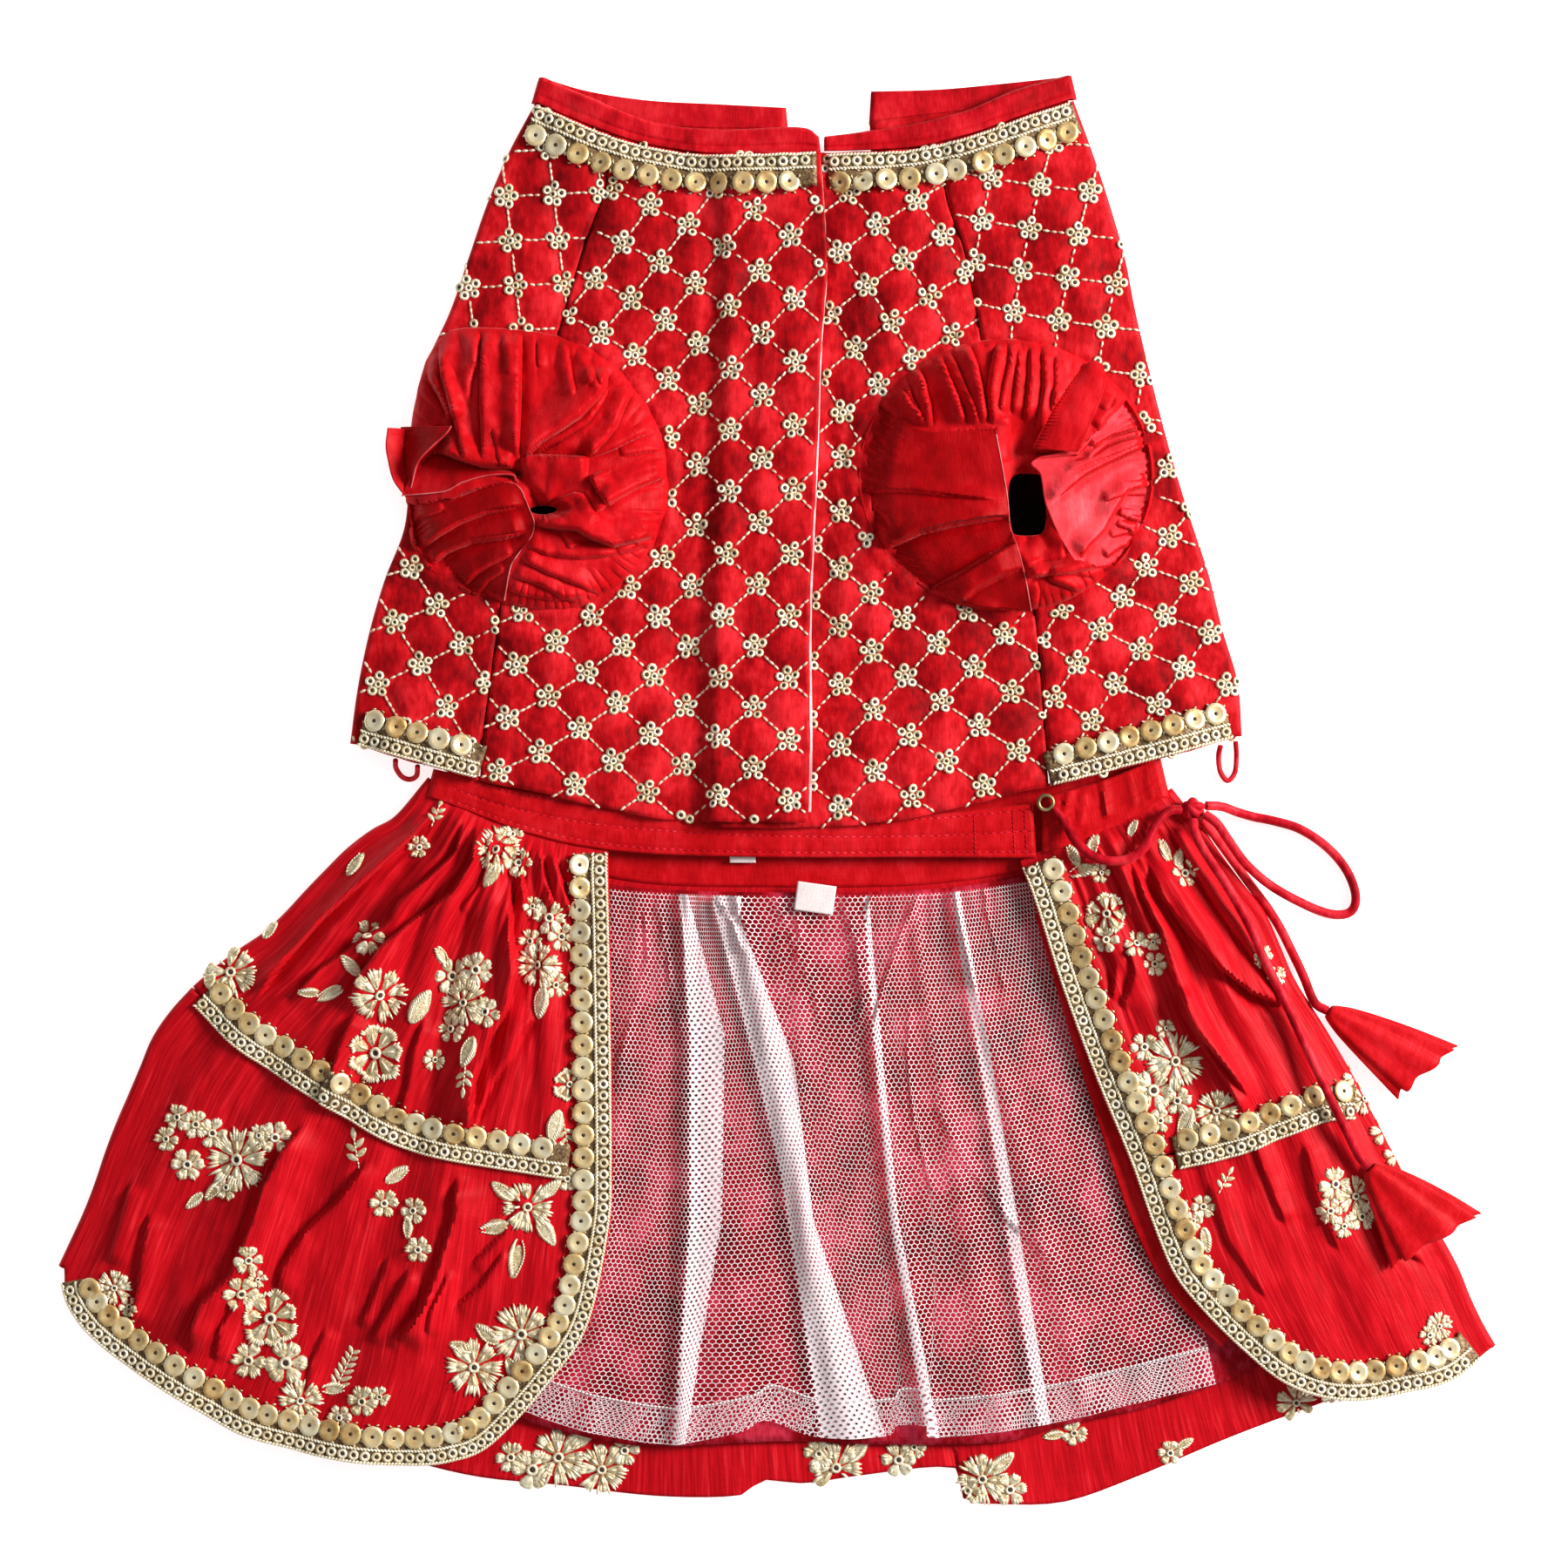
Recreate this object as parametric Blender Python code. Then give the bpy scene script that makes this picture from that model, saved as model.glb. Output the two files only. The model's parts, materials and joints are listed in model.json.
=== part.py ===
"""A small dog's two-piece lehenga, laid flat with the belly side up.

The choli (top) lies above, and its hem covers the waistband of the skirt, whose two fronts are folded over
the back. +X is to the right, +Y towards the neck, +Z up from the surface that it lies on. The origin is on
that surface, under the middle of the outline. Tables and sizes are in millimetres; meshes are in metres.
"""

import math

import bmesh
import bpy
from mathutils import Matrix, Vector
from mathutils.bvhtree import BVHTree

MM = 0.001

# Cloth walls and the gaps between them
CLOTH = 1.2
CHOLI_CLOTH = 1.4
NET = 1.0
LACE = 1.0
BAND = 1.8
SLEEVE_CLOTH = 1.0
SEAM_GAP = 0.4
LAYER_GAP = 0.5
END_GAP = 0.35

# Half the height of the garment where it turns under at each side
CHOLI_FOLD = 1.8
BINDING_FOLD = 0.9
SKIRT_FOLD = 1.9
BAND_FOLD = 2.6

LACE_WIDTH = 11.0
FRONT_WIDTHS = {"left": 110, "right": 70}
CORD_RADIUS = 1.3
LOOP_RADIUS = 0.6

# The choli's outline, from the neck down to the hem
CHOLI_LEFT = [(-67, 190), (-72.5, 180), (-81, 160), (-89, 136), (-94, 125), (-99, 112), (-101.5, 98),
              (-102, 80), (-105, 64), (-109.5, 56), (-114, 38), (-117, 22), (-118, 13)]
CHOLI_RIGHT = [(82, 191), (86, 180), (95, 152), (100, 128), (104, 112), (108, 96), (114, 76), (119, 61),
               (123, 45), (128, 27), (128.5, 15)]
# Seams between the belly panels and the back, which comes round each side to meet them
SEAM_LEFT = [(-46, 181), (-48, 164), (-54, 148), (-60, 127), (-70, 88), (-76, 52), (-80, 23), (-82, 3)]
SEAM_RIGHT = [(46, 179), (47, 162), (53, 145), (56, 125), (64, 88), (71, 50), (73.5, 20), (75, 1)]
PLACKET = [(12, 176), (13.5, 145), (12, 121), (11, 93), (9, 50), (9, 14), (8.5, -8.5)]
UNDERLAP = 25.0
# Where the panels meet the neck binding, and the binding's own free edge
NECK_SEAM_LEFT = [(-67, 190), (-54, 184), (-46, 181), (-35.5, 178), (-17, 175.5), (12, 176)]
NECK_SEAM_RIGHT = [(12, 176), (35.5, 177), (46, 179), (52.5, 180.5), (69.5, 186.5), (82, 191)]
NECK_EDGE_LEFT = [(-65, 197), (-52, 191.5), (-35.5, 185), (-17, 182.5), (6, 183), (11.5, 180.5)]
NECK_EDGE_RIGHT = [(13, 180.5), (24, 182), (37, 184), (52.5, 187.8), (66, 193.5), (80.5, 197.5)]
BACK_NECK_SEAM = [(-67, 190), (-50, 186.5), (-35, 184), (-17, 183), (12, 183.5), (44, 187), (61, 188.5),
                  (82, 191)]
BACK_NECK_EDGE_LEFT = [(-65, 197), (-52, 193.5), (-35.5, 191), (-17, 190), (2.5, 189)]
BACK_NECK_EDGE_RIGHT = [(26, 193.5), (44, 194), (61, 195.5), (80.5, 197.5)]
NOTCH = {"left": 3.5, "right": 25.0, "bottom": 168.0}
# Hems of the choli
HEM_LEFT = [(-82, 3), (-61, -1.5), (-43, -5.5), (-27, -8), (8.5, -8.5)]
HEM_RIGHT = [(-16, -10), (9.5, -10), (29.5, -8.5), (46, -5.5), (66, -0.5), (75, 1)]
HEM_SIDE_LEFT = [(-118, 13), (-100, 8), (-82, 3)]
HEM_SIDE_RIGHT = [(128.5, 15), (102, 8), (75, 1)]
HEM_BACK = [(-118, 13), (-90, 10), (-50, 4), (10, 1.5), (60, 4), (100, 12.5), (128.5, 15)]
# Armholes, in the plane of the belly panels: middle and half sizes
ARMHOLES = {
    "left": {"x": -64.5, "y": 88.0, "half_x": 34.5, "half_y": 38.0},
    "right": {"x": 63.0, "y": 87.0, "half_x": 41.0, "half_y": 37.5},
}
# The free rim of each sleeve, round a middle point: angles from +X in degrees, distances and rises
RIMS = {
    "left": {"x": -70.0, "y": 83.5, "rows": [
        {"angle": 0, "out": 5, "rise": 5}, {"angle": 30, "out": 6, "rise": 6},
        {"angle": 60, "out": 6.5, "rise": 6}, {"angle": 90, "out": 6, "rise": 6},
        {"angle": 118, "out": 9, "rise": 6}, {"angle": 136, "out": 18, "rise": 7},
        {"angle": 150, "out": 31, "rise": 7.5}, {"angle": 162, "out": 38.5, "rise": 7},
        {"angle": 173, "out": 37, "rise": 6}, {"angle": 184, "out": 28, "rise": 6},
        {"angle": 197, "out": 16, "rise": 6}, {"angle": 213, "out": 9, "rise": 6.5},
        {"angle": 235, "out": 7, "rise": 7}, {"angle": 260, "out": 8, "rise": 7},
        {"angle": 285, "out": 9.5, "rise": 6}, {"angle": 320, "out": 7, "rise": 5},
    ]},
    "right": {"x": 68.6, "y": 78.0, "rows": [
        {"angle": 0, "out": 6, "rise": 8}, {"angle": 25, "out": 6, "rise": 8},
        {"angle": 48, "out": 13, "rise": 8}, {"angle": 68, "out": 12, "rise": 6},
        {"angle": 85, "out": 13, "rise": 3.5}, {"angle": 103, "out": 16, "rise": 4},
        {"angle": 121, "out": 15, "rise": 6.5}, {"angle": 148, "out": 8, "rise": 7.5},
        {"angle": 180, "out": 6, "rise": 7.5}, {"angle": 210, "out": 6, "rise": 7.5},
        {"angle": 236, "out": 7, "rise": 7}, {"angle": 258, "out": 11, "rise": 5.5},
        {"angle": 272, "out": 15, "rise": 4.5}, {"angle": 288, "out": 15, "rise": 4},
        {"angle": 305, "out": 15, "rise": 4.5}, {"angle": 320, "out": 15, "rise": 7},
        {"angle": 338, "out": 10, "rise": 8},
    ]},
}
SLEEVE_GATHERS = 30
SLEEVE_PUFF = 4.5

# The skirt's outline at its folded sides, from the waist seam down
SKIRT_LEFT = [(-98, -2.4), (-115.5, -13), (-128.5, -25.5), (-140, -37.5), (-150, -44.5), (-161.5, -54),
              (-171.5, -66), (-176.5, -77.5), (-184, -95), (-190.5, -113.5), (-198.5, -131)]
SKIRT_RIGHT = [(109, -2.9), (116, -8), (125.5, -21.5), (135.5, -34.5), (142, -50), (150, -63), (158, -76.5),
               (163, -86), (169, -97.5), (175, -109), (187, -129), (193, -143), (198.5, -153)]
# Front edges of the two fronts
YOKE_FRONT_LEFT = [(-46.5, -17), (-46, -36), (-45.5, -67), (-45.2, -104)]
YOKE_FRONT_RIGHT = [(67, -20.5), (71, -31.5), (77, -50.5), (82.5, -66), (88.5, -81.5), (97, -102)]
FLOUNCE_FRONT_LEFT = [(-45.2, -104), (-46, -120), (-51.5, -146), (-61, -161)]
FLOUNCE_FRONT_RIGHT = [(97, -102), (103, -119), (109, -133), (117, -143), (127, -153)]
# Seam of the waistband, the seam between yoke and flounce, and the hems
WAIST_LEFT = [(-98, -2), (-88, -5.5), (-76.5, -9.5), (-65.5, -13), (-46.5, -17)]
WAIST_RIGHT = [(109, -2.5), (98, -9.5), (83.5, -14.5), (67, -20.5)]
WAIST_BACK = [(-98, -2), (-70, -17), (-40, -25.5), (0, -27), (45, -26), (80, -19), (109, -2.5)]
TIER_LEFT = [(-161.5, -54), (-150, -65), (-138, -73), (-125, -81), (-106, -92), (-88, -97), (-45.2, -104)]
TIER_RIGHT = [(163, -86), (152, -86), (139, -90.5), (124, -96), (97, -102)]
TIER_BACK = [(-161.5, -54), (-120, -90), (-60, -108), (0, -112), (60, -110), (120, -100), (163, -86)]
FRONT_HEM_LEFT = [(-198.5, -131), (-195.5, -142), (-186, -153), (-168, -165), (-149.5, -176),
                  (-135.5, -180.5), (-122, -183.5), (-103.5, -185.5), (-90, -184.5), (-78, -179.5), (-61, -161)]
FRONT_HEM_RIGHT = [(198.5, -153), (186, -162), (172, -165.5), (161, -167.5), (149, -166.5), (138, -162),
                   (127, -153)]
BACK_HEM = [(-198.5, -131), (-186, -149), (-150, -172), (-110, -183), (-84, -189.5), (-60, -192),
            (-33, -195), (-9, -194.5), (-5.5, -190.5), (8, -191.5), (22, -189.5), (49, -187), (51.5, -195.5),
            (62, -197), (80, -196.5), (100, -189.5), (126, -178.5), (157, -167), (184, -158), (198.5, -153)]
LINING_HEM = [(-84, -170), (-60, -176.5), (-48, -179.5), (-33, -181), (0, -179.5), (30, -180.5),
              (62, -179.5), (80, -175), (103, -170), (126, -162), (140, -155)]
NET_HEM = [(-80, -167), (-60, -174.5), (-46, -178), (-29, -180), (-10, -176.5), (-3, -173.5), (11, -178),
           (30, -177.8), (33, -175), (41, -175), (44, -178), (74, -174.5), (98, -169), (121, -163.5)]
NET_LEFT = [(-58, -24.5), (-57, -60), (-57, -110), (-66, -140), (-80, -167)]
NET_RIGHT = [(72, -24.5), (92, -60), (107, -100), (117, -145), (121, -163.5)]
NET_TOP = [(-58, -24.5), (-40, -27.6), (0, -29), (45, -28), (72, -24.5)]
LINING_LEFT = [(-64, -22), (-62, -70), (-62, -110), (-70, -140), (-84, -170)]
LINING_RIGHT = [(80, -21.5), (100, -70), (118, -110), (132, -140), (140, -155)]
LINING_TOP = [(-64, -22), (-40, -26.6), (0, -28), (45, -27), (80, -21.5)]
# The red lining's front edge, which shows beside the right border
LINING_EDGE_OUT = [(71, -34), (78, -58), (84.5, -79), (91, -99), (97, -117), (104, -132), (112, -143),
                   (122, -153)]
LINING_EDGE_IN = [(79, -30), (88, -58), (94.5, -79), (101, -99), (108, -116), (116, -129), (124, -139),
                  (131, -146)]
# The waistband: its free end crosses from the left front to the right front
BAND_TOP_FRONT = [(70.5, -3.5), (40, -6.5), (0, -6.5), (-40, -3.5), (-70, 0), (-95, 5.5)]
BAND_BOTTOM_FRONT = [(71.5, -18.5), (40, -18.3), (0, -18.3), (-40, -17), (-65.5, -12.5), (-97, -2)]
BAND_TOP_BACK = [(-95, 5.5), (-50, 0), (10, -3), (60, -0.5), (106, 8.5)]
BAND_BOTTOM_BACK = [(-97, -2), (-70, -16.5), (-40, -25), (0, -26.5), (45, -25.5), (80, -18.5), (108.5, -2)]
BAND_TOP_RIGHT = [(106, 8.5), (90, 3), (73, -2)]
BAND_BOTTOM_RIGHT = [(108.5, -2), (98, -9), (84, -14), (73, -17.5)]

# Folds of each front, as ridges from the waist (0) over the seam to the hem: places are shares of the
# width, from the folded side (0) to the front edge (1), and heights and widths are in millimetres
FOLDS = {
    "left": [
        {"waist": 0.10, "seam": 0.14, "hem": 0.10, "height": 2.4, "width": 5.0, "fade": 0.7},
        {"waist": 0.22, "seam": 0.33, "hem": 0.27, "height": 3.4, "width": 6.0, "fade": 0.8},
        {"waist": 0.34, "seam": 0.50, "hem": 0.43, "height": 3.0, "width": 5.5, "fade": 0.5},
        {"waist": 0.48, "seam": 0.66, "hem": 0.60, "height": 3.8, "width": 6.0, "fade": 0.9},
        {"waist": 0.60, "seam": 0.77, "hem": 0.74, "height": 2.4, "width": 4.5, "fade": 0.5},
        {"waist": 0.74, "seam": 0.86, "hem": 0.86, "height": 2.0, "width": 4.0, "fade": 0.2},
    ],
    "right": [
        {"waist": 0.10, "seam": 0.12, "hem": 0.15, "height": 2.2, "width": 4.5, "fade": 0.3},
        {"waist": 0.28, "seam": 0.30, "hem": 0.35, "height": 3.0, "width": 5.0, "fade": 0.3},
        {"waist": 0.46, "seam": 0.50, "hem": 0.55, "height": 3.2, "width": 5.0, "fade": 0.4},
        {"waist": 0.64, "seam": 0.68, "hem": 0.72, "height": 2.4, "width": 4.5, "fade": 0.3},
        {"waist": 0.80, "seam": 0.84, "hem": 0.86, "height": 1.6, "width": 4.0, "fade": 0.2},
    ],
}
# Folds of the net, from its gathered top to its hem
NET_FOLDS = [
    {"top": -38, "hem": -52, "height": 1.2, "width": 4.0},
    {"top": -25, "hem": -27, "height": 2.2, "width": 4.5},
    {"top": -11, "hem": 20, "height": 2.8, "width": 6.0}, {"top": 6, "hem": 8, "height": 1.0, "width": 4.0},
    {"top": 20, "hem": 42, "height": 2.4, "width": 5.0}, {"top": 36, "hem": 62, "height": 1.4, "width": 5.0},
    {"top": 48, "hem": 86, "height": 1.8, "width": 4.5},
]
# Waves of the skirt's back: the hem drops from one to the next at the two steps of its outline
BACK_WAVES = [{"x": -14, "height": 1.2, "width": 26}, {"x": 58, "height": 1.5, "width": 28}]

# The tie: it leaves the eyelet, dips over the band, meets its knot at the side and loops out once
EYELET = {"x": 74.0, "y": -3.2, "z": 6.1, "ring": 2.0, "wire": 0.55}
KNOT = {"x": 114.5, "y": -5.0, "z": 6.5, "radius": 3.4}
# The directions in which cords leave the knot, in degrees
KNOT_EXITS = {
    "loop_out": {"heading": 15, "rise": -5}, "loop_back": {"heading": -25, "rise": 32},
    "tail_long": {"heading": -95, "rise": 35}, "tail_short": {"heading": -50, "rise": -25},
    "dip": {"heading": 184, "rise": 18},
}
# Each route stops short of the knot and the tassels, and build_tie adds the ends that meet them
CORD_DIP = [(76.3, -5.0, 6.9), (79.0, -8.5, 7.4), (82.5, -14.5, 10.0), (88, -18.5, 10.9), (95, -19, 11.0),
            (100.5, -15.5, 11.2), (104, -9, 9.8), (107.5, -5.5, 8.6)]
CORD_LOOP = [(122.6, -4.3, 4.4), (127, -5.8, 2.6), (132, -7.2, 1.5), (137, -8.2, 1.4), (144.5, -10.5, 1.4),
             (152, -15.5, 1.4), (157.5, -22, 1.4), (160, -29, 1.4), (158.5, -33.5, 1.4), (153, -34, 1.5),
             (145, -31, 2.8), (136, -26, 4.6), (129, -20, 6.0), (124, -13.4, 8.0), (120.6, -8.8, 9.2)]
CORD_TAIL_LONG = [(114.6, -11.5, 10.4), (117.2, -16.8, 11.2), (122.6, -25, 11.2), (129, -36, 10.6),
                  (134, -47, 9.8), (139.5, -58, 9.4), (145, -70, 9.9), (150.5, -82, 11.4), (155, -91, 11.0)]
CORD_TAIL_SHORT = [(119.6, -10.8, 3.0), (122.6, -14.6, 1.7), (126, -19.2, 1.4), (129.9, -24.6, 1.4),
                   (134.6, -31, 1.4), (138.9, -37.6, 1.4), (142.6, -45, 1.4), (145.4, -51, 1.7)]
# Tassels, as cloth bells: the narrow end, the direction on the surface, the length and the mouth
TASSELS = {
    "long": {"x": 162.6, "y": -103.4, "z": 9.6, "heading": -48.0, "pitch": -1.5, "length": 27.0,
             "neck": 2.0, "mouth": 14.0, "thick": 3.2},
    "short": {"x": 152.2, "y": -60.8, "z": 3.2, "heading": -32.0, "pitch": 0.0, "length": 32.0,
              "neck": 2.0, "mouth": 10.5, "thick": 2.9},
}
# Cord loops on the choli's hem: the x of both roots, and the route between them
HEM_LOOPS = {
    "left": {"roots": (-105.0, -98.9), "route": [(-105.2, 6.4, 3.0), (-103.8, 4.0, 1.2), (-101.6, 3.2, 0.9),
                                                 (-99.6, 4.2, 2.2)]},
    "right": {"roots": (122.4, 126.6), "route": [(122.0, 9.6, 1.8), (122.6, 5.4, 0.8), (124.6, 2.8, 0.8),
                                                 (126.6, 5.0, 0.8), (127.0, 9.6, 1.4)]},
}
TAG = {"x": 10.5, "y": -30.5, "width": 11.5, "length": 9.0, "thick": 0.5, "turn": -8.0}
WAIST_TAPE = {"x": -9.5, "y": -19.8, "width": 8.0, "length": 2.6}


def smooth_step(value):
    """0 below 0, 1 above 1, and a soft rise between."""
    value = min(1.0, max(0.0, value))
    return value * value * (3 - 2 * value)


def bump(distance, width):
    """A soft ridge: 1 on its line, 0 from its width outwards."""
    share = min(1.0, abs(distance) / width)
    return 0.5 * (1 + math.cos(math.pi * share))


def material(name, colour, roughness, metallic=0.0):
    """A Principled material of one colour."""
    made = bpy.data.materials.new(name)
    made.use_nodes = True
    shader = made.node_tree.nodes["Principled BSDF"]
    shader.inputs["Base Color"].default_value = (*colour, 1.0)
    shader.inputs["Roughness"].default_value = roughness
    shader.inputs["Metallic"].default_value = metallic
    made.diffuse_color = (*colour, 1.0)
    return made


class Path:
    """A smooth curve through hand-picked points, read by its share of the length."""

    STEPS = 10

    def __init__(self, points):
        ends = [Vector(p) for p in points]
        padded = [2 * ends[0] - ends[1], *ends, 2 * ends[-1] - ends[-2]]
        self.line = [ends[0]]
        for before, here, there, after in zip(padded, padded[1:], padded[2:], padded[3:]):
            for step in range(1, self.STEPS + 1):
                t = step / self.STEPS
                self.line.append(0.5 * (2 * here + (there - before) * t
                                        + (2 * before - 5 * here + 4 * there - after) * t * t
                                        + (3 * here - before - 3 * there + after) * t ** 3))
        self.reach = [0.0]
        for a, b in zip(self.line, self.line[1:]):
            self.reach.append(self.reach[-1] + (b - a).length)

    @property
    def length(self):
        return self.reach[-1]

    def at(self, share):
        """The point at this share of the length, from 0 to 1."""
        wanted = min(1.0, max(0.0, share)) * self.length
        low, high = 0, len(self.reach) - 1
        while high - low > 1:
            middle = (low + high) // 2
            low, high = (middle, high) if self.reach[middle] <= wanted else (low, middle)
        span = self.reach[high] - self.reach[low]
        return self.line[low].lerp(self.line[high], (wanted - self.reach[low]) / span if span else 0.0)

    def left_of(self, share):
        """The unit vector to the left of the curve, seen from above."""
        ahead = self.at(min(1.0, share + 0.01)) - self.at(max(0.0, share - 0.01))
        return Vector((-ahead.y, ahead.x)).normalized()


class Patch:
    """A cloth piece in plan, between four curves that meet at its corners.

    across runs from the side curve (0) to the other side (1), and down from the top curve to the bottom one.
    """

    def __init__(self, side, other, top, bottom):
        self.side, self.other, self.top, self.bottom = (Path(c) for c in (side, other, top, bottom))

    def at(self, across, down):
        """The point in plan."""
        a, b = self.side.at(down), self.other.at(down)
        c, d = self.top.at(across), self.bottom.at(across)
        corners = ((1 - across) * ((1 - down) * self.side.at(0) + down * self.side.at(1))
                   + across * ((1 - down) * self.other.at(0) + down * self.other.at(1)))
        return (1 - across) * a + across * b + (1 - down) * c + down * d - corners


def closed_wall(name, outer, inner, skin, ring=False):
    """One closed solid between two grids of points, given as columns, in millimetres."""
    columns, rows = len(outer), len(outer[0])
    mesh = bmesh.new()
    faces = [[[mesh.verts.new(point * MM) for point in column] for column in grid] for grid in (outer, inner)]
    top, under = faces
    spans = columns if ring else columns - 1
    for i in range(spans):
        k = (i + 1) % columns
        for j in range(rows - 1):
            mesh.faces.new((top[i][j], top[k][j], top[k][j + 1], top[i][j + 1]))
            mesh.faces.new((under[i][j], under[i][j + 1], under[k][j + 1], under[k][j]))
        for j, flip in ((0, False), (rows - 1, True)):
            rim = [top[i][j], under[i][j], under[k][j], top[k][j]]
            mesh.faces.new(rim[::-1] if flip else rim)
    if not ring:
        for i, flip in ((0, True), (columns - 1, False)):
            for j in range(rows - 1):
                rim = [top[i][j], under[i][j], under[i][j + 1], top[i][j + 1]]
                mesh.faces.new(rim[::-1] if flip else rim)
    bmesh.ops.triangulate(mesh, faces=mesh.faces[:])
    bmesh.ops.recalc_face_normals(mesh, faces=mesh.faces[:])
    data = bpy.data.meshes.new(name)
    mesh.to_mesh(data)
    mesh.free()
    data.shade_smooth()
    data.set_sharp_from_angle(angle=math.radians(50))
    data.materials.append(skin)
    made = bpy.data.objects.new(name, data)
    bpy.context.scene.collection.objects.link(made)
    return made


def raised(point, z):
    """A point in plan, at a height."""
    return Vector((point.x, point.y, z))


def upper_columns(patch, shares, rows, top, thickness):
    """Columns of a panel that lies on top: outer points, and inner points a wall's thickness below."""
    outer, inner = [], []
    for across in shares:
        outer.append([])
        inner.append([])
        for down in (r / rows for r in range(rows + 1)):
            plan = patch.at(across, down)
            z = top(plan, across, down)
            outer[-1].append(raised(plan, z))
            inner[-1].append(raised(plan, z - thickness))
    return outer, inner


def turn_columns(fold, inward, rows, radius, thickness, going_down):
    """Columns round a folded side: fold is the line of its middle, and inward(share) points into the garment."""
    outer, inner = [], []
    angles = (45, 90, 135)
    for angle in (angles if going_down else angles[::-1]):
        turn = math.radians(angle)
        outer.append([])
        inner.append([])
        for down in (r / rows for r in range(rows + 1)):
            middle, out = fold(down), -inward(down)
            for column, size in ((outer[-1], radius), (inner[-1], radius - thickness)):
                column.append(raised(middle + out * math.sin(turn) * size, radius + math.cos(turn) * size))
    return outer, inner


def even(count, start=0.0, end=1.0):
    """Shares from start to end, with this many steps."""
    return [start + (end - start) * i / count for i in range(count + 1)]


def turned_in(points, amount, to_left, count=12):
    """The outline moved into the garment by this amount, as points of a new curve."""
    path = Path(points)
    side = 1 if to_left else -1
    return [tuple(path.at(s) + side * amount * path.left_of(s)) for s in even(count)]


def parted(points, place, gap):
    """A curve parted near a place, as the points of its two stretches with a gap between them."""
    path = Path(points)
    share = min(even(400), key=lambda s: (path.at(s) - Vector(place)).length)
    half = gap / 2 / path.length
    return ([tuple(path.at(s)) for s in even(10, 0, share - half)],
            [tuple(path.at(s)) for s in even(10, share + half, 1)])


def stretch(points, start, end, lift=0.0, count=8):
    """The points of a smooth curve between two values of x, moved up in plan by a lift."""
    line = Path(points).line
    if line[0].x > line[-1].x:
        line = line[::-1]
    found = []
    for x in even(count, start, end):
        a, b = next((a, b) for a, b in zip(line, line[1:]) if b.x >= x - 1e-6 or b is line[-1])
        share = (x - a.x) / (b.x - a.x)
        found.append((x, a.y + (b.y - a.y) * share + lift))
    return found


def wrapped(name, skin, rows, radius, thickness, left=None, under=None, right=None):
    """A cloth piece that goes round one or both sides of the garment.

    left and right are the parts that lie on top, and under is the part on the surface. Each is a dictionary
    with its patch, its count of columns and, for the top parts, the height of its upper face.
    """
    outer, inner = [], []

    def add(columns):
        outer.extend(columns[0])
        inner.extend(columns[1])

    if left:
        patch = left["patch"]
        add(upper_columns(patch, even(left["columns"])[::-1], rows, left["top"], thickness))
        add(turn_columns(patch.side.at, lambda s: patch.side.left_of(s), rows, radius, thickness, True))
    flat = upper_columns(under["patch"], even(under["columns"]), rows, under["top"], thickness)
    add(([[raised(p, 0.0) for p in column] for column in flat[0]], flat[0]))
    if right:
        patch = right["patch"]
        add(turn_columns(patch.side.at, lambda s: -patch.side.left_of(s), rows, radius, thickness, False))
        add(upper_columns(patch, even(right["columns"]), rows, right["top"], thickness))
    return closed_wall(name, outer, inner, skin)


def cut(target, cutter):
    """Cuts one object by another, which isn't part of the garment."""
    cutter.hide_render = True
    cutter.display_type = "WIRE"
    modifier = target.modifiers.new("cut", "BOOLEAN")
    modifier.operation = "DIFFERENCE"
    modifier.object = cutter


def armhole_cutter(side, low, high):
    """An upright elliptical cylinder over one armhole."""
    hole = ARMHOLES[side]
    mesh = bmesh.new()
    bmesh.ops.create_cone(mesh, cap_ends=True, segments=40, radius1=1, radius2=1, depth=1)
    bmesh.ops.scale(mesh, vec=Vector((hole["half_x"], hole["half_y"], high - low)) * MM, verts=mesh.verts[:])
    bmesh.ops.translate(mesh, vec=Vector((hole["x"], hole["y"], (low + high) / 2)) * MM, verts=mesh.verts[:])
    return add_mesh(f"armhole_cutter_{side}", mesh)


def add_mesh(name, mesh, skin=None):
    """An object made from a bmesh, which is freed."""
    data = bpy.data.meshes.new(name)
    bmesh.ops.recalc_face_normals(mesh, faces=mesh.faces[:])
    mesh.to_mesh(data)
    mesh.free()
    data.shade_smooth()
    data.set_sharp_from_angle(angle=math.radians(50))
    if skin:
        data.materials.append(skin)
    made = bpy.data.objects.new(name, data)
    bpy.context.scene.collection.objects.link(made)
    return made


def box(name, low, high, skin=None):
    """A plain box between two corners, in millimetres."""
    mesh = bmesh.new()
    bmesh.ops.create_cube(mesh, size=1)
    low, high = Vector(low), Vector(high)
    bmesh.ops.scale(mesh, vec=(high - low) * MM, verts=mesh.verts[:])
    bmesh.ops.translate(mesh, vec=(low + high) / 2 * MM, verts=mesh.verts[:])
    return add_mesh(name, mesh, skin)


class Surface:
    """The upper face of some finished pieces, to lay other pieces on."""

    SKY = 40.0

    def __init__(self, *pieces):
        bpy.context.view_layer.update()
        depsgraph = bpy.context.evaluated_depsgraph_get()
        self.trees = [BVHTree.FromObject(piece, depsgraph) for piece in pieces]

    def height(self, x, y, around=2.2):
        """The highest point at x, y and close around it, in millimetres."""
        found = 0.0
        for dx, dy in ((0, 0), (around, 0), (-around, 0), (0, around), (0, -around)):
            start = Vector((x + dx, y + dy, self.SKY)) * MM
            for tree in self.trees:
                hit = tree.ray_cast(start, Vector((0, 0, -1)))[0]
                if hit:
                    found = max(found, hit.z / MM)
        return found


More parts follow.
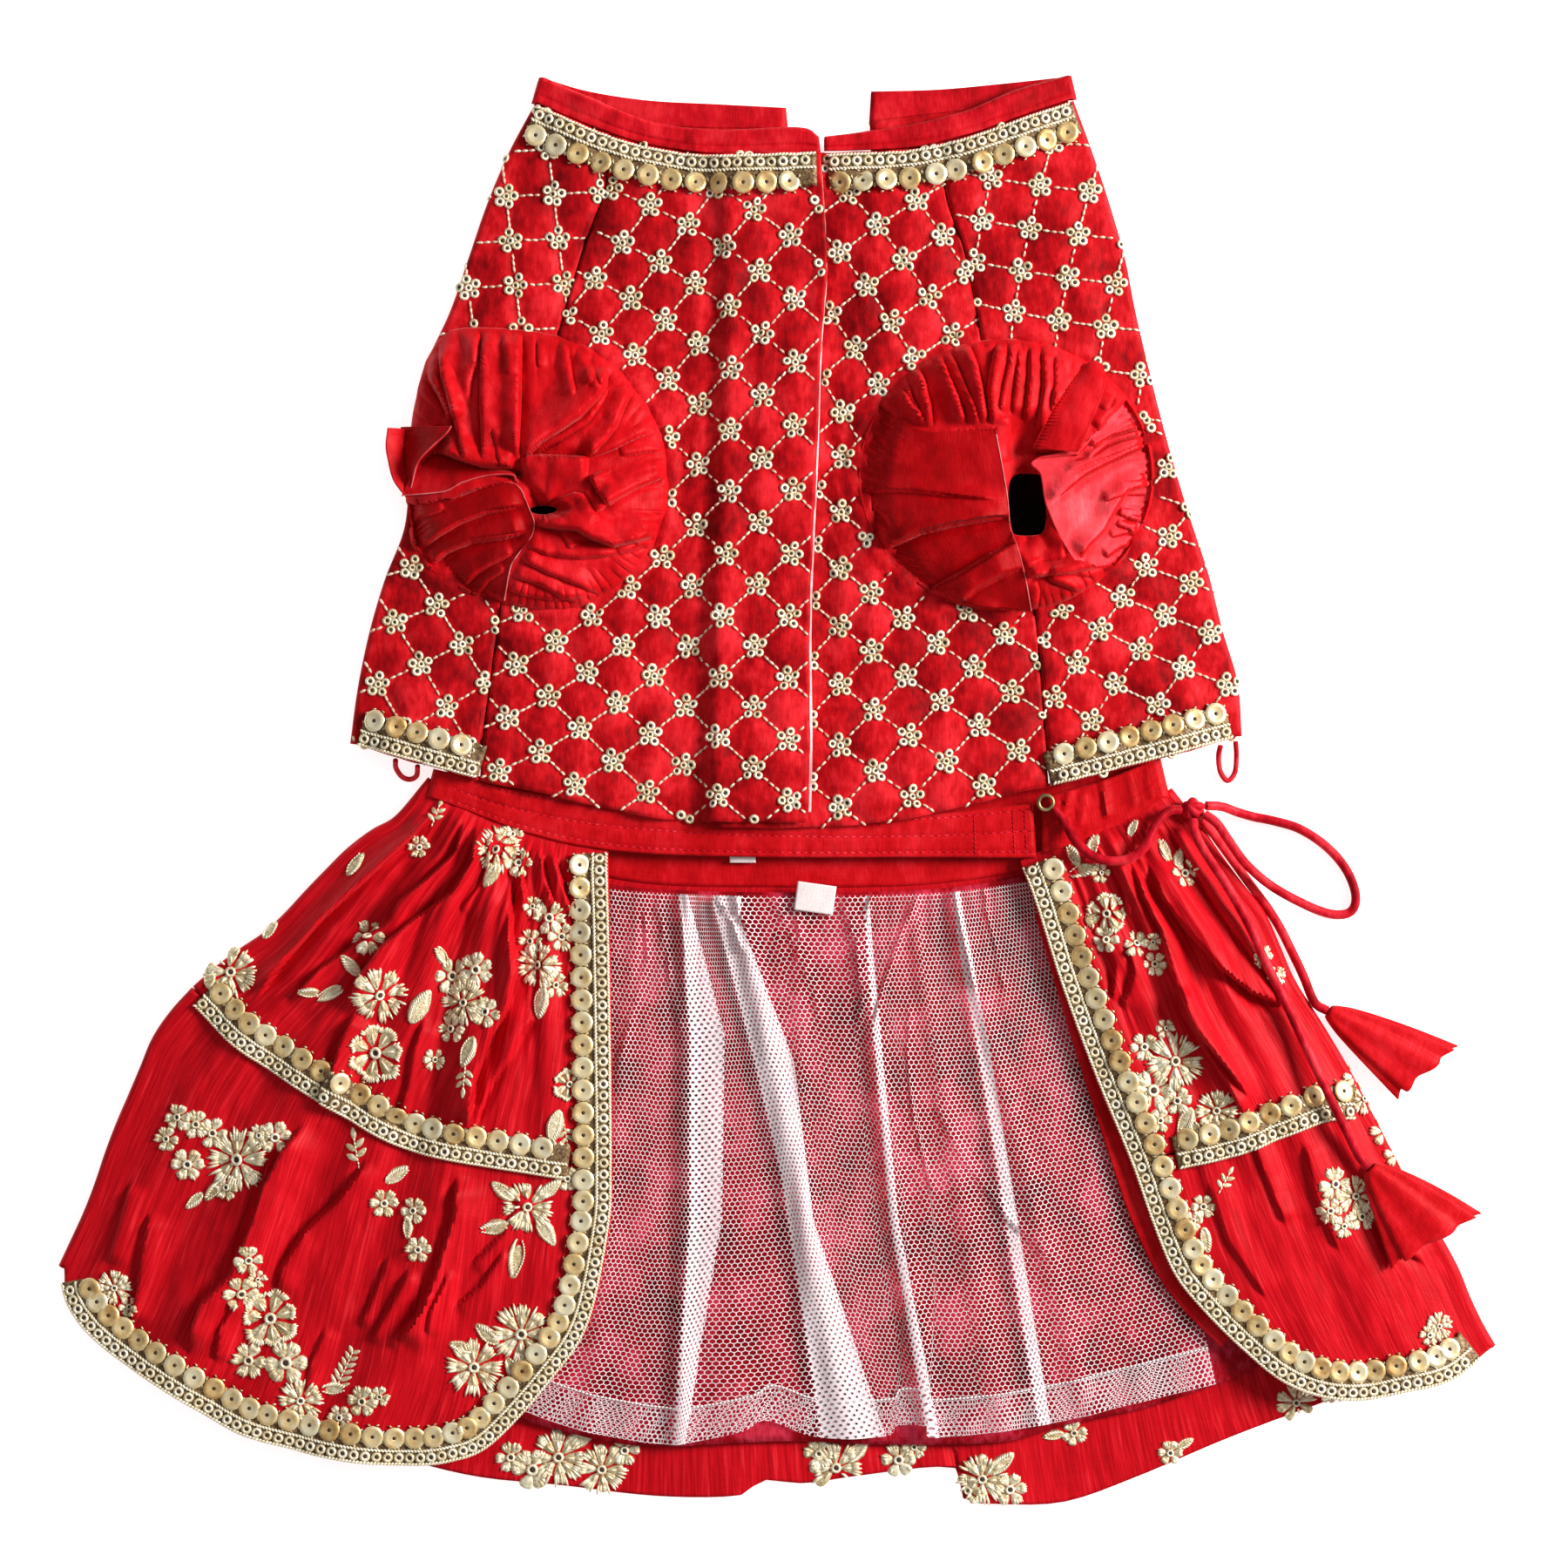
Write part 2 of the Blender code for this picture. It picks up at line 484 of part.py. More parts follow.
def lace_strip(name, line, surface, skin, width=LACE_WIDTH, to_left=True, start=0.0, end=1.0, step=6.0,
               inset=0.5):
    """A lace along a curve, laid on a surface: its outer edge is the curve, moved in a little."""
    path = line if isinstance(line, Path) else Path(line)
    count = max(3, round(path.length * (end - start) / step))
    side = 1 if to_left else -1
    outer, inner = [], []
    for share in even(count, start, end):
        point, inward = path.at(share), side * path.left_of(share)
        column = []
        for part in (0.0, 0.5, 1.0):
            plan = point + inward * (inset + part * (width - inset))
            column.append(raised(plan, surface.height(plan.x, plan.y) + LAYER_GAP + LACE))
        outer.append(column)
        inner.append([p - Vector((0, 0, LACE)) for p in column])
    return closed_wall(name, outer, inner, skin)


def tube(name, points, radius, skin, spacing, sides=2):
    """A round cord through points, smooth from end to end, with closed ends."""
    path = Path(points)
    count = max(6, round(path.length / spacing))
    data = bpy.data.curves.new(name, "CURVE")
    data.dimensions = "3D"
    data.bevel_depth = radius * MM
    data.bevel_resolution = sides
    data.use_fill_caps = True
    spline = data.splines.new("POLY")
    spline.points.add(count)
    for point, share in zip(spline.points, even(count)):
        point.co = (*(path.at(share) * MM), 1)
    data.materials.append(skin)
    made = bpy.data.objects.new(name, data)
    bpy.context.scene.collection.objects.link(made)
    return made


def choli_level(plan):
    """The underside of the choli's upper layer: it lies low, and climbs over the waistband near the hem."""
    to_fold = min(plan.x - fold_at(CHOLI_LEFT, plan.y), fold_at(CHOLI_RIGHT, plan.y) - plan.x)
    low = 2 * CHOLI_FOLD - CHOLI_CLOTH
    inland = smooth_step(to_fold / 17)
    over_band = smooth_step((30 - plan.y) / 20) * inland
    soft = 0.7 * inland * (1 + math.sin(plan.x * 0.11 + 1.3) * math.sin(plan.y * 0.075))
    return low + soft * (1 - over_band) + 3.5 * over_band


def fold_at(outline, y):
    """Where an outline that runs down the garment crosses this height."""
    points = sorted(outline, key=lambda p: p[1])
    if y <= points[0][1]:
        return points[0][0]
    for low, high in zip(points, points[1:]):
        if y <= high[1]:
            return low[0] + (high[0] - low[0]) * (y - low[1]) / (high[1] - low[1])
    return points[-1][0]


def choli_top(plan, across=0.0, down=0.0):
    """The upper face of the choli's upper layer."""
    return choli_level(plan) + CHOLI_CLOTH


def side_top(plan, across, down):
    """The upper face of the back where it has come round to the belly side: it starts level with the fold."""
    start = 2 * CHOLI_FOLD
    return start + (choli_top(plan) - start) * smooth_step(across * 3)


def placket_top(plan, across, down):
    """The left belly panel climbs over the right one's underlap and the closure tape."""
    line = fold_at(PLACKET, plan.y) - UNDERLAP
    return choli_top(plan) + (CHOLI_CLOTH + 0.8 + 2 * LAYER_GAP) * smooth_step((plan.x - line + 6) / 5)


def skirt_folds(side, across, down, seam, width):
    """Height of a front's folds; down is 0 at the waist, 1 at the hem, and seam is where the tiers meet."""
    height = 0.0
    for fold in FOLDS[side]:
        if down < seam:
            line = fold["waist"] + (fold["seam"] - fold["waist"]) * down / seam
        else:
            line = fold["seam"] + (fold["hem"] - fold["seam"]) * (down - seam) / (1 - seam)
        fading = 1 - (1 - fold["fade"]) * smooth_step((down - 0.3) / 0.6)
        narrow = 0.45 + 0.55 * smooth_step(down / 0.45)
        fading *= 0.5 + 0.5 * smooth_step(down / 0.2)
        height += fold["height"] * fading * bump((across - line) * width, 2 * fold["width"] * narrow)
    return height * smooth_step(across * 8) * smooth_step((1 - across) * 9)


def front_base(side, across):
    """The level of a front's upper face before its folds: it climbs from the folded side over the net."""
    climb = {"left": 3.2, "right": 3.4}[side]
    return 2 * SKIRT_FOLD + climb * smooth_step(across / 0.3)


def back_top(plan, across=0.0, down=0.0):
    """The upper face of the skirt's back, which lies on the surface."""
    height = CLOTH
    for wave in BACK_WAVES:
        height += wave["height"] * bump(plan.x - wave["x"], wave["width"]) * smooth_step((-plan.y - 125) / 40)
    return height


def build_choli(skins):
    """Back, belly panels and sleeves, with the neck binding."""
    left_fold = turned_in(CHOLI_LEFT, CHOLI_FOLD, True)
    right_fold = turned_in(CHOLI_RIGHT, CHOLI_FOLD, False)

    def side_patch(fold, seam, neck, hem):
        fold[0] = stretch(neck, fold[0][0], fold[0][0] + 1, -SEAM_GAP)[0]
        seam[0] = stretch(neck, seam[0][0], seam[0][0] + 1)[0]
        top = [fold[0], *stretch(neck, fold[0][0], seam[0][0])[1:]]
        return Patch(fold, seam, top, [fold[-1], *hem, seam[-1]])

    seam_left = turned_in(SEAM_LEFT, SEAM_GAP / 2, False)
    seam_right = turned_in(SEAM_RIGHT, SEAM_GAP / 2, True)
    left = {"patch": side_patch(left_fold, seam_left, NECK_SEAM_LEFT, [(-106, 9.6), (-94, 6.4)]),
            "columns": 5, "top": side_top}
    right = {"patch": side_patch(right_fold, seam_right, NECK_SEAM_RIGHT, [(112, 10.6), (92, 5.4)]),
             "columns": 5, "top": side_top}
    back_neck = stretch(BACK_NECK_SEAM, left_fold[0][0], right_fold[0][0], -1.0, 16)
    under = {"patch": Patch(left_fold, right_fold, back_neck, [left_fold[-1], *HEM_BACK[1:-1], right_fold[-1]]),
             "columns": 8, "top": lambda plan, across, down: CHOLI_CLOTH}
    back = wrapped("choli_back", skins["choli"], 15, CHOLI_FOLD, CHOLI_CLOTH, left, under, right)
    notch = box("neck_notch_cutter", (NOTCH["left"], NOTCH["bottom"], -1),
                (NOTCH["right"], 200, CHOLI_CLOTH + 0.5))
    cut(back, notch)

    left_side = turned_in(SEAM_LEFT, SEAM_GAP / 2, True)
    right_side = turned_in(SEAM_RIGHT, SEAM_GAP / 2, False)
    underlap = [(x - UNDERLAP, y) for x, y in PLACKET[:-1]] + [(-16, -10)]
    left_top = stretch(NECK_SEAM_LEFT, left_side[0][0], PLACKET[0][0])
    right_top = stretch(NECK_SEAM_RIGHT, PLACKET[0][0], right_side[0][0])[::-1] + [(0, 175.3), (-13, 174.6)]
    left_side[0], right_side[0], underlap[0] = left_top[0], right_top[0], right_top[-1]
    fronts = {
        "left": (Patch(left_side, [left_top[-1], *PLACKET[1:]], left_top,
                       [left_side[-1], *HEM_LEFT[1:]]), placket_top, 12),
        "right": (Patch(right_side, underlap, right_top, [right_side[-1], *HEM_RIGHT[-2::-1]]), choli_top, 12),
    }
    holes = {side: armhole_cutter(side, CHOLI_CLOTH + 0.5, 20) for side in ARMHOLES}
    for side, (patch, top, columns) in fronts.items():
        outer, inner = upper_columns(patch, even(columns), 15, top, CHOLI_CLOTH)
        panel = closed_wall(f"choli_front_{side}", outer, inner, skins["choli"])
        cut(panel, holes[side])
        cut(back, holes[side])
    return back


def build_bindings(skins):
    """The neck's binding, which goes round each side to the notch at the middle of the back."""
    lift = SEAM_GAP
    sides = {
        "left": {"sign": 1, "fold": -67, "front_end": 12, "back_end": NOTCH["left"] - 0.5,
                 "edge": NECK_EDGE_LEFT, "seam": NECK_SEAM_LEFT, "back_edge": BACK_NECK_EDGE_LEFT},
        "right": {"sign": -1, "fold": 82, "front_end": 13, "back_end": NOTCH["right"] + 0.5,
                  "edge": NECK_EDGE_RIGHT[::-1], "seam": NECK_SEAM_RIGHT,
                  "back_edge": BACK_NECK_EDGE_RIGHT[::-1]},
    }
    for side, plan in sides.items():
        sign, edge, back_edge = plan["sign"], plan["edge"], plan["back_edge"]
        start = plan["fold"] + sign * BINDING_FOLD
        seam = stretch(plan["seam"], start, plan["front_end"], lift)
        back_seam = stretch(BACK_NECK_SEAM, start, plan["back_end"], lift)
        back_seam[0] = seam[0]
        fold = [(edge[0][0] + sign * BINDING_FOLD, edge[0][1]), seam[0]]
        top = Patch(fold, [edge[-1], seam[-1]], [fold[0], *edge[1:]], seam)
        low = Patch(fold, [back_edge[-1], back_seam[-1]], [fold[0], *back_edge[1:]], back_seam)

        def height(plan, across, down):
            rise = smooth_step(across * 4)
            return 2 * CHOLI_FOLD + 0.5 * rise + (choli_top(plan) - 2 * CHOLI_FOLD) * rise

        outer, inner = upper_columns(top, even(14)[::-1], 2, height, CHOLI_CLOTH)
        turn = turn_columns(top.side.at, lambda s: Vector((sign, 0)), 2, CHOLI_FOLD, CHOLI_CLOTH, True)
        flat = upper_columns(low, even(8), 2, lambda plan, across, down: CHOLI_CLOTH, CHOLI_CLOTH)
        outer = outer + turn[0] + [[raised(p, 0.0) for p in column] for column in flat[0]]
        inner = inner + turn[1] + flat[0]
        closed_wall(f"neck_binding_{side}", outer, inner, skins["binding"])


def rim_at(side, angle):
    """The rim's distance from its middle point and its rise, smooth round the sleeve."""
    rows = RIMS[side]["rows"]
    angle %= 360
    place = max(i for i, row in enumerate(rows) if row["angle"] <= angle)
    before, row = rows[place - 1], rows[place]
    following, after = rows[(place + 1) % len(rows)], rows[(place + 2) % len(rows)]
    span = (following["angle"] - row["angle"]) % 360
    t = (angle - row["angle"]) / span
    values = []
    for key in ("out", "rise"):
        a, b, c, d = before[key], row[key], following[key], after[key]
        values.append(0.5 * (2 * b + (c - a) * t + (2 * a - 5 * b + 4 * c - d) * t * t
                             + (3 * b - a - 3 * c + d) * t ** 3))
    return values


def armhole_reach(side, angle):
    """How far the armhole's seam is from the rim's middle point, in this direction."""
    hole, middle = ARMHOLES[side], RIMS[side]
    shrink = SEAM_GAP + 0.2
    half_x, half_y = hole["half_x"] - shrink, hole["half_y"] - shrink
    x, y = (middle["x"] - hole["x"]) / half_x, (middle["y"] - hole["y"]) / half_y
    turn = math.radians(angle)
    along_x, along_y = math.cos(turn) / half_x, math.sin(turn) / half_y
    a = along_x ** 2 + along_y ** 2
    b = x * along_x + y * along_y
    c = x * x + y * y - 1
    return (-b + math.sqrt(b * b - a * c)) / a


def sleeve_point(side, angle, out):
    """The sleeve without its gathers: out is 0 in the armhole's seam and 1 at the free rim."""
    middle = Vector((RIMS[side]["x"], RIMS[side]["y"]))
    heading = Vector((math.cos(math.radians(angle)), math.sin(math.radians(angle))))
    base = middle + heading * armhole_reach(side, angle)
    rim_out, rise = rim_at(side, angle)
    plan = base.lerp(middle + heading * rim_out, out)
    over_side = smooth_step((math.cos(math.radians(angle - 170)) - 0.8) * 8) if side == "left" else 0.0
    puff = SLEEVE_PUFF * smooth_step(abs(armhole_reach(side, angle) - rim_out) / 14)
    z = choli_top(base) - 0.2 + 1.8 * over_side + rise * out + puff * math.sin(math.pi * out ** 0.8) ** 0.8
    return raised(plan, z)


def build_sleeves(skins):
    """Gathered puff sleeves: the cloth is gathered into the armhole and ends in a free rim."""
    columns, rows = 2 * SLEEVE_GATHERS, 4
    for side in ARMHOLES:
        outer, inner = [], []
        for i in range(columns):
            angle = 360 * i / columns
            outer.append([])
            inner.append([])
            for j in range(rows + 1):
                out = (j / rows) ** 1.25
                here = sleeve_point(side, angle, out)
                inner_end = sleeve_point(side, angle, min(1.0, out + 0.02))
                along = inner_end - sleeve_point(side, angle, max(0, out - 0.02))
                round_ = sleeve_point(side, angle + 3, out) - sleeve_point(side, angle - 3, out)
                normal = round_.cross(along).normalized()
                gather = (0.45 if i % 2 else -0.45) * (1 - 0.7 * out) * smooth_step(out * 9)
                outer[-1].append(here + normal * gather)
                inner[-1].append(here + normal * (gather - SLEEVE_CLOTH))
        closed_wall(f"sleeve_{side}", outer, inner, skins["plain"], ring=True)


def across_edge(plan):
    """How far a point of the net is from the right front's folded edge, which lies over it."""
    return fold_at(LINING_EDGE_OUT, plan.y) - plan.x


def build_skirt(skins):
    """Yoke and flounce, each in one piece round both sides, with the lining and the net inside."""
    seam_share = 0.5
    left_yoke, left_flounce = parted(turned_in(SKIRT_LEFT, SKIRT_FOLD, True, 24), TIER_LEFT[0], SEAM_GAP)
    right_yoke, right_flounce = parted(turned_in(SKIRT_RIGHT, SKIRT_FOLD, False, 24), TIER_RIGHT[0], SEAM_GAP)
    tiers = {
        "skirt_yoke": (left_yoke, right_yoke, YOKE_FRONT_LEFT, YOKE_FRONT_RIGHT,
                       (WAIST_LEFT, WAIST_RIGHT, WAIST_BACK), (TIER_LEFT, TIER_RIGHT, TIER_BACK),
                       0.0, seam_share),
        "skirt_flounce": (left_flounce, right_flounce, FLOUNCE_FRONT_LEFT, FLOUNCE_FRONT_RIGHT,
                          (TIER_LEFT, TIER_RIGHT, TIER_BACK), (FRONT_HEM_LEFT, FRONT_HEM_RIGHT, BACK_HEM),
                          seam_share, 1.0),
    }
    for name, (fold_left, fold_right, left_front, right_front, tops, hems, start, end) in tiers.items():
        shift = Vector((0, -SEAM_GAP))
        tops = [[tuple(Vector(p) + shift) for p in line] for line in tops]

        def top_part(side, fold, front, top, hem, columns):
            def height(plan, across, down):
                overall = start + (end - start) * down
                return front_base(side, across) + skirt_folds(side, across, overall, seam_share, FRONT_WIDTHS[side])

            patch = Patch(fold, [tuple(Vector(front[0]) + shift), *front[1:]], [fold[0], *top[1:]],
                          [fold[-1], *hem[1:]])
            return {"patch": patch, "columns": columns, "top": height}

        left = top_part("left", fold_left, left_front, tops[0], hems[0], 20)
        right = top_part("right", fold_right, right_front, tops[1], hems[1], 14)
        under = {"patch": Patch(fold_left, fold_right, [fold_left[0], *tops[2][1:-1], fold_right[0]],
                                [fold_left[-1], *hems[2][1:-1], fold_right[-1]]),
                 "columns": 28 if name == "skirt_flounce" else 8, "top": back_top}
        wrapped(name, skins["skirt"], 6, SKIRT_FOLD, CLOTH, left, under, right)

    lining = Patch(LINING_LEFT, LINING_RIGHT, LINING_TOP, LINING_HEM)
    outer, inner = upper_columns(lining, even(18), 6,
                                 lambda plan, across, down: back_top(plan) + LAYER_GAP + NET, NET)
    closed_wall("skirt_lining", outer, inner, skins["plain"])
    net = Patch(NET_LEFT, NET_RIGHT, NET_TOP, NET_HEM)

    def net_top(plan, across, down):
        height = back_top(plan) + 2 * (LAYER_GAP + NET)
        for fold in NET_FOLDS:
            line = fold["top"] + (fold["hem"] - fold["top"]) * down
            height += fold["height"] * bump(plan.x - line, fold["width"] * (0.7 + 0.5 * down)) \
                * smooth_step((0.25 + down) * 3) * smooth_step((across_edge(plan) - 3) / 8)
        return height

    outer, inner = upper_columns(net, even(38), 6, net_top, NET)
    closed_wall("net_lining", outer, inner, skins["net"])


def build_waistband(skins):
    """One band: its free end on the left front, then round the back to the right front."""
    rows = 2
    left_fold = [(-95 + BAND_FOLD, 5.5), (-97 + BAND_FOLD, -2)]
    right_fold = [(106 - BAND_FOLD, 8.5), (108.5 - BAND_FOLD, -2)]
    left = Patch(left_fold, [BAND_TOP_FRONT[0], BAND_BOTTOM_FRONT[0]],
                 [left_fold[0], *BAND_TOP_FRONT[-2::-1]], [left_fold[1], *BAND_BOTTOM_FRONT[-2::-1]])
    under = Patch(left_fold, right_fold, [left_fold[0], *BAND_TOP_BACK[1:-1], right_fold[0]],
                  [left_fold[1], *BAND_BOTTOM_BACK[1:-1], right_fold[1]])
    right = Patch(right_fold, [BAND_TOP_RIGHT[-1], BAND_BOTTOM_RIGHT[-1]],
                  [right_fold[0], *BAND_TOP_RIGHT[1:]], [right_fold[1], *BAND_BOTTOM_RIGHT[1:]])

    def level(plan, across, down):
        return 2 * BAND_FOLD

    wrapped("waistband", skins["plain"], rows, BAND_FOLD, BAND,
            {"patch": left, "columns": 12, "top": level},
            {"patch": under, "columns": 8, "top": lambda plan, across, down: BAND},
            {"patch": right, "columns": 3, "top": level})


def build_laces(skins, objects):
    """Gold laces, each laid on the finished panels."""
    gold = skins["gold"]
    choli = Surface(*(objects[n] for n in ("choli_back", "choli_front_left", "choli_front_right")))
    for side, line in (("left", NECK_SEAM_LEFT), ("right", NECK_SEAM_RIGHT)):
        cover = [(x, y - 0.3) for x, y in line]
        ends = (0.015, 0.985) if side == "left" else (0.03, 0.985)
        lace_strip(f"neck_lace_{side}", cover, choli, gold, to_left=False, start=ends[0], end=ends[1])
    lace_strip("hem_lace_left", HEM_SIDE_LEFT, choli, gold, start=0.06, end=0.99)
    lace_strip("hem_lace_right", HEM_SIDE_RIGHT, choli, gold, to_left=False, start=0.05, end=0.99)
    skirt = Surface(objects["skirt_yoke"], objects["skirt_flounce"])
    left_edge = YOKE_FRONT_LEFT[:-1] + FLOUNCE_FRONT_LEFT[:-1] + FRONT_HEM_LEFT[::-1]
    right_edge = YOKE_FRONT_RIGHT[:-1] + FLOUNCE_FRONT_RIGHT[:-1] + FRONT_HEM_RIGHT[::-1]
    lace_strip("border_lace_left", left_edge, skirt, gold, to_left=False, start=0.006, end=0.985)
    lace_strip("border_lace_right", right_edge, skirt, gold, to_left=True, start=0.012, end=0.975)
    for side, line, ends in (("left", TIER_LEFT, (0.03, 0.90)), ("right", TIER_RIGHT, (0.06, 0.80))):
        lowered = [(x, y - 5.0) for x, y in line]
        lace_strip(f"seam_lace_{side}", lowered, skirt, gold, to_left=side == "left",
                   start=ends[0], end=ends[1])


def build_lining_edge(skins):
    """The lining's front edge, between the net and the right front."""
    edge = Patch(LINING_EDGE_OUT, LINING_EDGE_IN, [LINING_EDGE_OUT[0], LINING_EDGE_IN[0]],
                 [LINING_EDGE_OUT[-1], LINING_EDGE_IN[-1]])
    outer, inner = upper_columns(edge, even(2), 10,
                                 lambda plan, across, down: back_top(plan) + 3 * (LAYER_GAP + NET), NET)
    closed_wall("lining_edge_right", outer, inner, skins["plain"])


def build_closures(skins, objects):
    """Hook tape under the left belly panel's edge, the waist tape, the eyelet, the size tag and the hem loops."""
    right_panel = Surface(objects["choli_front_right"])
    path = Path(PLACKET)
    outer, inner = [], []
    for across in even(2):
        outer.append([])
        inner.append([])
        for share in even(15, 0.02, 0.985):
            plan = path.at(share) + Vector((1.4 - 12 * across, 0))
            z = right_panel.height(plan.x, plan.y, 0.8) + 0.3 + 0.7
            outer[-1].append(raised(plan, z))
            inner[-1].append(raised(plan, z - 0.7))
    closed_wall("closure_tape", outer, inner, skins["tape"])
    tape = WAIST_TAPE
    box("waist_tape", (tape["x"] - tape["width"] / 2, tape["y"] - tape["length"], BAND + 0.3),
        (tape["x"] + tape["width"] / 2, tape["y"] + tape["length"], BAND + 1.2), skins["tape"])

    mesh = bmesh.new()
    bmesh.ops.create_circle(mesh, segments=6, radius=EYELET["wire"] * MM)
    bmesh.ops.rotate(mesh, cent=(0, 0, 0), verts=mesh.verts[:], matrix=rotation("X", 90))
    bmesh.ops.translate(mesh, vec=(EYELET["ring"] * MM, 0, 0), verts=mesh.verts[:])
    bmesh.ops.spin(mesh, geom=mesh.edges[:], cent=(0, 0, 0), axis=(0, 0, 1), steps=20, angle=2 * math.pi,
                   use_merge=True)
    bmesh.ops.remove_doubles(mesh, verts=mesh.verts[:], dist=0.00001)
    bmesh.ops.translate(mesh, vec=Vector((EYELET["x"], EYELET["y"], EYELET["z"])) * MM, verts=mesh.verts[:])
    add_mesh("eyelet", mesh, skins["gold"])

    net = Surface(objects["net_lining"])
    tag = box("size_tag", (-TAG["width"] / 2, -TAG["length"] / 2, 0), (TAG["width"] / 2, TAG["length"] / 2,
              TAG["thick"]), skins["tape"])
    height = max(net.height(TAG["x"] + dx, TAG["y"] + dy, 3) for dx in (-4, 0, 4) for dy in (-3, 3))
    tag.location = Vector((TAG["x"], TAG["y"], height + LAYER_GAP)) * MM
    tag.rotation_euler = (0, 0, math.radians(TAG["turn"]))

    for side, loop in HEM_LOOPS.items():
        first, last = (hem_root(side, x) for x in loop["roots"])
        tube(f"hem_loop_{side}", [first, *loop["route"], last], LOOP_RADIUS, skins["cord"], 2.2, 1)


def hem_root(side, x):
    """Where a cord of a hem loop leaves the choli's upper layer, just under its edge."""
    hem = {"left": HEM_SIDE_LEFT, "right": HEM_SIDE_RIGHT}[side]
    plan = Vector(stretch(hem, x, x + 0.5)[0])
    across = (x - hem[0][0]) / (hem[-1][0] - hem[0][0])
    return (plan.x, plan.y - LOOP_RADIUS - END_GAP, side_top(plan, across, 1.0) - CHOLI_CLOTH / 2)


def rotation(axis, degrees):
    """A rotation matrix about one axis."""
    return Matrix.Rotation(math.radians(degrees), 3, axis)


def build_tie(skins):
    """The tie cord with its knot, its loop and two cloth tassels."""
    exits = {name: knot_exit(**aim) for name, aim in KNOT_EXITS.items()}
    routes = {
        "tie_cord_dip": [*CORD_DIP, exits["dip"]],
        "tie_cord_loop": [exits["loop_out"], *CORD_LOOP, exits["loop_back"]],
        "tie_cord_tail_long": [exits["tail_long"], *CORD_TAIL_LONG, *tassel_ends("long")],
        "tie_cord_tail_short": [exits["tail_short"], *CORD_TAIL_SHORT, *tassel_ends("short")],
    }
    for name, route in routes.items():
        tube(name, route, CORD_RADIUS, skins["cord"], 5.4)
    mesh = bmesh.new()
    bmesh.ops.create_uvsphere(mesh, u_segments=12, v_segments=8, radius=KNOT["radius"] * MM)
    bmesh.ops.translate(mesh, vec=Vector((KNOT["x"], KNOT["y"], KNOT["z"])) * MM, verts=mesh.verts[:])
    add_mesh("tie_knot", mesh, skins["cord"])
    for name, bell in TASSELS.items():
        build_tassel(f"tassel_{name}", bell, skins["plain"])


def knot_exit(heading, rise):
    """The point just off the knot where a cord leaves it in this direction."""
    turn, tilt = math.radians(heading), math.radians(rise)
    aim = Vector((math.cos(turn) * math.cos(tilt), math.sin(turn) * math.cos(tilt), math.sin(tilt)))
    return tuple(Vector((KNOT["x"], KNOT["y"], KNOT["z"])) + aim * (KNOT["radius"] + END_GAP))


def tassel_turn(bell):
    """The rotation that points a bell from its neck to its mouth."""
    return rotation("Z", bell["heading"]) @ rotation("Y", -bell["pitch"])


def tassel_ends(name):
    """The last two points of a tail, in line with its tassel's neck."""
    bell = TASSELS[name]
    neck, along = Vector((bell["x"], bell["y"], bell["z"])), tassel_turn(bell) @ Vector((1, 0, 0))
    return [tuple(neck - along * 4.5), tuple(neck - along * END_GAP)]


def build_tassel(name, bell, skin):
    """A flattened cloth bell with a wavy mouth, open at its wide end."""
    columns, rows, wall = 16, 5, 1.0
    turn = tassel_turn(bell)
    origin = Vector((bell["x"], bell["y"], bell["z"]))
    outer, inner = [], []
    for i in range(columns):
        angle = 2 * math.pi * i / columns
        outer.append([])
        inner.append([])
        for j in range(rows + 1):
            along = j / rows
            half = bell["neck"] + (bell["mouth"] - bell["neck"]) * along ** 1.3
            thick = bell["neck"] + (bell["thick"] - bell["neck"]) * along
            skew = 0.10 * bell["length"] * math.cos(angle) * along ** 3
            length = bell["length"] * along + skew
            for column, less in ((outer[-1], 0.0), (inner[-1], wall)):
                side = max(0.5, half - less) * math.cos(angle)
                up = max(0.5, thick - less) * math.sin(angle)
                point = Vector((max(length, less * 0.1), side, up))
                column.append(origin + turn @ point)
    return closed_wall(name, outer, inner, skin, ring=True)


def main():
    """Builds every piece of the garment."""
    for old in list(bpy.data.objects):
        bpy.data.objects.remove(old)
    red, deep_red = (0.62, 0.015, 0.03), (0.55, 0.01, 0.025)
    skins = {
        "choli": material("choli_satin", red, 0.55),
        "plain": material("plain_satin", deep_red, 0.5),
        "binding": material("binding_satin", red, 0.5),
        "skirt": material("raw_silk", (0.66, 0.015, 0.025), 0.5),
        "net": material("white_net", (0.85, 0.75, 0.77), 0.8),
        "gold": material("gold_lace", (0.72, 0.6, 0.34), 0.4, 0.6),
        "cord": material("red_cord", (0.6, 0.02, 0.05), 0.6),
        "tape": material("white_tape", (0.9, 0.88, 0.86), 0.8),
    }
    build_choli(skins)
    build_bindings(skins)
    build_sleeves(skins)
    build_skirt(skins)
    build_waistband(skins)
    build_lining_edge(skins)
    objects = bpy.data.objects
    build_laces(skins, objects)
    build_closures(skins, objects)
    build_tie(skins)


main()
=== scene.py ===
"""Looks of a small dog's two-piece lehenga, laid flat with the belly side up.

The choli (top) is of red satin with a trellis of gold ring flowers, and the skirt of slubbed raw silk
with gold embroidery, over a red lining and a gathered net. Tables and sizes are in millimetres, in the
frame of the CAD model: +X is to the right, +Y towards the neck, +Z up from the surface that it lies on.
Meshes are in metres.
"""

import json
import logging
import math
from dataclasses import dataclass, field
from enum import Enum
from functools import cached_property
from typing import Callable, Iterable, Sequence

import bmesh
import bpy
from mathutils import Matrix, Vector, noise
from mathutils.bvhtree import BVHTree
from mathutils.kdtree import KDTree

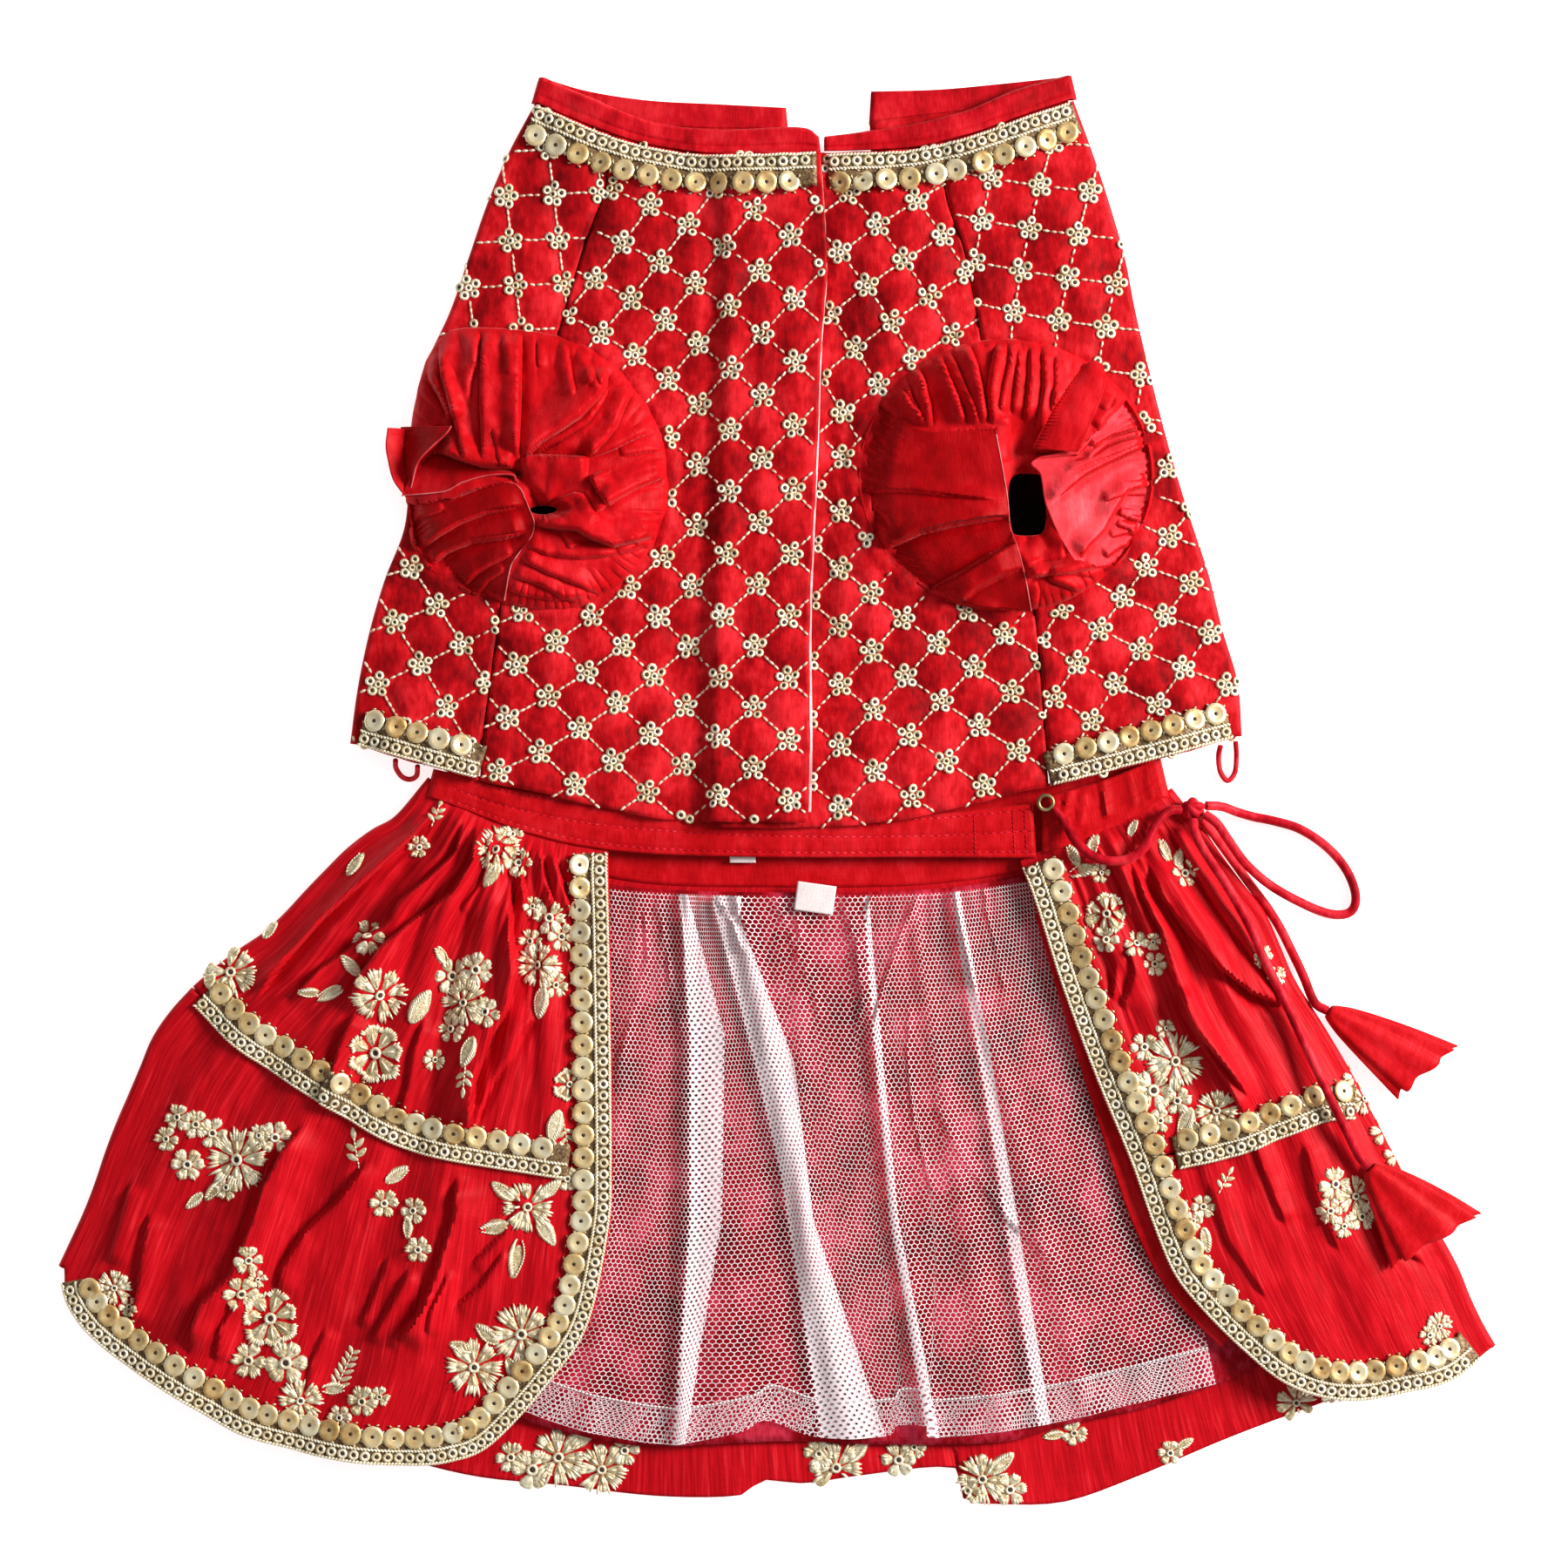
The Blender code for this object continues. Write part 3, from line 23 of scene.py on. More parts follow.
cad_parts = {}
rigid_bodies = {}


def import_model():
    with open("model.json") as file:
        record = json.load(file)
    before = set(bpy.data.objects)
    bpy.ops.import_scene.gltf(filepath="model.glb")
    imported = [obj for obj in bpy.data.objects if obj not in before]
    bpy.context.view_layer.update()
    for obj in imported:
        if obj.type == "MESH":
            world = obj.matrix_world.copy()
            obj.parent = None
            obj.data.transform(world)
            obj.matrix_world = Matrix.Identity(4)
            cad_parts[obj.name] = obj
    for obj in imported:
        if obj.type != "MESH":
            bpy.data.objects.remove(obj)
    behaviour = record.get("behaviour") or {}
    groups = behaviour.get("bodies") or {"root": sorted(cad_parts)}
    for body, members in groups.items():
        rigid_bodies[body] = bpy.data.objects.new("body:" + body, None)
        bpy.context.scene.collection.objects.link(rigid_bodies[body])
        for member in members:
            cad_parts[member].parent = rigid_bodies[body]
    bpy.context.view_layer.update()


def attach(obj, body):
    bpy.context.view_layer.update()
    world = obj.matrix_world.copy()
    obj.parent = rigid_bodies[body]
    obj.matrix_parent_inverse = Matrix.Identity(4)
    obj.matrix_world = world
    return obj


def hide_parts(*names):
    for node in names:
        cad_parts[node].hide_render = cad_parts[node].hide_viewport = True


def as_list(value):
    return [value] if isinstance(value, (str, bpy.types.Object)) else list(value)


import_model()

log = logging.getLogger("lehenga")

MM = 0.001
Colour = tuple[float, float, float]
Points = Sequence[tuple[float, ...]]

# Cloth walls and the gaps between them
CLOTH = 1.2
CHOLI_CLOTH = 1.4
NET = 1.0
BAND = 1.8
SEAM_GAP = 0.4
LAYER_GAP = 0.5
END_GAP = 0.35
# Half the height of the garment where it turns under at each side
CHOLI_FOLD = 1.8
BINDING_FOLD = 0.9
SKIRT_FOLD = 1.9
BAND_FOLD = 2.6

CORD_RADIUS = 1.3
LOOP_RADIUS = 0.6

# The choli's outline, from the neck down to the hem
CHOLI_LEFT = [(-67, 190), (-72.5, 180), (-81, 160), (-89, 136), (-94, 125), (-99, 112), (-101.5, 98),
              (-102, 80), (-105, 64), (-109.5, 56), (-114, 38), (-117, 22), (-118, 13)]
CHOLI_RIGHT = [(82, 191), (86, 180), (95, 152), (100, 128), (104, 112), (108, 96), (114, 76), (119, 61),
               (123, 45), (128, 27), (128.5, 15)]
# Seams between the belly panels and the back, which comes round each side to meet them
SEAM_LEFT = [(-46, 181), (-48, 164), (-54, 148), (-60, 127), (-70, 88), (-76, 52), (-80, 23), (-82, 3)]
SEAM_RIGHT = [(46, 179), (47, 162), (53, 145), (56, 125), (64, 88), (71, 50), (73.5, 20), (75, 1)]
PLACKET = [(12, 176), (13.5, 145), (12, 121), (11, 93), (9, 50), (9, 14), (8.5, -8.5)]
UNDERLAP = 25.0
# Where the panels meet the neck binding, and the binding's own free edge
NECK_SEAM_LEFT = [(-67, 190), (-54, 184), (-46, 181), (-35.5, 178), (-17, 175.5), (12, 176)]
NECK_SEAM_RIGHT = [(12, 176), (35.5, 177), (46, 179), (52.5, 180.5), (69.5, 186.5), (82, 191)]
NECK_EDGE_LEFT = [(-65, 197), (-52, 191.5), (-35.5, 185), (-17, 182.5), (6, 183), (11.5, 180.5)]
NECK_EDGE_RIGHT = [(13, 180.5), (24, 182), (37, 184), (52.5, 187.8), (66, 193.5), (80.5, 197.5)]
BACK_NECK_SEAM = [(-67, 190), (-50, 186.5), (-35, 184), (-17, 183), (12, 183.5), (44, 187), (61, 188.5),
                  (82, 191)]
BACK_NECK_EDGE_LEFT = [(-65, 197), (-52, 193.5), (-35.5, 191), (-17, 190), (2.5, 189)]
BACK_NECK_EDGE_RIGHT = [(26, 193.5), (44, 194), (61, 195.5), (80.5, 197.5)]
NOTCH = {"left": 3.5, "right": 25.0, "bottom": 168.0}
# Hems of the choli
HEM_LEFT = [(-82, 3), (-61, -1.5), (-43, -5.5), (-27, -8), (8.5, -8.5)]
HEM_RIGHT = [(-16, -10), (9.5, -10), (29.5, -8.5), (46, -5.5), (66, -0.5), (75, 1)]
HEM_SIDE_LEFT = [(-118, 13), (-100, 8), (-82, 3)]
HEM_SIDE_RIGHT = [(128.5, 15), (102, 8), (75, 1)]
HEM_BACK = [(-118, 13), (-90, 10), (-50, 4), (10, 1.5), (60, 4), (100, 12.5), (128.5, 15)]
# Armholes, in the plane of the belly panels: middle and half sizes
ARMHOLES = {
    "left": {"x": -64.5, "y": 88.0, "half_x": 34.5, "half_y": 38.0},
    "right": {"x": 63.0, "y": 87.0, "half_x": 41.0, "half_y": 37.5},
}
# How far the trellis keeps away from an armhole
ARMHOLE_MARGIN = 0.7
SLEEVE_PUFF = 4.5

# The skirt's outline at its folded sides, from the waist seam down
SKIRT_LEFT = [(-98, -2.4), (-115.5, -13), (-128.5, -25.5), (-140, -37.5), (-150, -44.5), (-161.5, -54),
              (-171.5, -66), (-176.5, -77.5), (-184, -95), (-190.5, -113.5), (-198.5, -131)]
SKIRT_RIGHT = [(109, -2.9), (116, -8), (125.5, -21.5), (135.5, -34.5), (142, -50), (150, -63), (158, -76.5),
               (163, -86), (169, -97.5), (175, -109), (187, -129), (193, -143), (198.5, -153)]
# Front edges of the two fronts
YOKE_FRONT_LEFT = [(-46.5, -17), (-46, -36), (-45.5, -67), (-45.2, -104)]
YOKE_FRONT_RIGHT = [(67, -20.5), (71, -31.5), (77, -50.5), (82.5, -66), (88.5, -81.5), (97, -102)]
FLOUNCE_FRONT_LEFT = [(-45.2, -104), (-46, -120), (-51.5, -146), (-61, -161)]
FLOUNCE_FRONT_RIGHT = [(97, -102), (103, -119), (109, -133), (117, -143), (127, -153)]
# Seam of the waistband, the seam between yoke and flounce, and the hems
WAIST_LEFT = [(-98, -2), (-88, -5.5), (-76.5, -9.5), (-65.5, -13), (-46.5, -17)]
WAIST_RIGHT = [(109, -2.5), (98, -9.5), (83.5, -14.5), (67, -20.5)]
WAIST_BACK = [(-98, -2), (-70, -17), (-40, -25.5), (0, -27), (45, -26), (80, -19), (109, -2.5)]
TIER_LEFT = [(-161.5, -54), (-150, -65), (-138, -73), (-125, -81), (-106, -92), (-88, -97), (-45.2, -104)]
TIER_RIGHT = [(163, -86), (152, -86), (139, -90.5), (124, -96), (97, -102)]
TIER_BACK = [(-161.5, -54), (-120, -90), (-60, -108), (0, -112), (60, -110), (120, -100), (163, -86)]
FRONT_HEM_LEFT = [(-198.5, -131), (-195.5, -142), (-186, -153), (-168, -165), (-149.5, -176),
                  (-135.5, -180.5), (-122, -183.5), (-103.5, -185.5), (-90, -184.5), (-78, -179.5),
                  (-61, -161)]
FRONT_HEM_RIGHT = [(198.5, -153), (186, -162), (172, -165.5), (161, -167.5), (149, -166.5), (138, -162),
                   (127, -153)]
BACK_HEM = [(-198.5, -131), (-186, -149), (-150, -172), (-110, -183), (-84, -189.5), (-60, -192),
            (-33, -195), (-9, -194.5), (-5.5, -190.5), (8, -191.5), (22, -189.5), (49, -187), (51.5, -195.5),
            (62, -197), (80, -196.5), (100, -189.5), (126, -178.5), (157, -167), (184, -158), (198.5, -153)]
LINING_HEM = [(-84, -170), (-60, -176.5), (-48, -179.5), (-33, -181), (0, -179.5), (30, -180.5),
              (62, -179.5), (80, -175), (103, -170), (126, -162), (140, -155)]
NET_HEM = [(-80, -167), (-60, -174.5), (-46, -178), (-29, -180), (-10, -176.5), (-3, -173.5), (11, -178),
           (30, -177.8), (33, -175), (41, -175), (44, -178), (74, -174.5), (98, -169), (121, -163.5)]
NET_LEFT = [(-58, -24.5), (-57, -60), (-57, -110), (-66, -140), (-80, -167)]
NET_RIGHT = [(72, -24.5), (92, -60), (107, -100), (117, -145), (121, -163.5)]
NET_TOP = [(-58, -24.5), (-40, -27.6), (0, -29), (45, -28), (72, -24.5)]
LINING_LEFT = [(-64, -22), (-62, -70), (-62, -110), (-70, -140), (-84, -170)]
LINING_RIGHT = [(80, -21.5), (100, -70), (118, -110), (132, -140), (140, -155)]
LINING_TOP = [(-64, -22), (-40, -26.6), (0, -28), (45, -27), (80, -21.5)]
# The red lining's front edge, which shows beside the right border
LINING_EDGE_OUT = [(71, -34), (78, -58), (84.5, -79), (91, -99), (97, -117), (104, -132), (112, -143),
                   (122, -153)]
LINING_EDGE_IN = [(79, -30), (88, -58), (94.5, -79), (101, -99), (108, -116), (116, -129), (124, -139),
                  (131, -146)]
# The waistband: its free end crosses from the left front to the right front
BAND_TOP_FRONT = [(70.5, -3.5), (40, -6.5), (0, -6.5), (-40, -3.5), (-70, 0), (-95, 5.5)]
BAND_BOTTOM_FRONT = [(71.5, -18.5), (40, -18.3), (0, -18.3), (-40, -17), (-65.5, -12.5), (-97, -2)]
BAND_TOP_BACK = [(-95, 5.5), (-50, 0), (10, -3), (60, -0.5), (106, 8.5)]
BAND_BOTTOM_BACK = [(-97, -2), (-70, -16.5), (-40, -25), (0, -26.5), (45, -25.5), (80, -18.5), (108.5, -2)]
BAND_TOP_RIGHT = [(106, 8.5), (90, 3), (73, -2)]
BAND_BOTTOM_RIGHT = [(108.5, -2), (98, -9), (84, -14), (73, -17.5)]

# Folds of each front, as ridges from the waist (0) over the seam to the hem: places are shares of the
# width, from the folded side (0) to the front edge (1), and heights and widths are in millimetres
FOLDS = {
    "left": [
        {"waist": 0.10, "seam": 0.14, "hem": 0.10, "height": 2.4, "width": 5.0, "fade": 0.7},
        {"waist": 0.22, "seam": 0.33, "hem": 0.27, "height": 3.4, "width": 6.0, "fade": 0.8},
        {"waist": 0.34, "seam": 0.50, "hem": 0.43, "height": 3.0, "width": 5.5, "fade": 0.5},
        {"waist": 0.48, "seam": 0.66, "hem": 0.60, "height": 3.8, "width": 6.0, "fade": 0.9},
        {"waist": 0.60, "seam": 0.77, "hem": 0.74, "height": 2.4, "width": 4.5, "fade": 0.5},
        {"waist": 0.74, "seam": 0.86, "hem": 0.86, "height": 2.0, "width": 4.0, "fade": 0.2},
    ],
    "right": [
        {"waist": 0.10, "seam": 0.12, "hem": 0.15, "height": 2.2, "width": 4.5, "fade": 0.3},
        {"waist": 0.28, "seam": 0.30, "hem": 0.35, "height": 3.0, "width": 5.0, "fade": 0.3},
        {"waist": 0.46, "seam": 0.50, "hem": 0.55, "height": 3.2, "width": 5.0, "fade": 0.4},
        {"waist": 0.64, "seam": 0.68, "hem": 0.72, "height": 2.4, "width": 4.5, "fade": 0.3},
        {"waist": 0.80, "seam": 0.84, "hem": 0.86, "height": 1.6, "width": 4.0, "fade": 0.2},
    ],
}
# Folds of the net, from its gathered top to its hem
NET_FOLDS = [
    {"top": -38, "hem": -52, "height": 1.2, "width": 4.0},
    {"top": -25, "hem": -27, "height": 2.2, "width": 4.5},
    {"top": -11, "hem": 20, "height": 2.8, "width": 6.0}, {"top": 6, "hem": 8, "height": 1.0, "width": 4.0},
    {"top": 20, "hem": 42, "height": 2.4, "width": 5.0}, {"top": 36, "hem": 62, "height": 1.4, "width": 5.0},
    {"top": 48, "hem": 86, "height": 1.8, "width": 4.5},
]
# Waves of the skirt's back: the hem drops from one to the next at the two steps of its outline
BACK_WAVES = [{"x": -14, "height": 1.2, "width": 26}, {"x": 58, "height": 1.5, "width": 28}]

# The tie: it leaves the eyelet, dips over the band, meets its knot at the side and loops out once
EYELET = {"x": 74.0, "y": -3.2, "z": 6.1, "ring": 2.0, "wire": 0.55}
KNOT = {"x": 114.5, "y": -5.0, "z": 6.5, "radius": 3.4}
# The directions in which cords leave the knot, in degrees
KNOT_EXITS = {
    "loop_out": {"heading": 15, "rise": -5}, "loop_back": {"heading": -25, "rise": 32},
    "tail_long": {"heading": -95, "rise": 35}, "tail_short": {"heading": -50, "rise": -25},
    "dip": {"heading": 184, "rise": 18},
}
# Each route stops short of the knot and the tassels, and build_tie adds the ends that meet them
CORD_DIP = [(76.3, -5.0, 6.9), (79.0, -8.5, 7.4), (82.5, -14.5, 10.0), (88, -18.5, 10.9), (95, -19, 11.0),
            (100.5, -15.5, 11.2), (104, -9, 9.8), (107.5, -5.5, 8.6)]
CORD_LOOP = [(122.6, -4.3, 4.4), (127, -5.8, 2.6), (132, -7.2, 1.5), (137, -8.2, 1.4), (144.5, -10.5, 1.4),
             (152, -15.5, 1.4), (157.5, -22, 1.4), (160, -29, 1.4), (158.5, -33.5, 1.4), (153, -34, 1.5),
             (145, -31, 2.8), (136, -26, 4.6), (129, -20, 6.0), (124, -13.4, 8.0), (120.6, -8.8, 9.2)]
CORD_TAIL_LONG = [(114.6, -11.5, 10.4), (117.2, -16.8, 11.2), (122.6, -25, 11.2), (129, -36, 10.6),
                  (134, -47, 9.8), (139.5, -58, 9.4), (145, -70, 9.9), (150.5, -82, 11.4), (155, -91, 11.0)]
CORD_TAIL_SHORT = [(119.6, -10.8, 3.0), (122.6, -14.6, 1.7), (126, -19.2, 1.4), (129.9, -24.6, 1.4),
                   (134.6, -31, 1.4), (138.9, -37.6, 1.4), (142.6, -45, 1.4), (145.4, -51, 1.7)]
# Tassels, as cloth bells: the narrow end, the direction on the surface, the length and the mouth
TASSELS = {
    "long": {"x": 162.6, "y": -103.4, "z": 9.6, "heading": -48.0, "pitch": -1.5, "length": 27.0,
             "neck": 2.0, "mouth": 14.0, "thick": 3.2},
    "short": {"x": 152.2, "y": -60.8, "z": 3.2, "heading": -32.0, "pitch": 0.0, "length": 32.0,
              "neck": 2.0, "mouth": 10.5, "thick": 2.9},
}
# Cord loops on the choli's hem: the x of both roots, and the route between them
HEM_LOOPS = {
    "left": {"roots": (-105.0, -98.9), "route": [(-105.2, 6.4, 3.0), (-103.8, 4.0, 1.2), (-101.6, 3.2, 0.9),
                                                 (-99.6, 4.2, 2.2)]},
    "right": {"roots": (122.4, 126.6), "route": [(122.0, 9.6, 1.8), (122.6, 5.4, 0.8), (124.6, 2.8, 0.8),
                                                 (126.6, 5.0, 0.8), (127.0, 9.6, 1.4)]},
}
TAG = {"x": 10.5, "y": -30.5, "width": 11.5, "length": 9.0, "thick": 0.5, "turn": -8.0}
WAIST_TAPE = {"x": -9.5, "y": -19.8, "width": 8.0, "length": 2.6}
# Gathers of the net under the waist, and creases of the band's right end
NET_CREASES = [
    {"line": [(-37.2, -29.5), (-36.5, -46.9), (-41.6, -65.9), (-45.2, -78.9)], "rise": 0.8, "width": 2},
    {"line": [(-33.6, -29.5), (-31.4, -41.1), (-29.2, -55.7), (-26.3, -68.8)], "rise": 0.8, "width": 1.8},
    {"line": [(-18.3, -26.6), (-12.5, -36.8), (-9.6, -45.5)], "rise": 1, "width": 1.6},
    {"line": [(-12.5, -26.6), (-10.3, -35.3), (-6.7, -41.1)], "rise": 0.8, "width": 1.4},
    {"line": [(-3.8, -25.1), (2.1, -36.8), (7.9, -51.3), (10.8, -62.9)], "rise": 1, "width": 1.6},
    {"line": [(3.5, -31.7), (9.3, -51.3), (12.2, -64.4)], "rise": 0.8, "width": 1.6},
    {"line": [(16.6, -28), (21, -41.1), (23.1, -55.7), (21, -70.2)], "rise": 1, "width": 1.6},
    {"line": [(39.9, -25.1), (34.1, -38.2), (28.2, -55.7), (26.1, -65.9)], "rise": 1.1, "width": 1.6},
    {"line": [(26.8, -24.4), (24.6, -32.4), (23.1, -42.6)], "rise": 0.8, "width": 1.4},
    {"line": [(36.2, -55.7), (35.5, -73.1), (37, -89.1), (42.8, -112.4)], "rise": 0.7, "width": 1.8},
    {"line": [(47.9, -22.2), (50.1, -36.8), (54.4, -55.7)], "rise": 0.9, "width": 1.6},
    {"line": [(55.9, -22.2), (58.1, -36.8), (61.7, -51.3), (63.1, -61.5)], "rise": 0.8, "width": 1.4},
    {"line": [(-27.8, -28), (-26.7, -36.8), (-25.9, -48.4)], "rise": 0.8, "width": 1.4},
    {"line": [(9.3, -25.1), (10.8, -36.8), (12.2, -49.9)], "rise": 0.8, "width": 1.3},
    {"line": [(41.3, -83.3), (50.1, -100.8), (63.1, -118.2), (79.1, -132.8)], "rise": 0.7, "width": 3},
]
BAND_CREASES = [
    {"line": [(79.9, 1.9), (77.5, -12.5)], "rise": 0.9, "width": 3},
    {"line": [(84.5, 1.7), (82.6, -10)], "rise": 0.7, "width": 2.2},
    {"line": [(88.3, 4), (90.7, -8)], "rise": 0.9, "width": 3},
    {"line": [(95.5, 5.5), (97.9, -5)], "rise": 0.8, "width": 2.6},
    {"line": [(101, 7), (103, -3)], "rise": 0.6, "width": 2},
]


# The trellis of the choli, zone by zone: each row is the power of the step to the right and down, the power
# of the step to the left and down, and what the two give in x and y
TRELLIS = {
    "belly_left": [(0, 0, -6.15, 39.66), (0, 1, -9.43, -8.34), (0, 2, -0.016, 0.025), (0, 3, -0.016, 0.025),
                   (1, 0, 8.9, -8.64), (1, 1, -0.057, 0.222), (1, 2, 0.034, -0.059), (2, 0, 0.186, -0.143),
                   (2, 1, -0.009, 0.0475), (3, 0, 0.0186, -0.0028)],
    "belly_right": [(0, 0, 17.44, 61.39), (0, 1, -8.42, -8.83), (0, 2, -0.099, -0.1), (1, 0, 8.23, -6.91),
                    (1, 1, -0.075, -0.103), (2, 0, 0.232, 0.017)],
    "belly_right_top": [(0, 0, 24.74, 139.21), (0, 1, -10.22, -7.34), (0, 2, 0.149, -0.2),
                        (1, 0, 7.09, -9.58),
                        (1, 1, 0.015, 0.2), (2, 0, -0.25, -0.236)],
    "upper_left": [(0, 0, -73.4, 151.68), (0, 1, 1.365, -12.3), (1, 0, 13.1, 0.647)],
    "lower_left": [(0, 0, -98.27, 34.93), (0, 1, 7.17, -11.7), (0, 2, -0.015, -0.1), (1, 0, 11.56, 5.5),
                   (1, 1, -0.3, 0.9), (2, 0, -0.2, 0.0)],
    "upper_right": [(0, 0, 69.6, 155.08), (0, 1, -2.64, -11.71), (0, 2, 0.25, 0.1), (1, 0, 13.21, -2.05),
                    (1, 1, -0.4, -0.3), (2, 0, 0.1, 0.3)],
    "lower_right": [(0, 0, 100.24, 38.96), (0, 1, -6.83, -9.49), (0, 2, 0.018, -0.165), (1, 0, 11.54, -5.32),
                    (1, 1, -0.5, -0.43), (2, 0, 0.3, 0.2)],
    "underside": [(0, 0, 0.0, 90.0), (0, 1, -9.7, -8.6), (1, 0, 9.7, -8.6)],
}
# Embroidered motifs: kind, x, y, size across and turn in degrees
LEFT_MOTIFS = [
    ("blossom", -112.3, -40.1, 8.2, 0), ("leaf", -117.1, -48, 6.2, 130),
    ("leaf", -122.9, -55.7, 7.2, 200), ("daisy", -109, -55.9, 13, 10), ("lily", -110.2, -72, 14.4, 0),
    ("leaf", -97.9, -59, 8.6, 60), ("blossom", -89.3, -50.9, 8.6, 0), ("blossom", -82.6, -49, 8.2, 20),
    ("daisy", -85.9, -58.1, 10.6, 0), ("blossom", -79.7, -60.5, 7.2, 40),
    ("blossom", -89.3, -65.3, 6.7, 0), ("leaf", -84.5, -71.3, 7.2, 250),
    ("spray", -85.4, -77.8, 7.2, 265), ("leaf", -92.2, -45.1, 5.3, 120),
    ("blossom", -94.1, -73.7, 5.3, 0), ("spray", -94.1, -7, 6.2, 70), ("blossom", -98.6, -15.4, 5.3, 0),
    ("leaf", -116.2, -20.2, 6.2, 60), ("leaf", -139.9, -38.4, 4.8, 50), ("daisy", -150.7, -49.9, 13, 0),
    ("leaf", -156.5, -50.9, 6.2, 100), ("daisy", -76.8, -16.1, 11, 0), ("blossom", -71, -19.7, 6.7, 0),
    ("leaf", -78.2, -23, 6.2, 240), ("blossom", -73, -12, 5.3, 0), ("blossom", -62.6, -34.8, 7.7, 0),
    ("blossom", -59.3, -40.1, 6.7, 0), ("daisy", -65.5, -47.8, 10.6, 20),
    ("blossom", -61, -53.3, 6.2, 0), ("blossom", -67.7, -41.3, 5.8, 0), ("leaf", -64.8, -58.1, 7.2, 260),
    ("blossom", -67.2, -31.7, 4.8, 0), ("lily", -57.1, -80.6, 8.2, 0), ("leaf", -61, -92.2, 7.7, 255),
    ("spray", -58.1, -94.1, 5.8, 280), ("blossom", -164.9, -89.8, 6.2, 0),
    ("blossom", -168, -95.8, 5.8, 0), ("blossom", -159.8, -91.7, 6.7, 0),
    ("blossom", -162.2, -102.7, 7.7, 0), ("blossom", -155.3, -94.1, 7.2, 0),
    ("daisy", -148.3, -101.3, 14.9, 0), ("blossom", -137.8, -95, 7.7, 0),
    ("blossom", -142.1, -94.6, 5.3, 0), ("leaf", -155, -109.9, 5.8, 230),
    ("leaf", -160.3, -112.8, 5.3, 220), ("blossom", -151.2, -109, 5.8, 0),
    ("spray", -115.4, -99.6, 8.6, 100), ("leaf", -104.4, -105.4, 6.7, 30),
    ("blossom", -108, -113.3, 6.7, 0), ("blossom", -99.8, -115.2, 6.2, 0),
    ("blossom", -98.4, -125.8, 6.2, 0), ("leaf", -101.3, -120, 4.8, 270),
    ("daisy", -68.6, -114.2, 12, 0), ("leaf", -75.4, -109.9, 6.2, 140), ("leaf", -62.4, -109.4, 6.2, 40),
    ("leaf", -77.8, -119.8, 7.2, 190), ("leaf", -71.8, -128.2, 9.6, 262),
    ("leaf", -63.4, -121, 7.2, 300), ("blossom", -144.7, -128.4, 6.7, 0),
    ("blossom", -146.9, -137.8, 8.2, 0), ("blossom", -142.6, -133.9, 4.3, 0),
    ("lily", -139.2, -145, 14.4, 20), ("blossom", -145.2, -156.5, 8.2, 0),
    ("blossom", -134.9, -157, 10.1, 0), ("daisy", -131, -167.5, 10.6, 0),
    ("fern", -119, -159.4, 12.5, 65), ("leaf", -121.9, -164.2, 6.2, 0),
    ("blossom", -113.8, -167.5, 7.2, 0), ("blossom", -109, -166.1, 4.8, 0),
    ("blossom", -120, -172.1, 5.8, 0), ("daisy", -83.3, -158.4, 13.4, 0),
    ("daisy", -70.3, -149.3, 14.4, 0), ("leaf", -79.7, -149.3, 6.7, 140),
    ("leaf", -72.5, -159.4, 6.7, 300), ("blossom", -77.3, -167, 5.8, 0),
    ("blossom", -65.8, -157, 5.8, 0), ("leaf", -86.9, -152.9, 5.8, 160),
    ("daisy", -182.4, -136.8, 8.2, 0), ("blossom", -178.6, -142.1, 4.8, 0),
    ("blossom", -57.6, -106.6, 5.8, 0), ("blossom", -60.5, -98.9, 4.8, 0),
    ("leaf", -128.6, -55.2, 4.8, 180),
]
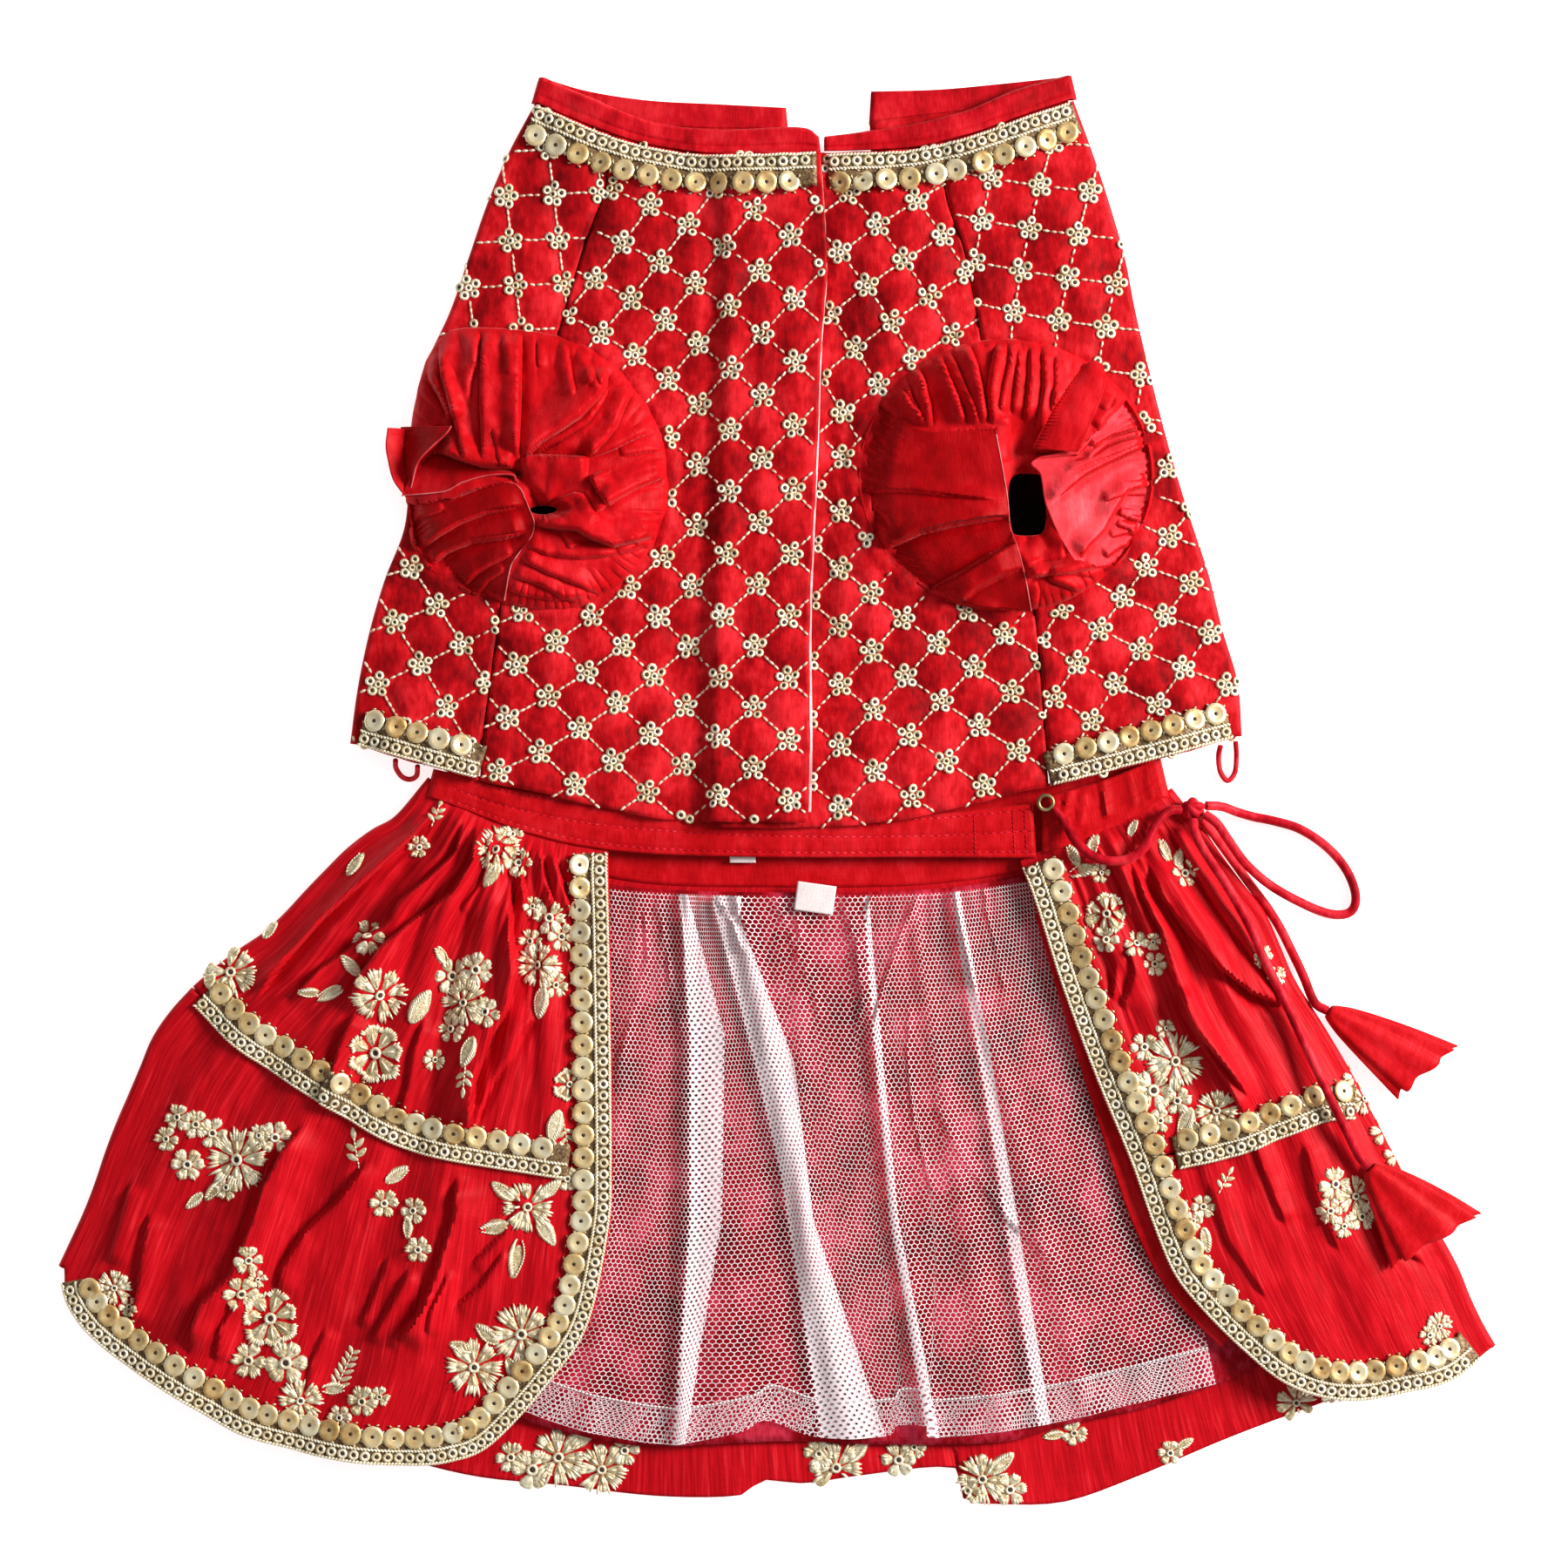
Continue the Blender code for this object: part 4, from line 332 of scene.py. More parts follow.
RIGHT_MOTIFS = [
    ("leaf", 86.6, -15.4, 6.2, 70), ("leaf", 84, -21.8, 6.7, 20), ("leaf", 81.6, -17.8, 5.8, 120),
    ("blossom", 88.8, -22.6, 4.8, 0), ("leaf", 97.7, -10.3, 4.3, 60), ("leaf", 106.6, -16.3, 5.8, 110),
    ("blossom", 112.1, -22.6, 6.7, 0), ("leaf", 110.4, -18.5, 4.8, 70), ("lily", 90.5, -33.6, 10.6, 0),
    ("blossom", 90.2, -40.8, 6.2, 0), ("blossom", 98.6, -42, 6.2, 0), ("blossom", 103.7, -47.5, 5.8, 0),
    ("blossom", 103.2, -41.3, 4.3, 0), ("blossom", 133.7, -45.6, 5.3, 0),
    ("blossom", 137.5, -50.9, 4.8, 0), ("daisy", 109.2, -74.2, 13.4, 0),
    ("blossom", 103.2, -82.3, 10.1, 0), ("blossom", 109.9, -85, 6.7, 0),
    ("daisy", 120.7, -87.8, 10.1, 0), ("leaf", 112.1, -91.7, 8.2, 250),
    ("blossom", 100.8, -70.3, 6.7, 0), ("leaf", 115.2, -94.1, 6.2, 290),
    ("blossom", 105.1, -90.5, 5.8, 0), ("leaf", 126.7, -91.7, 5.3, 340),
    ("blossom", 106.6, -65.3, 4.8, 0), ("spray", 122.6, -107.8, 6.2, 60),
    ("blossom", 117.1, -114.2, 5.8, 0), ("leaf", 117.8, -123.4, 5.8, 280),
    ("blossom", 114.2, -118.1, 4.8, 0), ("blossom", 153.1, -108, 7.7, 0),
    ("daisy", 159.1, -111.4, 9.6, 0), ("blossom", 151.7, -115.2, 6.2, 0),
    ("blossom", 160.8, -117.1, 6.7, 0), ("blossom", 155.5, -119.5, 5.3, 0),
    ("blossom", 164.6, -114.7, 4.8, 0), ("daisy", 182.2, -147.4, 6.7, 0),
    ("blossom", 179.5, -149.8, 4.8, 0), ("blossom", 133.7, -152.9, 5.3, 0),
    ("blossom", 137.8, -155.5, 4.8, 0), ("daisy", 161.8, -85, 7.2, 0), ("blossom", 167.5, -94.1, 6.7, 0),
    ("blossom", 159.4, -78.7, 5.8, 0), ("blossom", 170.9, -100.3, 6.2, 0),
]
HEM_MOTIFS = [
    ("daisy", -60.5, -184.3, 13.4, 0), ("daisy", -48.5, -187.7, 12, 0),
    ("blossom", -67.7, -187.7, 9.6, 0), ("leaf", -54.5, -179, 8.2, 30),
    ("blossom", -42.2, -182.4, 7.2, 0), ("blossom", -73.7, -184.3, 7.2, 0),
    ("daisy", 16.3, -187.2, 12.5, 0), ("leaf", 22.3, -182.4, 7.2, 50), ("blossom", 11.5, -183.4, 7.2, 0),
    ("blossom", 33.6, -185, 8.2, 0), ("blossom", 37.9, -181.4, 5.8, 0), ("daisy", 56.6, -190.1, 12, 0),
    ("leaf", 61.9, -185.8, 7.2, 40), ("blossom", 64.3, -193, 7.7, 0), ("blossom", 52.8, -193.4, 6.7, 0),
    ("blossom", 82.1, -177.6, 6, 20), ("leaf", 76.3, -178.1, 4.8, 190),
    ("blossom", 108.7, -183.1, 5.8, 0), ("leaf", 112.8, -180.5, 4.3, 30),
    ("daisy", 143.6, -169.2, 9.5, 20), ("blossom", 152.6, -166.6, 4.8, 0),
]


class Slot(Enum):
    """The material slots of the part that a piece may take its finish from."""

    CHOLI = "choli_satin"
    PLAIN = "plain_satin"
    BINDING = "binding_satin"
    SILK = "raw_silk"
    NET = "white_net"
    LACE = "gold_lace"
    METAL = "gold_metal"
    CORD = "red_cord"
    TAPE = "white_tape"


class Motif(Enum):
    """The kinds of embroidered motif."""

    DAISY = "daisy"
    LILY = "lily"
    BLOSSOM = "blossom"
    LEAF = "leaf"
    SPRAY = "spray"
    FERN = "fern"


# Plan and profile helpers


def smooth_step(value: float) -> float:
    """0 below 0, 1 above 1, and a soft rise between."""
    value = min(1.0, max(0.0, value))
    return value * value * (3 - 2 * value)


def bump(distance: float, width: float) -> float:
    """A soft ridge: 1 on its line, 0 from its width outwards."""
    return 0.5 * (1 + math.cos(math.pi * min(1.0, abs(distance) / width)))


def dent(distance: float, width: float) -> float:
    """A narrow bell: 1 on its line, and almost 0 from twice its width outwards."""
    return math.exp(-((distance / width) ** 2))


def wobble(x: float, y: float, size: float, seed: float = 0.0) -> float:
    """Smooth noise between about -1 and 1, whose blobs are about this many millimetres across."""
    return noise.noise(Vector((x / size, y / size, seed))) * 1.6


def even(count: int, start: float = 0.0, end: float = 1.0) -> list[float]:
    """Shares from start to end, with this many steps."""
    return [start + (end - start) * i / count for i in range(count + 1)]


def raised(point: Vector, z: float) -> Vector:
    """A point in plan, at a height."""
    return Vector((point.x, point.y, z))


class Route:
    """A smooth curve through given points, read by its share of the length."""

    STEPS = 10

    def __init__(self, points: Points) -> None:
        """Runs the curve through the points.

        Args:
            points: The points in millimetres, in plan or in space.
        """
        ends = [Vector(p) for p in points]
        padded = [2 * ends[0] - ends[1], *ends, 2 * ends[-1] - ends[-2]]
        self.line = [ends[0]]
        for before, here, there, after in zip(padded, padded[1:], padded[2:], padded[3:]):
            for step in range(1, self.STEPS + 1):
                t = step / self.STEPS
                self.line.append(0.5 * (2 * here + (there - before) * t
                                        + (2 * before - 5 * here + 4 * there - after) * t * t
                                        + (3 * here - before - 3 * there + after) * t ** 3))
        self.reach = [0.0]
        for a, b in zip(self.line, self.line[1:]):
            self.reach.append(self.reach[-1] + (b - a).length)
        self.known: dict[float, Vector] = {}

    @property
    def length(self) -> float:
        """The whole length in millimetres."""
        return self.reach[-1]

    def at(self, share: float) -> Vector:
        """The point at a share of the length.

        Args:
            share: From 0 at the start to 1 at the end.

        Returns:
            The point in millimetres.
        """
        if share in self.known:
            return self.known[share]
        wanted = min(1.0, max(0.0, share)) * self.length
        low, high = 0, len(self.reach) - 1
        while high - low > 1:
            middle = (low + high) // 2
            low, high = (middle, high) if self.reach[middle] <= wanted else (low, middle)
        span = self.reach[high] - self.reach[low]
        found = self.line[low].lerp(self.line[high], (wanted - self.reach[low]) / span if span else 0.0)
        self.known[share] = found
        return found

    def left_of(self, share: float) -> Vector:
        """The unit vector to the left of the curve, seen from above."""
        ahead = self.at(min(1.0, share + 0.01)) - self.at(max(0.0, share - 0.01))
        return Vector((-ahead.y, ahead.x)).normalized()


class Patch:
    """A cloth piece in plan, between four curves that meet at its corners.

    across runs from the side curve (0) to the other side (1), and down from the top curve to the bottom one.
    """

    def __init__(self, side: Points, other: Points, top: Points, bottom: Points) -> None:
        """Takes the four curves, each as points in millimetres."""
        self.side, self.other, self.top, self.bottom = (Route(c) for c in (side, other, top, bottom))

    def at(self, across: float, down: float) -> Vector:
        """The point in plan.

        Args:
            across: The share of the width.
            down: The share of the length.

        Returns:
            The point in millimetres.
        """
        a, b = self.side.at(down), self.other.at(down)
        c, d = self.top.at(across), self.bottom.at(across)
        corners = ((1 - across) * ((1 - down) * self.side.at(0.0) + down * self.side.at(1.0))
                   + across * ((1 - down) * self.other.at(0.0) + down * self.other.at(1.0)))
        return (1 - across) * a + across * b + (1 - down) * c + down * d - corners


def heading_vector(angle: float) -> Vector:
    """The direction in plan at an angle in degrees."""
    return Vector((math.cos(math.radians(angle)), math.sin(math.radians(angle))))


def fold_at(outline: Points, y: float) -> float:
    """Where an outline that runs down the garment crosses this height.

    Args:
        outline: The outline's points in plan.
        y: The height in plan.

    Returns:
        The x of the crossing.
    """
    points = sorted(outline, key=lambda p: p[1])
    if y <= points[0][1]:
        return points[0][0]
    for low, high in zip(points, points[1:]):
        if y <= high[1]:
            return low[0] + (high[0] - low[0]) * (y - low[1]) / (high[1] - low[1])
    return points[-1][0]


def turned_in(points: Points, amount: float, to_left: bool, count: int = 12) -> list[tuple[float, ...]]:
    """The outline moved into the garment by this amount, as points of a new curve.

    Args:
        points: The outline.
        amount: How far it moves, in millimetres.
        to_left: Whether the garment is on the outline's left.
        count: The number of steps.

    Returns:
        The points of the new curve.
    """
    path = Route(points)
    side = 1 if to_left else -1
    return [tuple(path.at(s) + side * amount * path.left_of(s)) for s in even(count)]


def parted(points: Points, place: tuple[float, float], gap: float) -> tuple[Points, Points]:
    """A curve parted near a place, as the points of its two stretches with a gap between them.

    Args:
        points: The curve.
        place: The place that it parts near.
        gap: The gap's length in millimetres.

    Returns:
        The points of the two stretches.
    """
    path = Route(points)
    share = min(even(400), key=lambda s: (path.at(s) - Vector(place)).length)
    half = gap / 2 / path.length
    return ([tuple(path.at(s)) for s in even(10, 0, share - half)],
            [tuple(path.at(s)) for s in even(10, share + half, 1)])


def stretch(points: Points, start: float, end: float, lift: float = 0.0,
            count: int = 8) -> list[tuple[float, float]]:
    """The points of a smooth curve between two values of x, moved up in plan by a lift.

    Args:
        points: The curve.
        start: The first x.
        end: The last x.
        lift: How far the points move up in plan.
        count: The number of steps.

    Returns:
        The points, from the first x to the last.
    """
    line = Route(points).line
    if line[0].x > line[-1].x:
        line = line[::-1]
    found = []
    for x in even(count, start, end):
        a, b = next((a, b) for a, b in zip(line, line[1:]) if b.x >= x - 1e-6 or b is line[-1])
        share = (x - a.x) / (b.x - a.x)
        found.append((x, a.y + (b.y - a.y) * share + lift))
    return found


def offset_from(points: Points, plan: Vector) -> tuple[float, float]:
    """The signed distance from a polyline, positive on its left, and the share of its length of the nearest
    point.

    Args:
        points: The polyline.
        plan: The place in plan.

    Returns:
        The distance in millimetres, and the share from 0 to 1.
    """
    best, side, place, gone, total = 1e9, 1.0, 0.0, 0.0, 0.0
    for a, b in zip(points, points[1:]):
        total += math.hypot(b[0] - a[0], b[1] - a[1])
    for a, b in zip(points, points[1:]):
        dx, dy = b[0] - a[0], b[1] - a[1]
        span = math.hypot(dx, dy)
        t = min(1.0, max(0.0, ((plan.x - a[0]) * dx + (plan.y - a[1]) * dy) / span / span))
        away = math.hypot(plan.x - a[0] - t * dx, plan.y - a[1] - t * dy)
        if away < best:
            best = away
            side = 1.0 if dx * (plan.y - a[1]) - dy * (plan.x - a[0]) >= 0 else -1.0
            place = (gone + t * span) / total
        gone += span
    return best * side, place


class Crease:
    """A fold that overlaps its neighbour: it rises sharply on the left of its line, then falls off."""

    def __init__(self, line: Points, rise: float, width: float) -> None:
        """Keeps the line, the rise on its left and the width that it falls off over.

        Args:
            line: The crease's line in plan.
            rise: The height on its left.
            width: The width that the height falls off over.
        """
        self.line, self.rise, self.width = line, rise, width
        self.middle = Vector((sum(x for x, _ in line) / len(line), sum(y for _, y in line) / len(line)))
        self.radius = max((Vector(place) - self.middle).length for place in line) + width

    def lift(self, plan: Vector) -> float:
        """The height that it adds at this place.

        Args:
            plan: The place in plan.

        Returns:
            The height in millimetres.
        """
        if (plan.to_2d() - self.middle).length > self.radius:
            return 0.0
        away, place = offset_from(self.line, plan)
        if abs(away) > self.width:
            return 0.0
        ends = smooth_step(place / 0.12) * smooth_step((1 - place) / 0.12)
        if away >= 0:
            return self.rise * ends * smooth_step(away / 1.0 + 0.5) * (1 - smooth_step(away / self.width))
        near = smooth_step(away / 1.0 + 0.5)
        return (ends
                * (self.rise * near
                   - 0.4 * self.rise * (1 - near) * (1 - smooth_step(-2.4 * away / self.width))))


def crease_lift(plan: Vector, creases: Iterable[Crease]) -> float:
    """The height that all of these creases add at this place."""
    return sum(crease.lift(plan) for crease in creases)


# Node helpers, shared shader effects and finishes


class Wiring:
    """Adds and joins the nodes of one material or group."""

    def __init__(self, tree: bpy.types.NodeTree) -> None:
        """Works on this tree."""
        self.tree = tree

    def add(self, kind: str, values: dict | None = None, links: dict | None = None,
            **settings: object) -> bpy.types.Node:
        """Adds a node.

        Args:
            kind: The node's type, such as "ShaderNodeMath".
            values: Constant values by input name or number.
            links: Sockets that feed inputs, by input name or number.
            **settings: The node's own properties.

        Returns:
            The node.
        """
        node = self.tree.nodes.new(kind)
        for key, value in settings.items():
            setattr(node, key, value)
        for key, value in (values or {}).items():
            node.inputs[key].default_value = value
        for key, socket in (links or {}).items():
            self.tree.links.new(socket, node.inputs[key])
        return node

    def sum(self, operation: str, a: object, b: object = 0.0, clamp: bool = False) -> bpy.types.NodeSocket:
        """A Math node of two sockets or numbers, and its output.

        Args:
            operation: What the node works out.
            a: The first socket or number.
            b: The second socket or number.
            clamp: Whether the result is kept from 0 to 1.

        Returns:
            The node's output.
        """
        node = self.add("ShaderNodeMath", operation=operation, use_clamp=clamp)
        for place, value in enumerate((a, b)):
            if isinstance(value, (int, float)):
                node.inputs[place].default_value = value
            else:
                self.tree.links.new(value, node.inputs[place])
        return node.outputs[0]

    def noise(self, vector: bpy.types.NodeSocket, scale: tuple[float, float, float], detail: float = 2.0,
              rough: float = 0.5) -> bpy.types.NodeSocket:
        """Noise of its own scale along each axis, from 0 to 1.

        Args:
            vector: The coordinates.
            scale: The scale along each axis.
            detail: How many finer layers it has.
            rough: How strong the finer layers are.

        Returns:
            The noise.
        """
        mapping = self.add("ShaderNodeMapping", {"Scale": scale}, {"Vector": vector})
        node = self.add("ShaderNodeTexNoise", {"Scale": 1.0, "Detail": detail, "Roughness": rough},
                        {"Vector": mapping.outputs[0]})
        return node.outputs["Fac"]

    def spread(self, value: bpy.types.NodeSocket, low: float, high: float) -> bpy.types.NodeSocket:
        """A value mapped so that low becomes 0 and high 1, clamped.

        Args:
            value: The socket.
            low: What becomes 0.
            high: What becomes 1.

        Returns:
            The node's output.
        """
        node = self.add("ShaderNodeMapRange", {"From Min": low, "From Max": high}, {"Value": value},
                        clamp=True)
        return node.outputs["Result"]

    def mix(self, factor: bpy.types.NodeSocket, a: object, b: object) -> bpy.types.NodeSocket:
        """A colour between two colours or colour sockets.

        Args:
            factor: 0 for the first colour and 1 for the second.
            a: The first colour or socket.
            b: The second colour or socket.

        Returns:
            The colour between them.
        """
        node = self.add("ShaderNodeMix", data_type="RGBA")
        self.tree.links.new(factor, node.inputs["Factor"])
        for place, value in ((6, a), (7, b)):
            if isinstance(value, tuple):
                node.inputs[place].default_value = (*value, 1.0)
            else:
                self.tree.links.new(value, node.inputs[place])
        return node.outputs[2]


def new_group(name: str, inputs: dict[str, object], outputs: Sequence[str]) -> tuple[Wiring, dict, dict]:
    """Starts a shader node group.

    Args:
        name: The group's name.
        inputs: Input names with their default, or None for a vector.
        outputs: Output names, all values.

    Returns:
        The wiring, the group's input sockets and its output sockets by name.
    """
    tree = bpy.data.node_groups.new(name, "ShaderNodeTree")
    for label, default in inputs.items():
        kind = "NodeSocketVector" if default is None else "NodeSocketFloat"
        socket = tree.interface.new_socket(label, in_out="INPUT", socket_type=kind)
        if default is not None:
            socket.default_value = default
    for label in outputs:
        tree.interface.new_socket(label, in_out="OUTPUT", socket_type="NodeSocketFloat")
    source, sink = tree.nodes.new("NodeGroupInput"), tree.nodes.new("NodeGroupOutput")
    return Wiring(tree), {s.name: s for s in source.outputs}, {s.name: s for s in sink.inputs}


class Effects:
    """The shader node groups that the finishes share, each built once."""

    @cached_property
    def weave(self) -> bpy.types.NodeTree:
        """Crossing threads: a fine height for a Bump node, and the same as a tone.

        Returns:
            The node group.
        """
        wires, source, sink = new_group("crossing_threads", {"Vector": None, "Fineness": 1.0}, ["Height"])
        scaled = wires.add("ShaderNodeVectorMath", None, {0: source["Vector"], "Scale": source["Fineness"]},
                           operation="SCALE").outputs[0]
        warp = wires.noise(scaled, (1900.0, 260.0, 400.0), 1.0)
        weft = wires.noise(scaled, (260.0, 1900.0, 400.0), 1.0)
        wires.tree.links.new(wires.sum("MULTIPLY", wires.sum("ADD", warp, weft), 0.5), sink["Height"])
        return wires.tree

    @cached_property
    def slubs(self) -> bpy.types.NodeTree:
        """The thick and thin threads of raw silk, which run down the cloth.

        Returns:
            The node group.
        """
        wires, source, sink = new_group("silk_slubs", {"Vector": None}, ["Streaks", "Height"])
        fine = wires.spread(wires.noise(source["Vector"], (1500.0, 60.0, 1.0), 2.0), 0.35, 0.68)
        broad = wires.spread(wires.noise(source["Vector"], (420.0, 16.0, 1.0), 2.0), 0.38, 0.7)
        rare = wires.spread(wires.noise(source["Vector"], (900.0, 90.0, 1.0), 0.0), 0.62, 0.78)
        streaks = wires.sum("ADD", wires.sum("MULTIPLY", fine, 0.5), wires.sum("MULTIPLY", broad, 0.35))
        streaks = wires.sum("ADD", streaks, wires.sum("MULTIPLY", rare, 0.35), clamp=True)
        wires.tree.links.new(streaks, sink["Streaks"])
        wires.tree.links.new(wires.sum("ADD", fine, rare), sink["Height"])
        return wires.tree

    @cached_property
    def nap(self) -> bpy.types.NodeTree:
        """Brushed pile: soft light and dark patches with a fine grain.

        Returns:
            The node group.
        """
        wires, source, sink = new_group("brushed_nap", {"Vector": None}, ["Nap", "Height"])
        broad = wires.noise(source["Vector"], (70.0, 60.0, 60.0), 3.0, 0.6)
        fine = wires.noise(source["Vector"], (700.0, 320.0, 500.0), 2.0)
        nap = wires.sum("ADD", wires.sum("MULTIPLY", broad, 0.72), wires.sum("MULTIPLY", fine, 0.28))
        wires.tree.links.new(wires.spread(nap, 0.36, 0.64), sink["Nap"])
        wires.tree.links.new(wires.sum("ADD", broad, wires.sum("MULTIPLY", fine, 0.35)), sink["Height"])
        return wires.tree

    @cached_property
    def crumple(self) -> bpy.types.NodeTree:
        """Soft handling creases, as a height.

        Returns:
            The node group.
        """
        wires, source, sink = new_group("soft_creases", {"Vector": None, "Density": 1.0}, ["Height"])
        scaled = wires.add("ShaderNodeVectorMath", None, {0: source["Vector"], "Scale": source["Density"]},
                           operation="SCALE").outputs[0]
        one = wires.noise(scaled, (120.0, 45.0, 80.0), 1.0)
        two = wires.noise(scaled, (60.0, 150.0, 80.0), 1.0)
        ridge = wires.sum("ABSOLUTE", wires.sum("SUBTRACT", one, two))
        wires.tree.links.new(ridge, sink["Height"])
        return wires.tree

    @cached_property
    def strands(self) -> bpy.types.NodeTree:
        """Twisted metal thread: bright and dark strands, and their height.

        Returns:
            The node group.
        """
        wires, source, sink = new_group("twisted_strands", {"Vector": None, "Fineness": 1.0},
                                        ["Strands", "Height"])
        scaled = wires.add("ShaderNodeVectorMath", None, {0: source["Vector"], "Scale": source["Fineness"]},
                           operation="SCALE").outputs[0]
        one = wires.noise(scaled, (1300.0, 1300.0, 1300.0), 2.0, 0.6)
        wires.tree.links.new(wires.spread(one, 0.3, 0.68), sink["Strands"])
        wires.tree.links.new(one, sink["Height"])
        return wires.tree

    @cached_property
    def net(self) -> bpy.types.NodeTree:
        """Hexagon net: 1 on its threads and 0 in its holes.

        Returns:
            The node group.
        """
        wires, source, sink = new_group("hexagon_net", {"Vector": None, "Cell": 0.0015, "Thread": 0.3},
                                        ["Threads"])
        tall = math.sqrt(3.0)
        unit = wires.add("ShaderNodeVectorMath", None, {0: source["Vector"]}, operation="SCALE")
        wires.tree.links.new(wires.sum("DIVIDE", 1.0, source["Cell"]), unit.inputs["Scale"])
        halves = []
        for shift in (0.0, 0.5):
            moved = wires.add("ShaderNodeVectorMath", {1: (shift + 200.0, (shift + 200.0) * tall, 0.0)},
                              {0: unit.outputs[0]}, operation="ADD").outputs[0]
            cell = wires.add("ShaderNodeVectorMath", {1: (1.0, tall, 1.0)}, {0: moved},
                             operation="MODULO").outputs[0]
            middle = wires.add("ShaderNodeVectorMath", {1: (0.5, tall / 2, 0.0)}, {0: cell},
                               operation="SUBTRACT").outputs[0]
            size = wires.add("ShaderNodeVectorMath", None, {0: middle}, operation="ABSOLUTE").outputs[0]
            parts = wires.add("ShaderNodeSeparateXYZ", None, {0: size})
            slope = wires.sum("ADD", wires.sum("MULTIPLY", parts.outputs[0], 0.5),
                              wires.sum("MULTIPLY", parts.outputs[1], tall / 2))
            halves.append(wires.sum("MAXIMUM", parts.outputs[0], slope))
        away = wires.sum("SUBTRACT", 0.5, wires.sum("MINIMUM", halves[0], halves[1]))
        node = wires.add("ShaderNodeMapRange", {"To Min": 1.0, "To Max": 0.0}, {"Value": away}, clamp=True)
        wires.tree.links.new(wires.sum("MULTIPLY", source["Thread"], 0.35), node.inputs["From Min"])
        wires.tree.links.new(wires.sum("MULTIPLY", source["Thread"], 0.65), node.inputs["From Max"])
        wires.tree.links.new(node.outputs["Result"], sink["Threads"])
        return wires.tree


def start_material(name: str) -> tuple[bpy.types.Material, Wiring, bpy.types.Node, bpy.types.Node]:
    """A new node material.

    Args:
        name: The material's name.

    Returns:
        The material, its wiring, its Principled shader and its Texture Coordinate node.
    """
    made = bpy.data.materials.new(name)
    made.use_nodes = True
    wires = Wiring(made.node_tree)
    shader = made.node_tree.nodes["Principled BSDF"]
    return made, wires, shader, wires.add("ShaderNodeTexCoord")


@dataclass(frozen=True)
class ClothFinish:
    """A dyed cloth: its three tones, and how much nap, slub, weave and creasing it shows."""

    name: str
    dark: Colour
    base: Colour
    light: Colour
    roughness: float = 0.6
    sheen: float = 0.15
    nap: float = 0.0
    slub: float = 0.0
    weave: float = 0.15
    crease: float = 0.0
    fineness: float = 1.0

    def build(self, effects: Effects) -> bpy.types.Material:
        """Builds the material.

        Args:
            effects: The shared node groups.

        Returns:
            The material.
        """
        made, wires, shader, places = start_material(self.name)
        tone, height = None, None
        if self.nap:
            group = self._group(wires, effects.nap, places, "Object")
            tone = group.outputs["Nap"]
            height = wires.sum("MULTIPLY", group.outputs["Height"], self.nap)
        if self.slub:
            group = self._group(wires, effects.slubs, places, "UV")
            tone = group.outputs["Streaks"] if tone is None else wires.sum(
                "ADD", wires.sum("MULTIPLY", tone, 0.5),
                wires.sum("MULTIPLY", group.outputs["Streaks"], 0.5))
            extra = wires.sum("MULTIPLY", group.outputs["Height"], self.slub)
            height = extra if height is None else wires.sum("ADD", height, extra)
        if self.weave:
            group = self._group(wires, effects.weave, places, "UV")
            group.inputs["Fineness"].default_value = self.fineness
            tone = group.outputs["Height"] if tone is None else wires.sum(
                "ADD", wires.sum("MULTIPLY", tone, 0.75),
                wires.sum("MULTIPLY", group.outputs["Height"], 0.25))
            extra = wires.sum("MULTIPLY", group.outputs["Height"], self.weave)
            height = extra if height is None else wires.sum("ADD", height, extra)
        if self.crease:
            group = self._group(wires, effects.crumple, places, "Object")
            extra = wires.sum("MULTIPLY", group.outputs["Height"], self.crease)
            height = wires.sum("ADD", height, extra)
        low = wires.mix(wires.spread(tone, 0.1, 0.5), self.dark, self.base)
        full = wires.mix(wires.spread(tone, 0.5, 0.95), low, self.light)
        wires.tree.links.new(full, shader.inputs["Base Color"])
        bumps = wires.add("ShaderNodeBump", {"Strength": 0.8, "Distance": MM}, {"Height": height})
        wires.tree.links.new(bumps.outputs["Normal"], shader.inputs["Normal"])
        rough = wires.add("ShaderNodeMapRange",
                          {"To Min": self.roughness + 0.08, "To Max": self.roughness - 0.06},
                          {"Value": tone}, clamp=True)
        wires.tree.links.new(rough.outputs["Result"], shader.inputs["Roughness"])
        shader.inputs["Specular IOR Level"].default_value = 0.08
        shader.inputs["Sheen Weight"].default_value = self.sheen
        shader.inputs["Sheen Roughness"].default_value = 0.4
        shader.inputs["Sheen Tint"].default_value = (1.0, 0.22, 0.22, 1.0)
        return made

    @staticmethod
    def _group(wires: Wiring, tree: bpy.types.NodeTree, places: bpy.types.Node, kind: str) -> bpy.types.Node:
        """Places a shared group, fed by the Object coordinates or the UV map.

        Args:
            wires: The material's wiring.
            tree: The shared group.
            places: The node that gives the coordinates.
            kind: Which of its outputs is read.

        Returns:
            The group's node.
        """
        node = wires.add("ShaderNodeGroup", node_tree=tree)
        wires.tree.links.new(places.outputs[kind], node.inputs["Vector"])
        return node


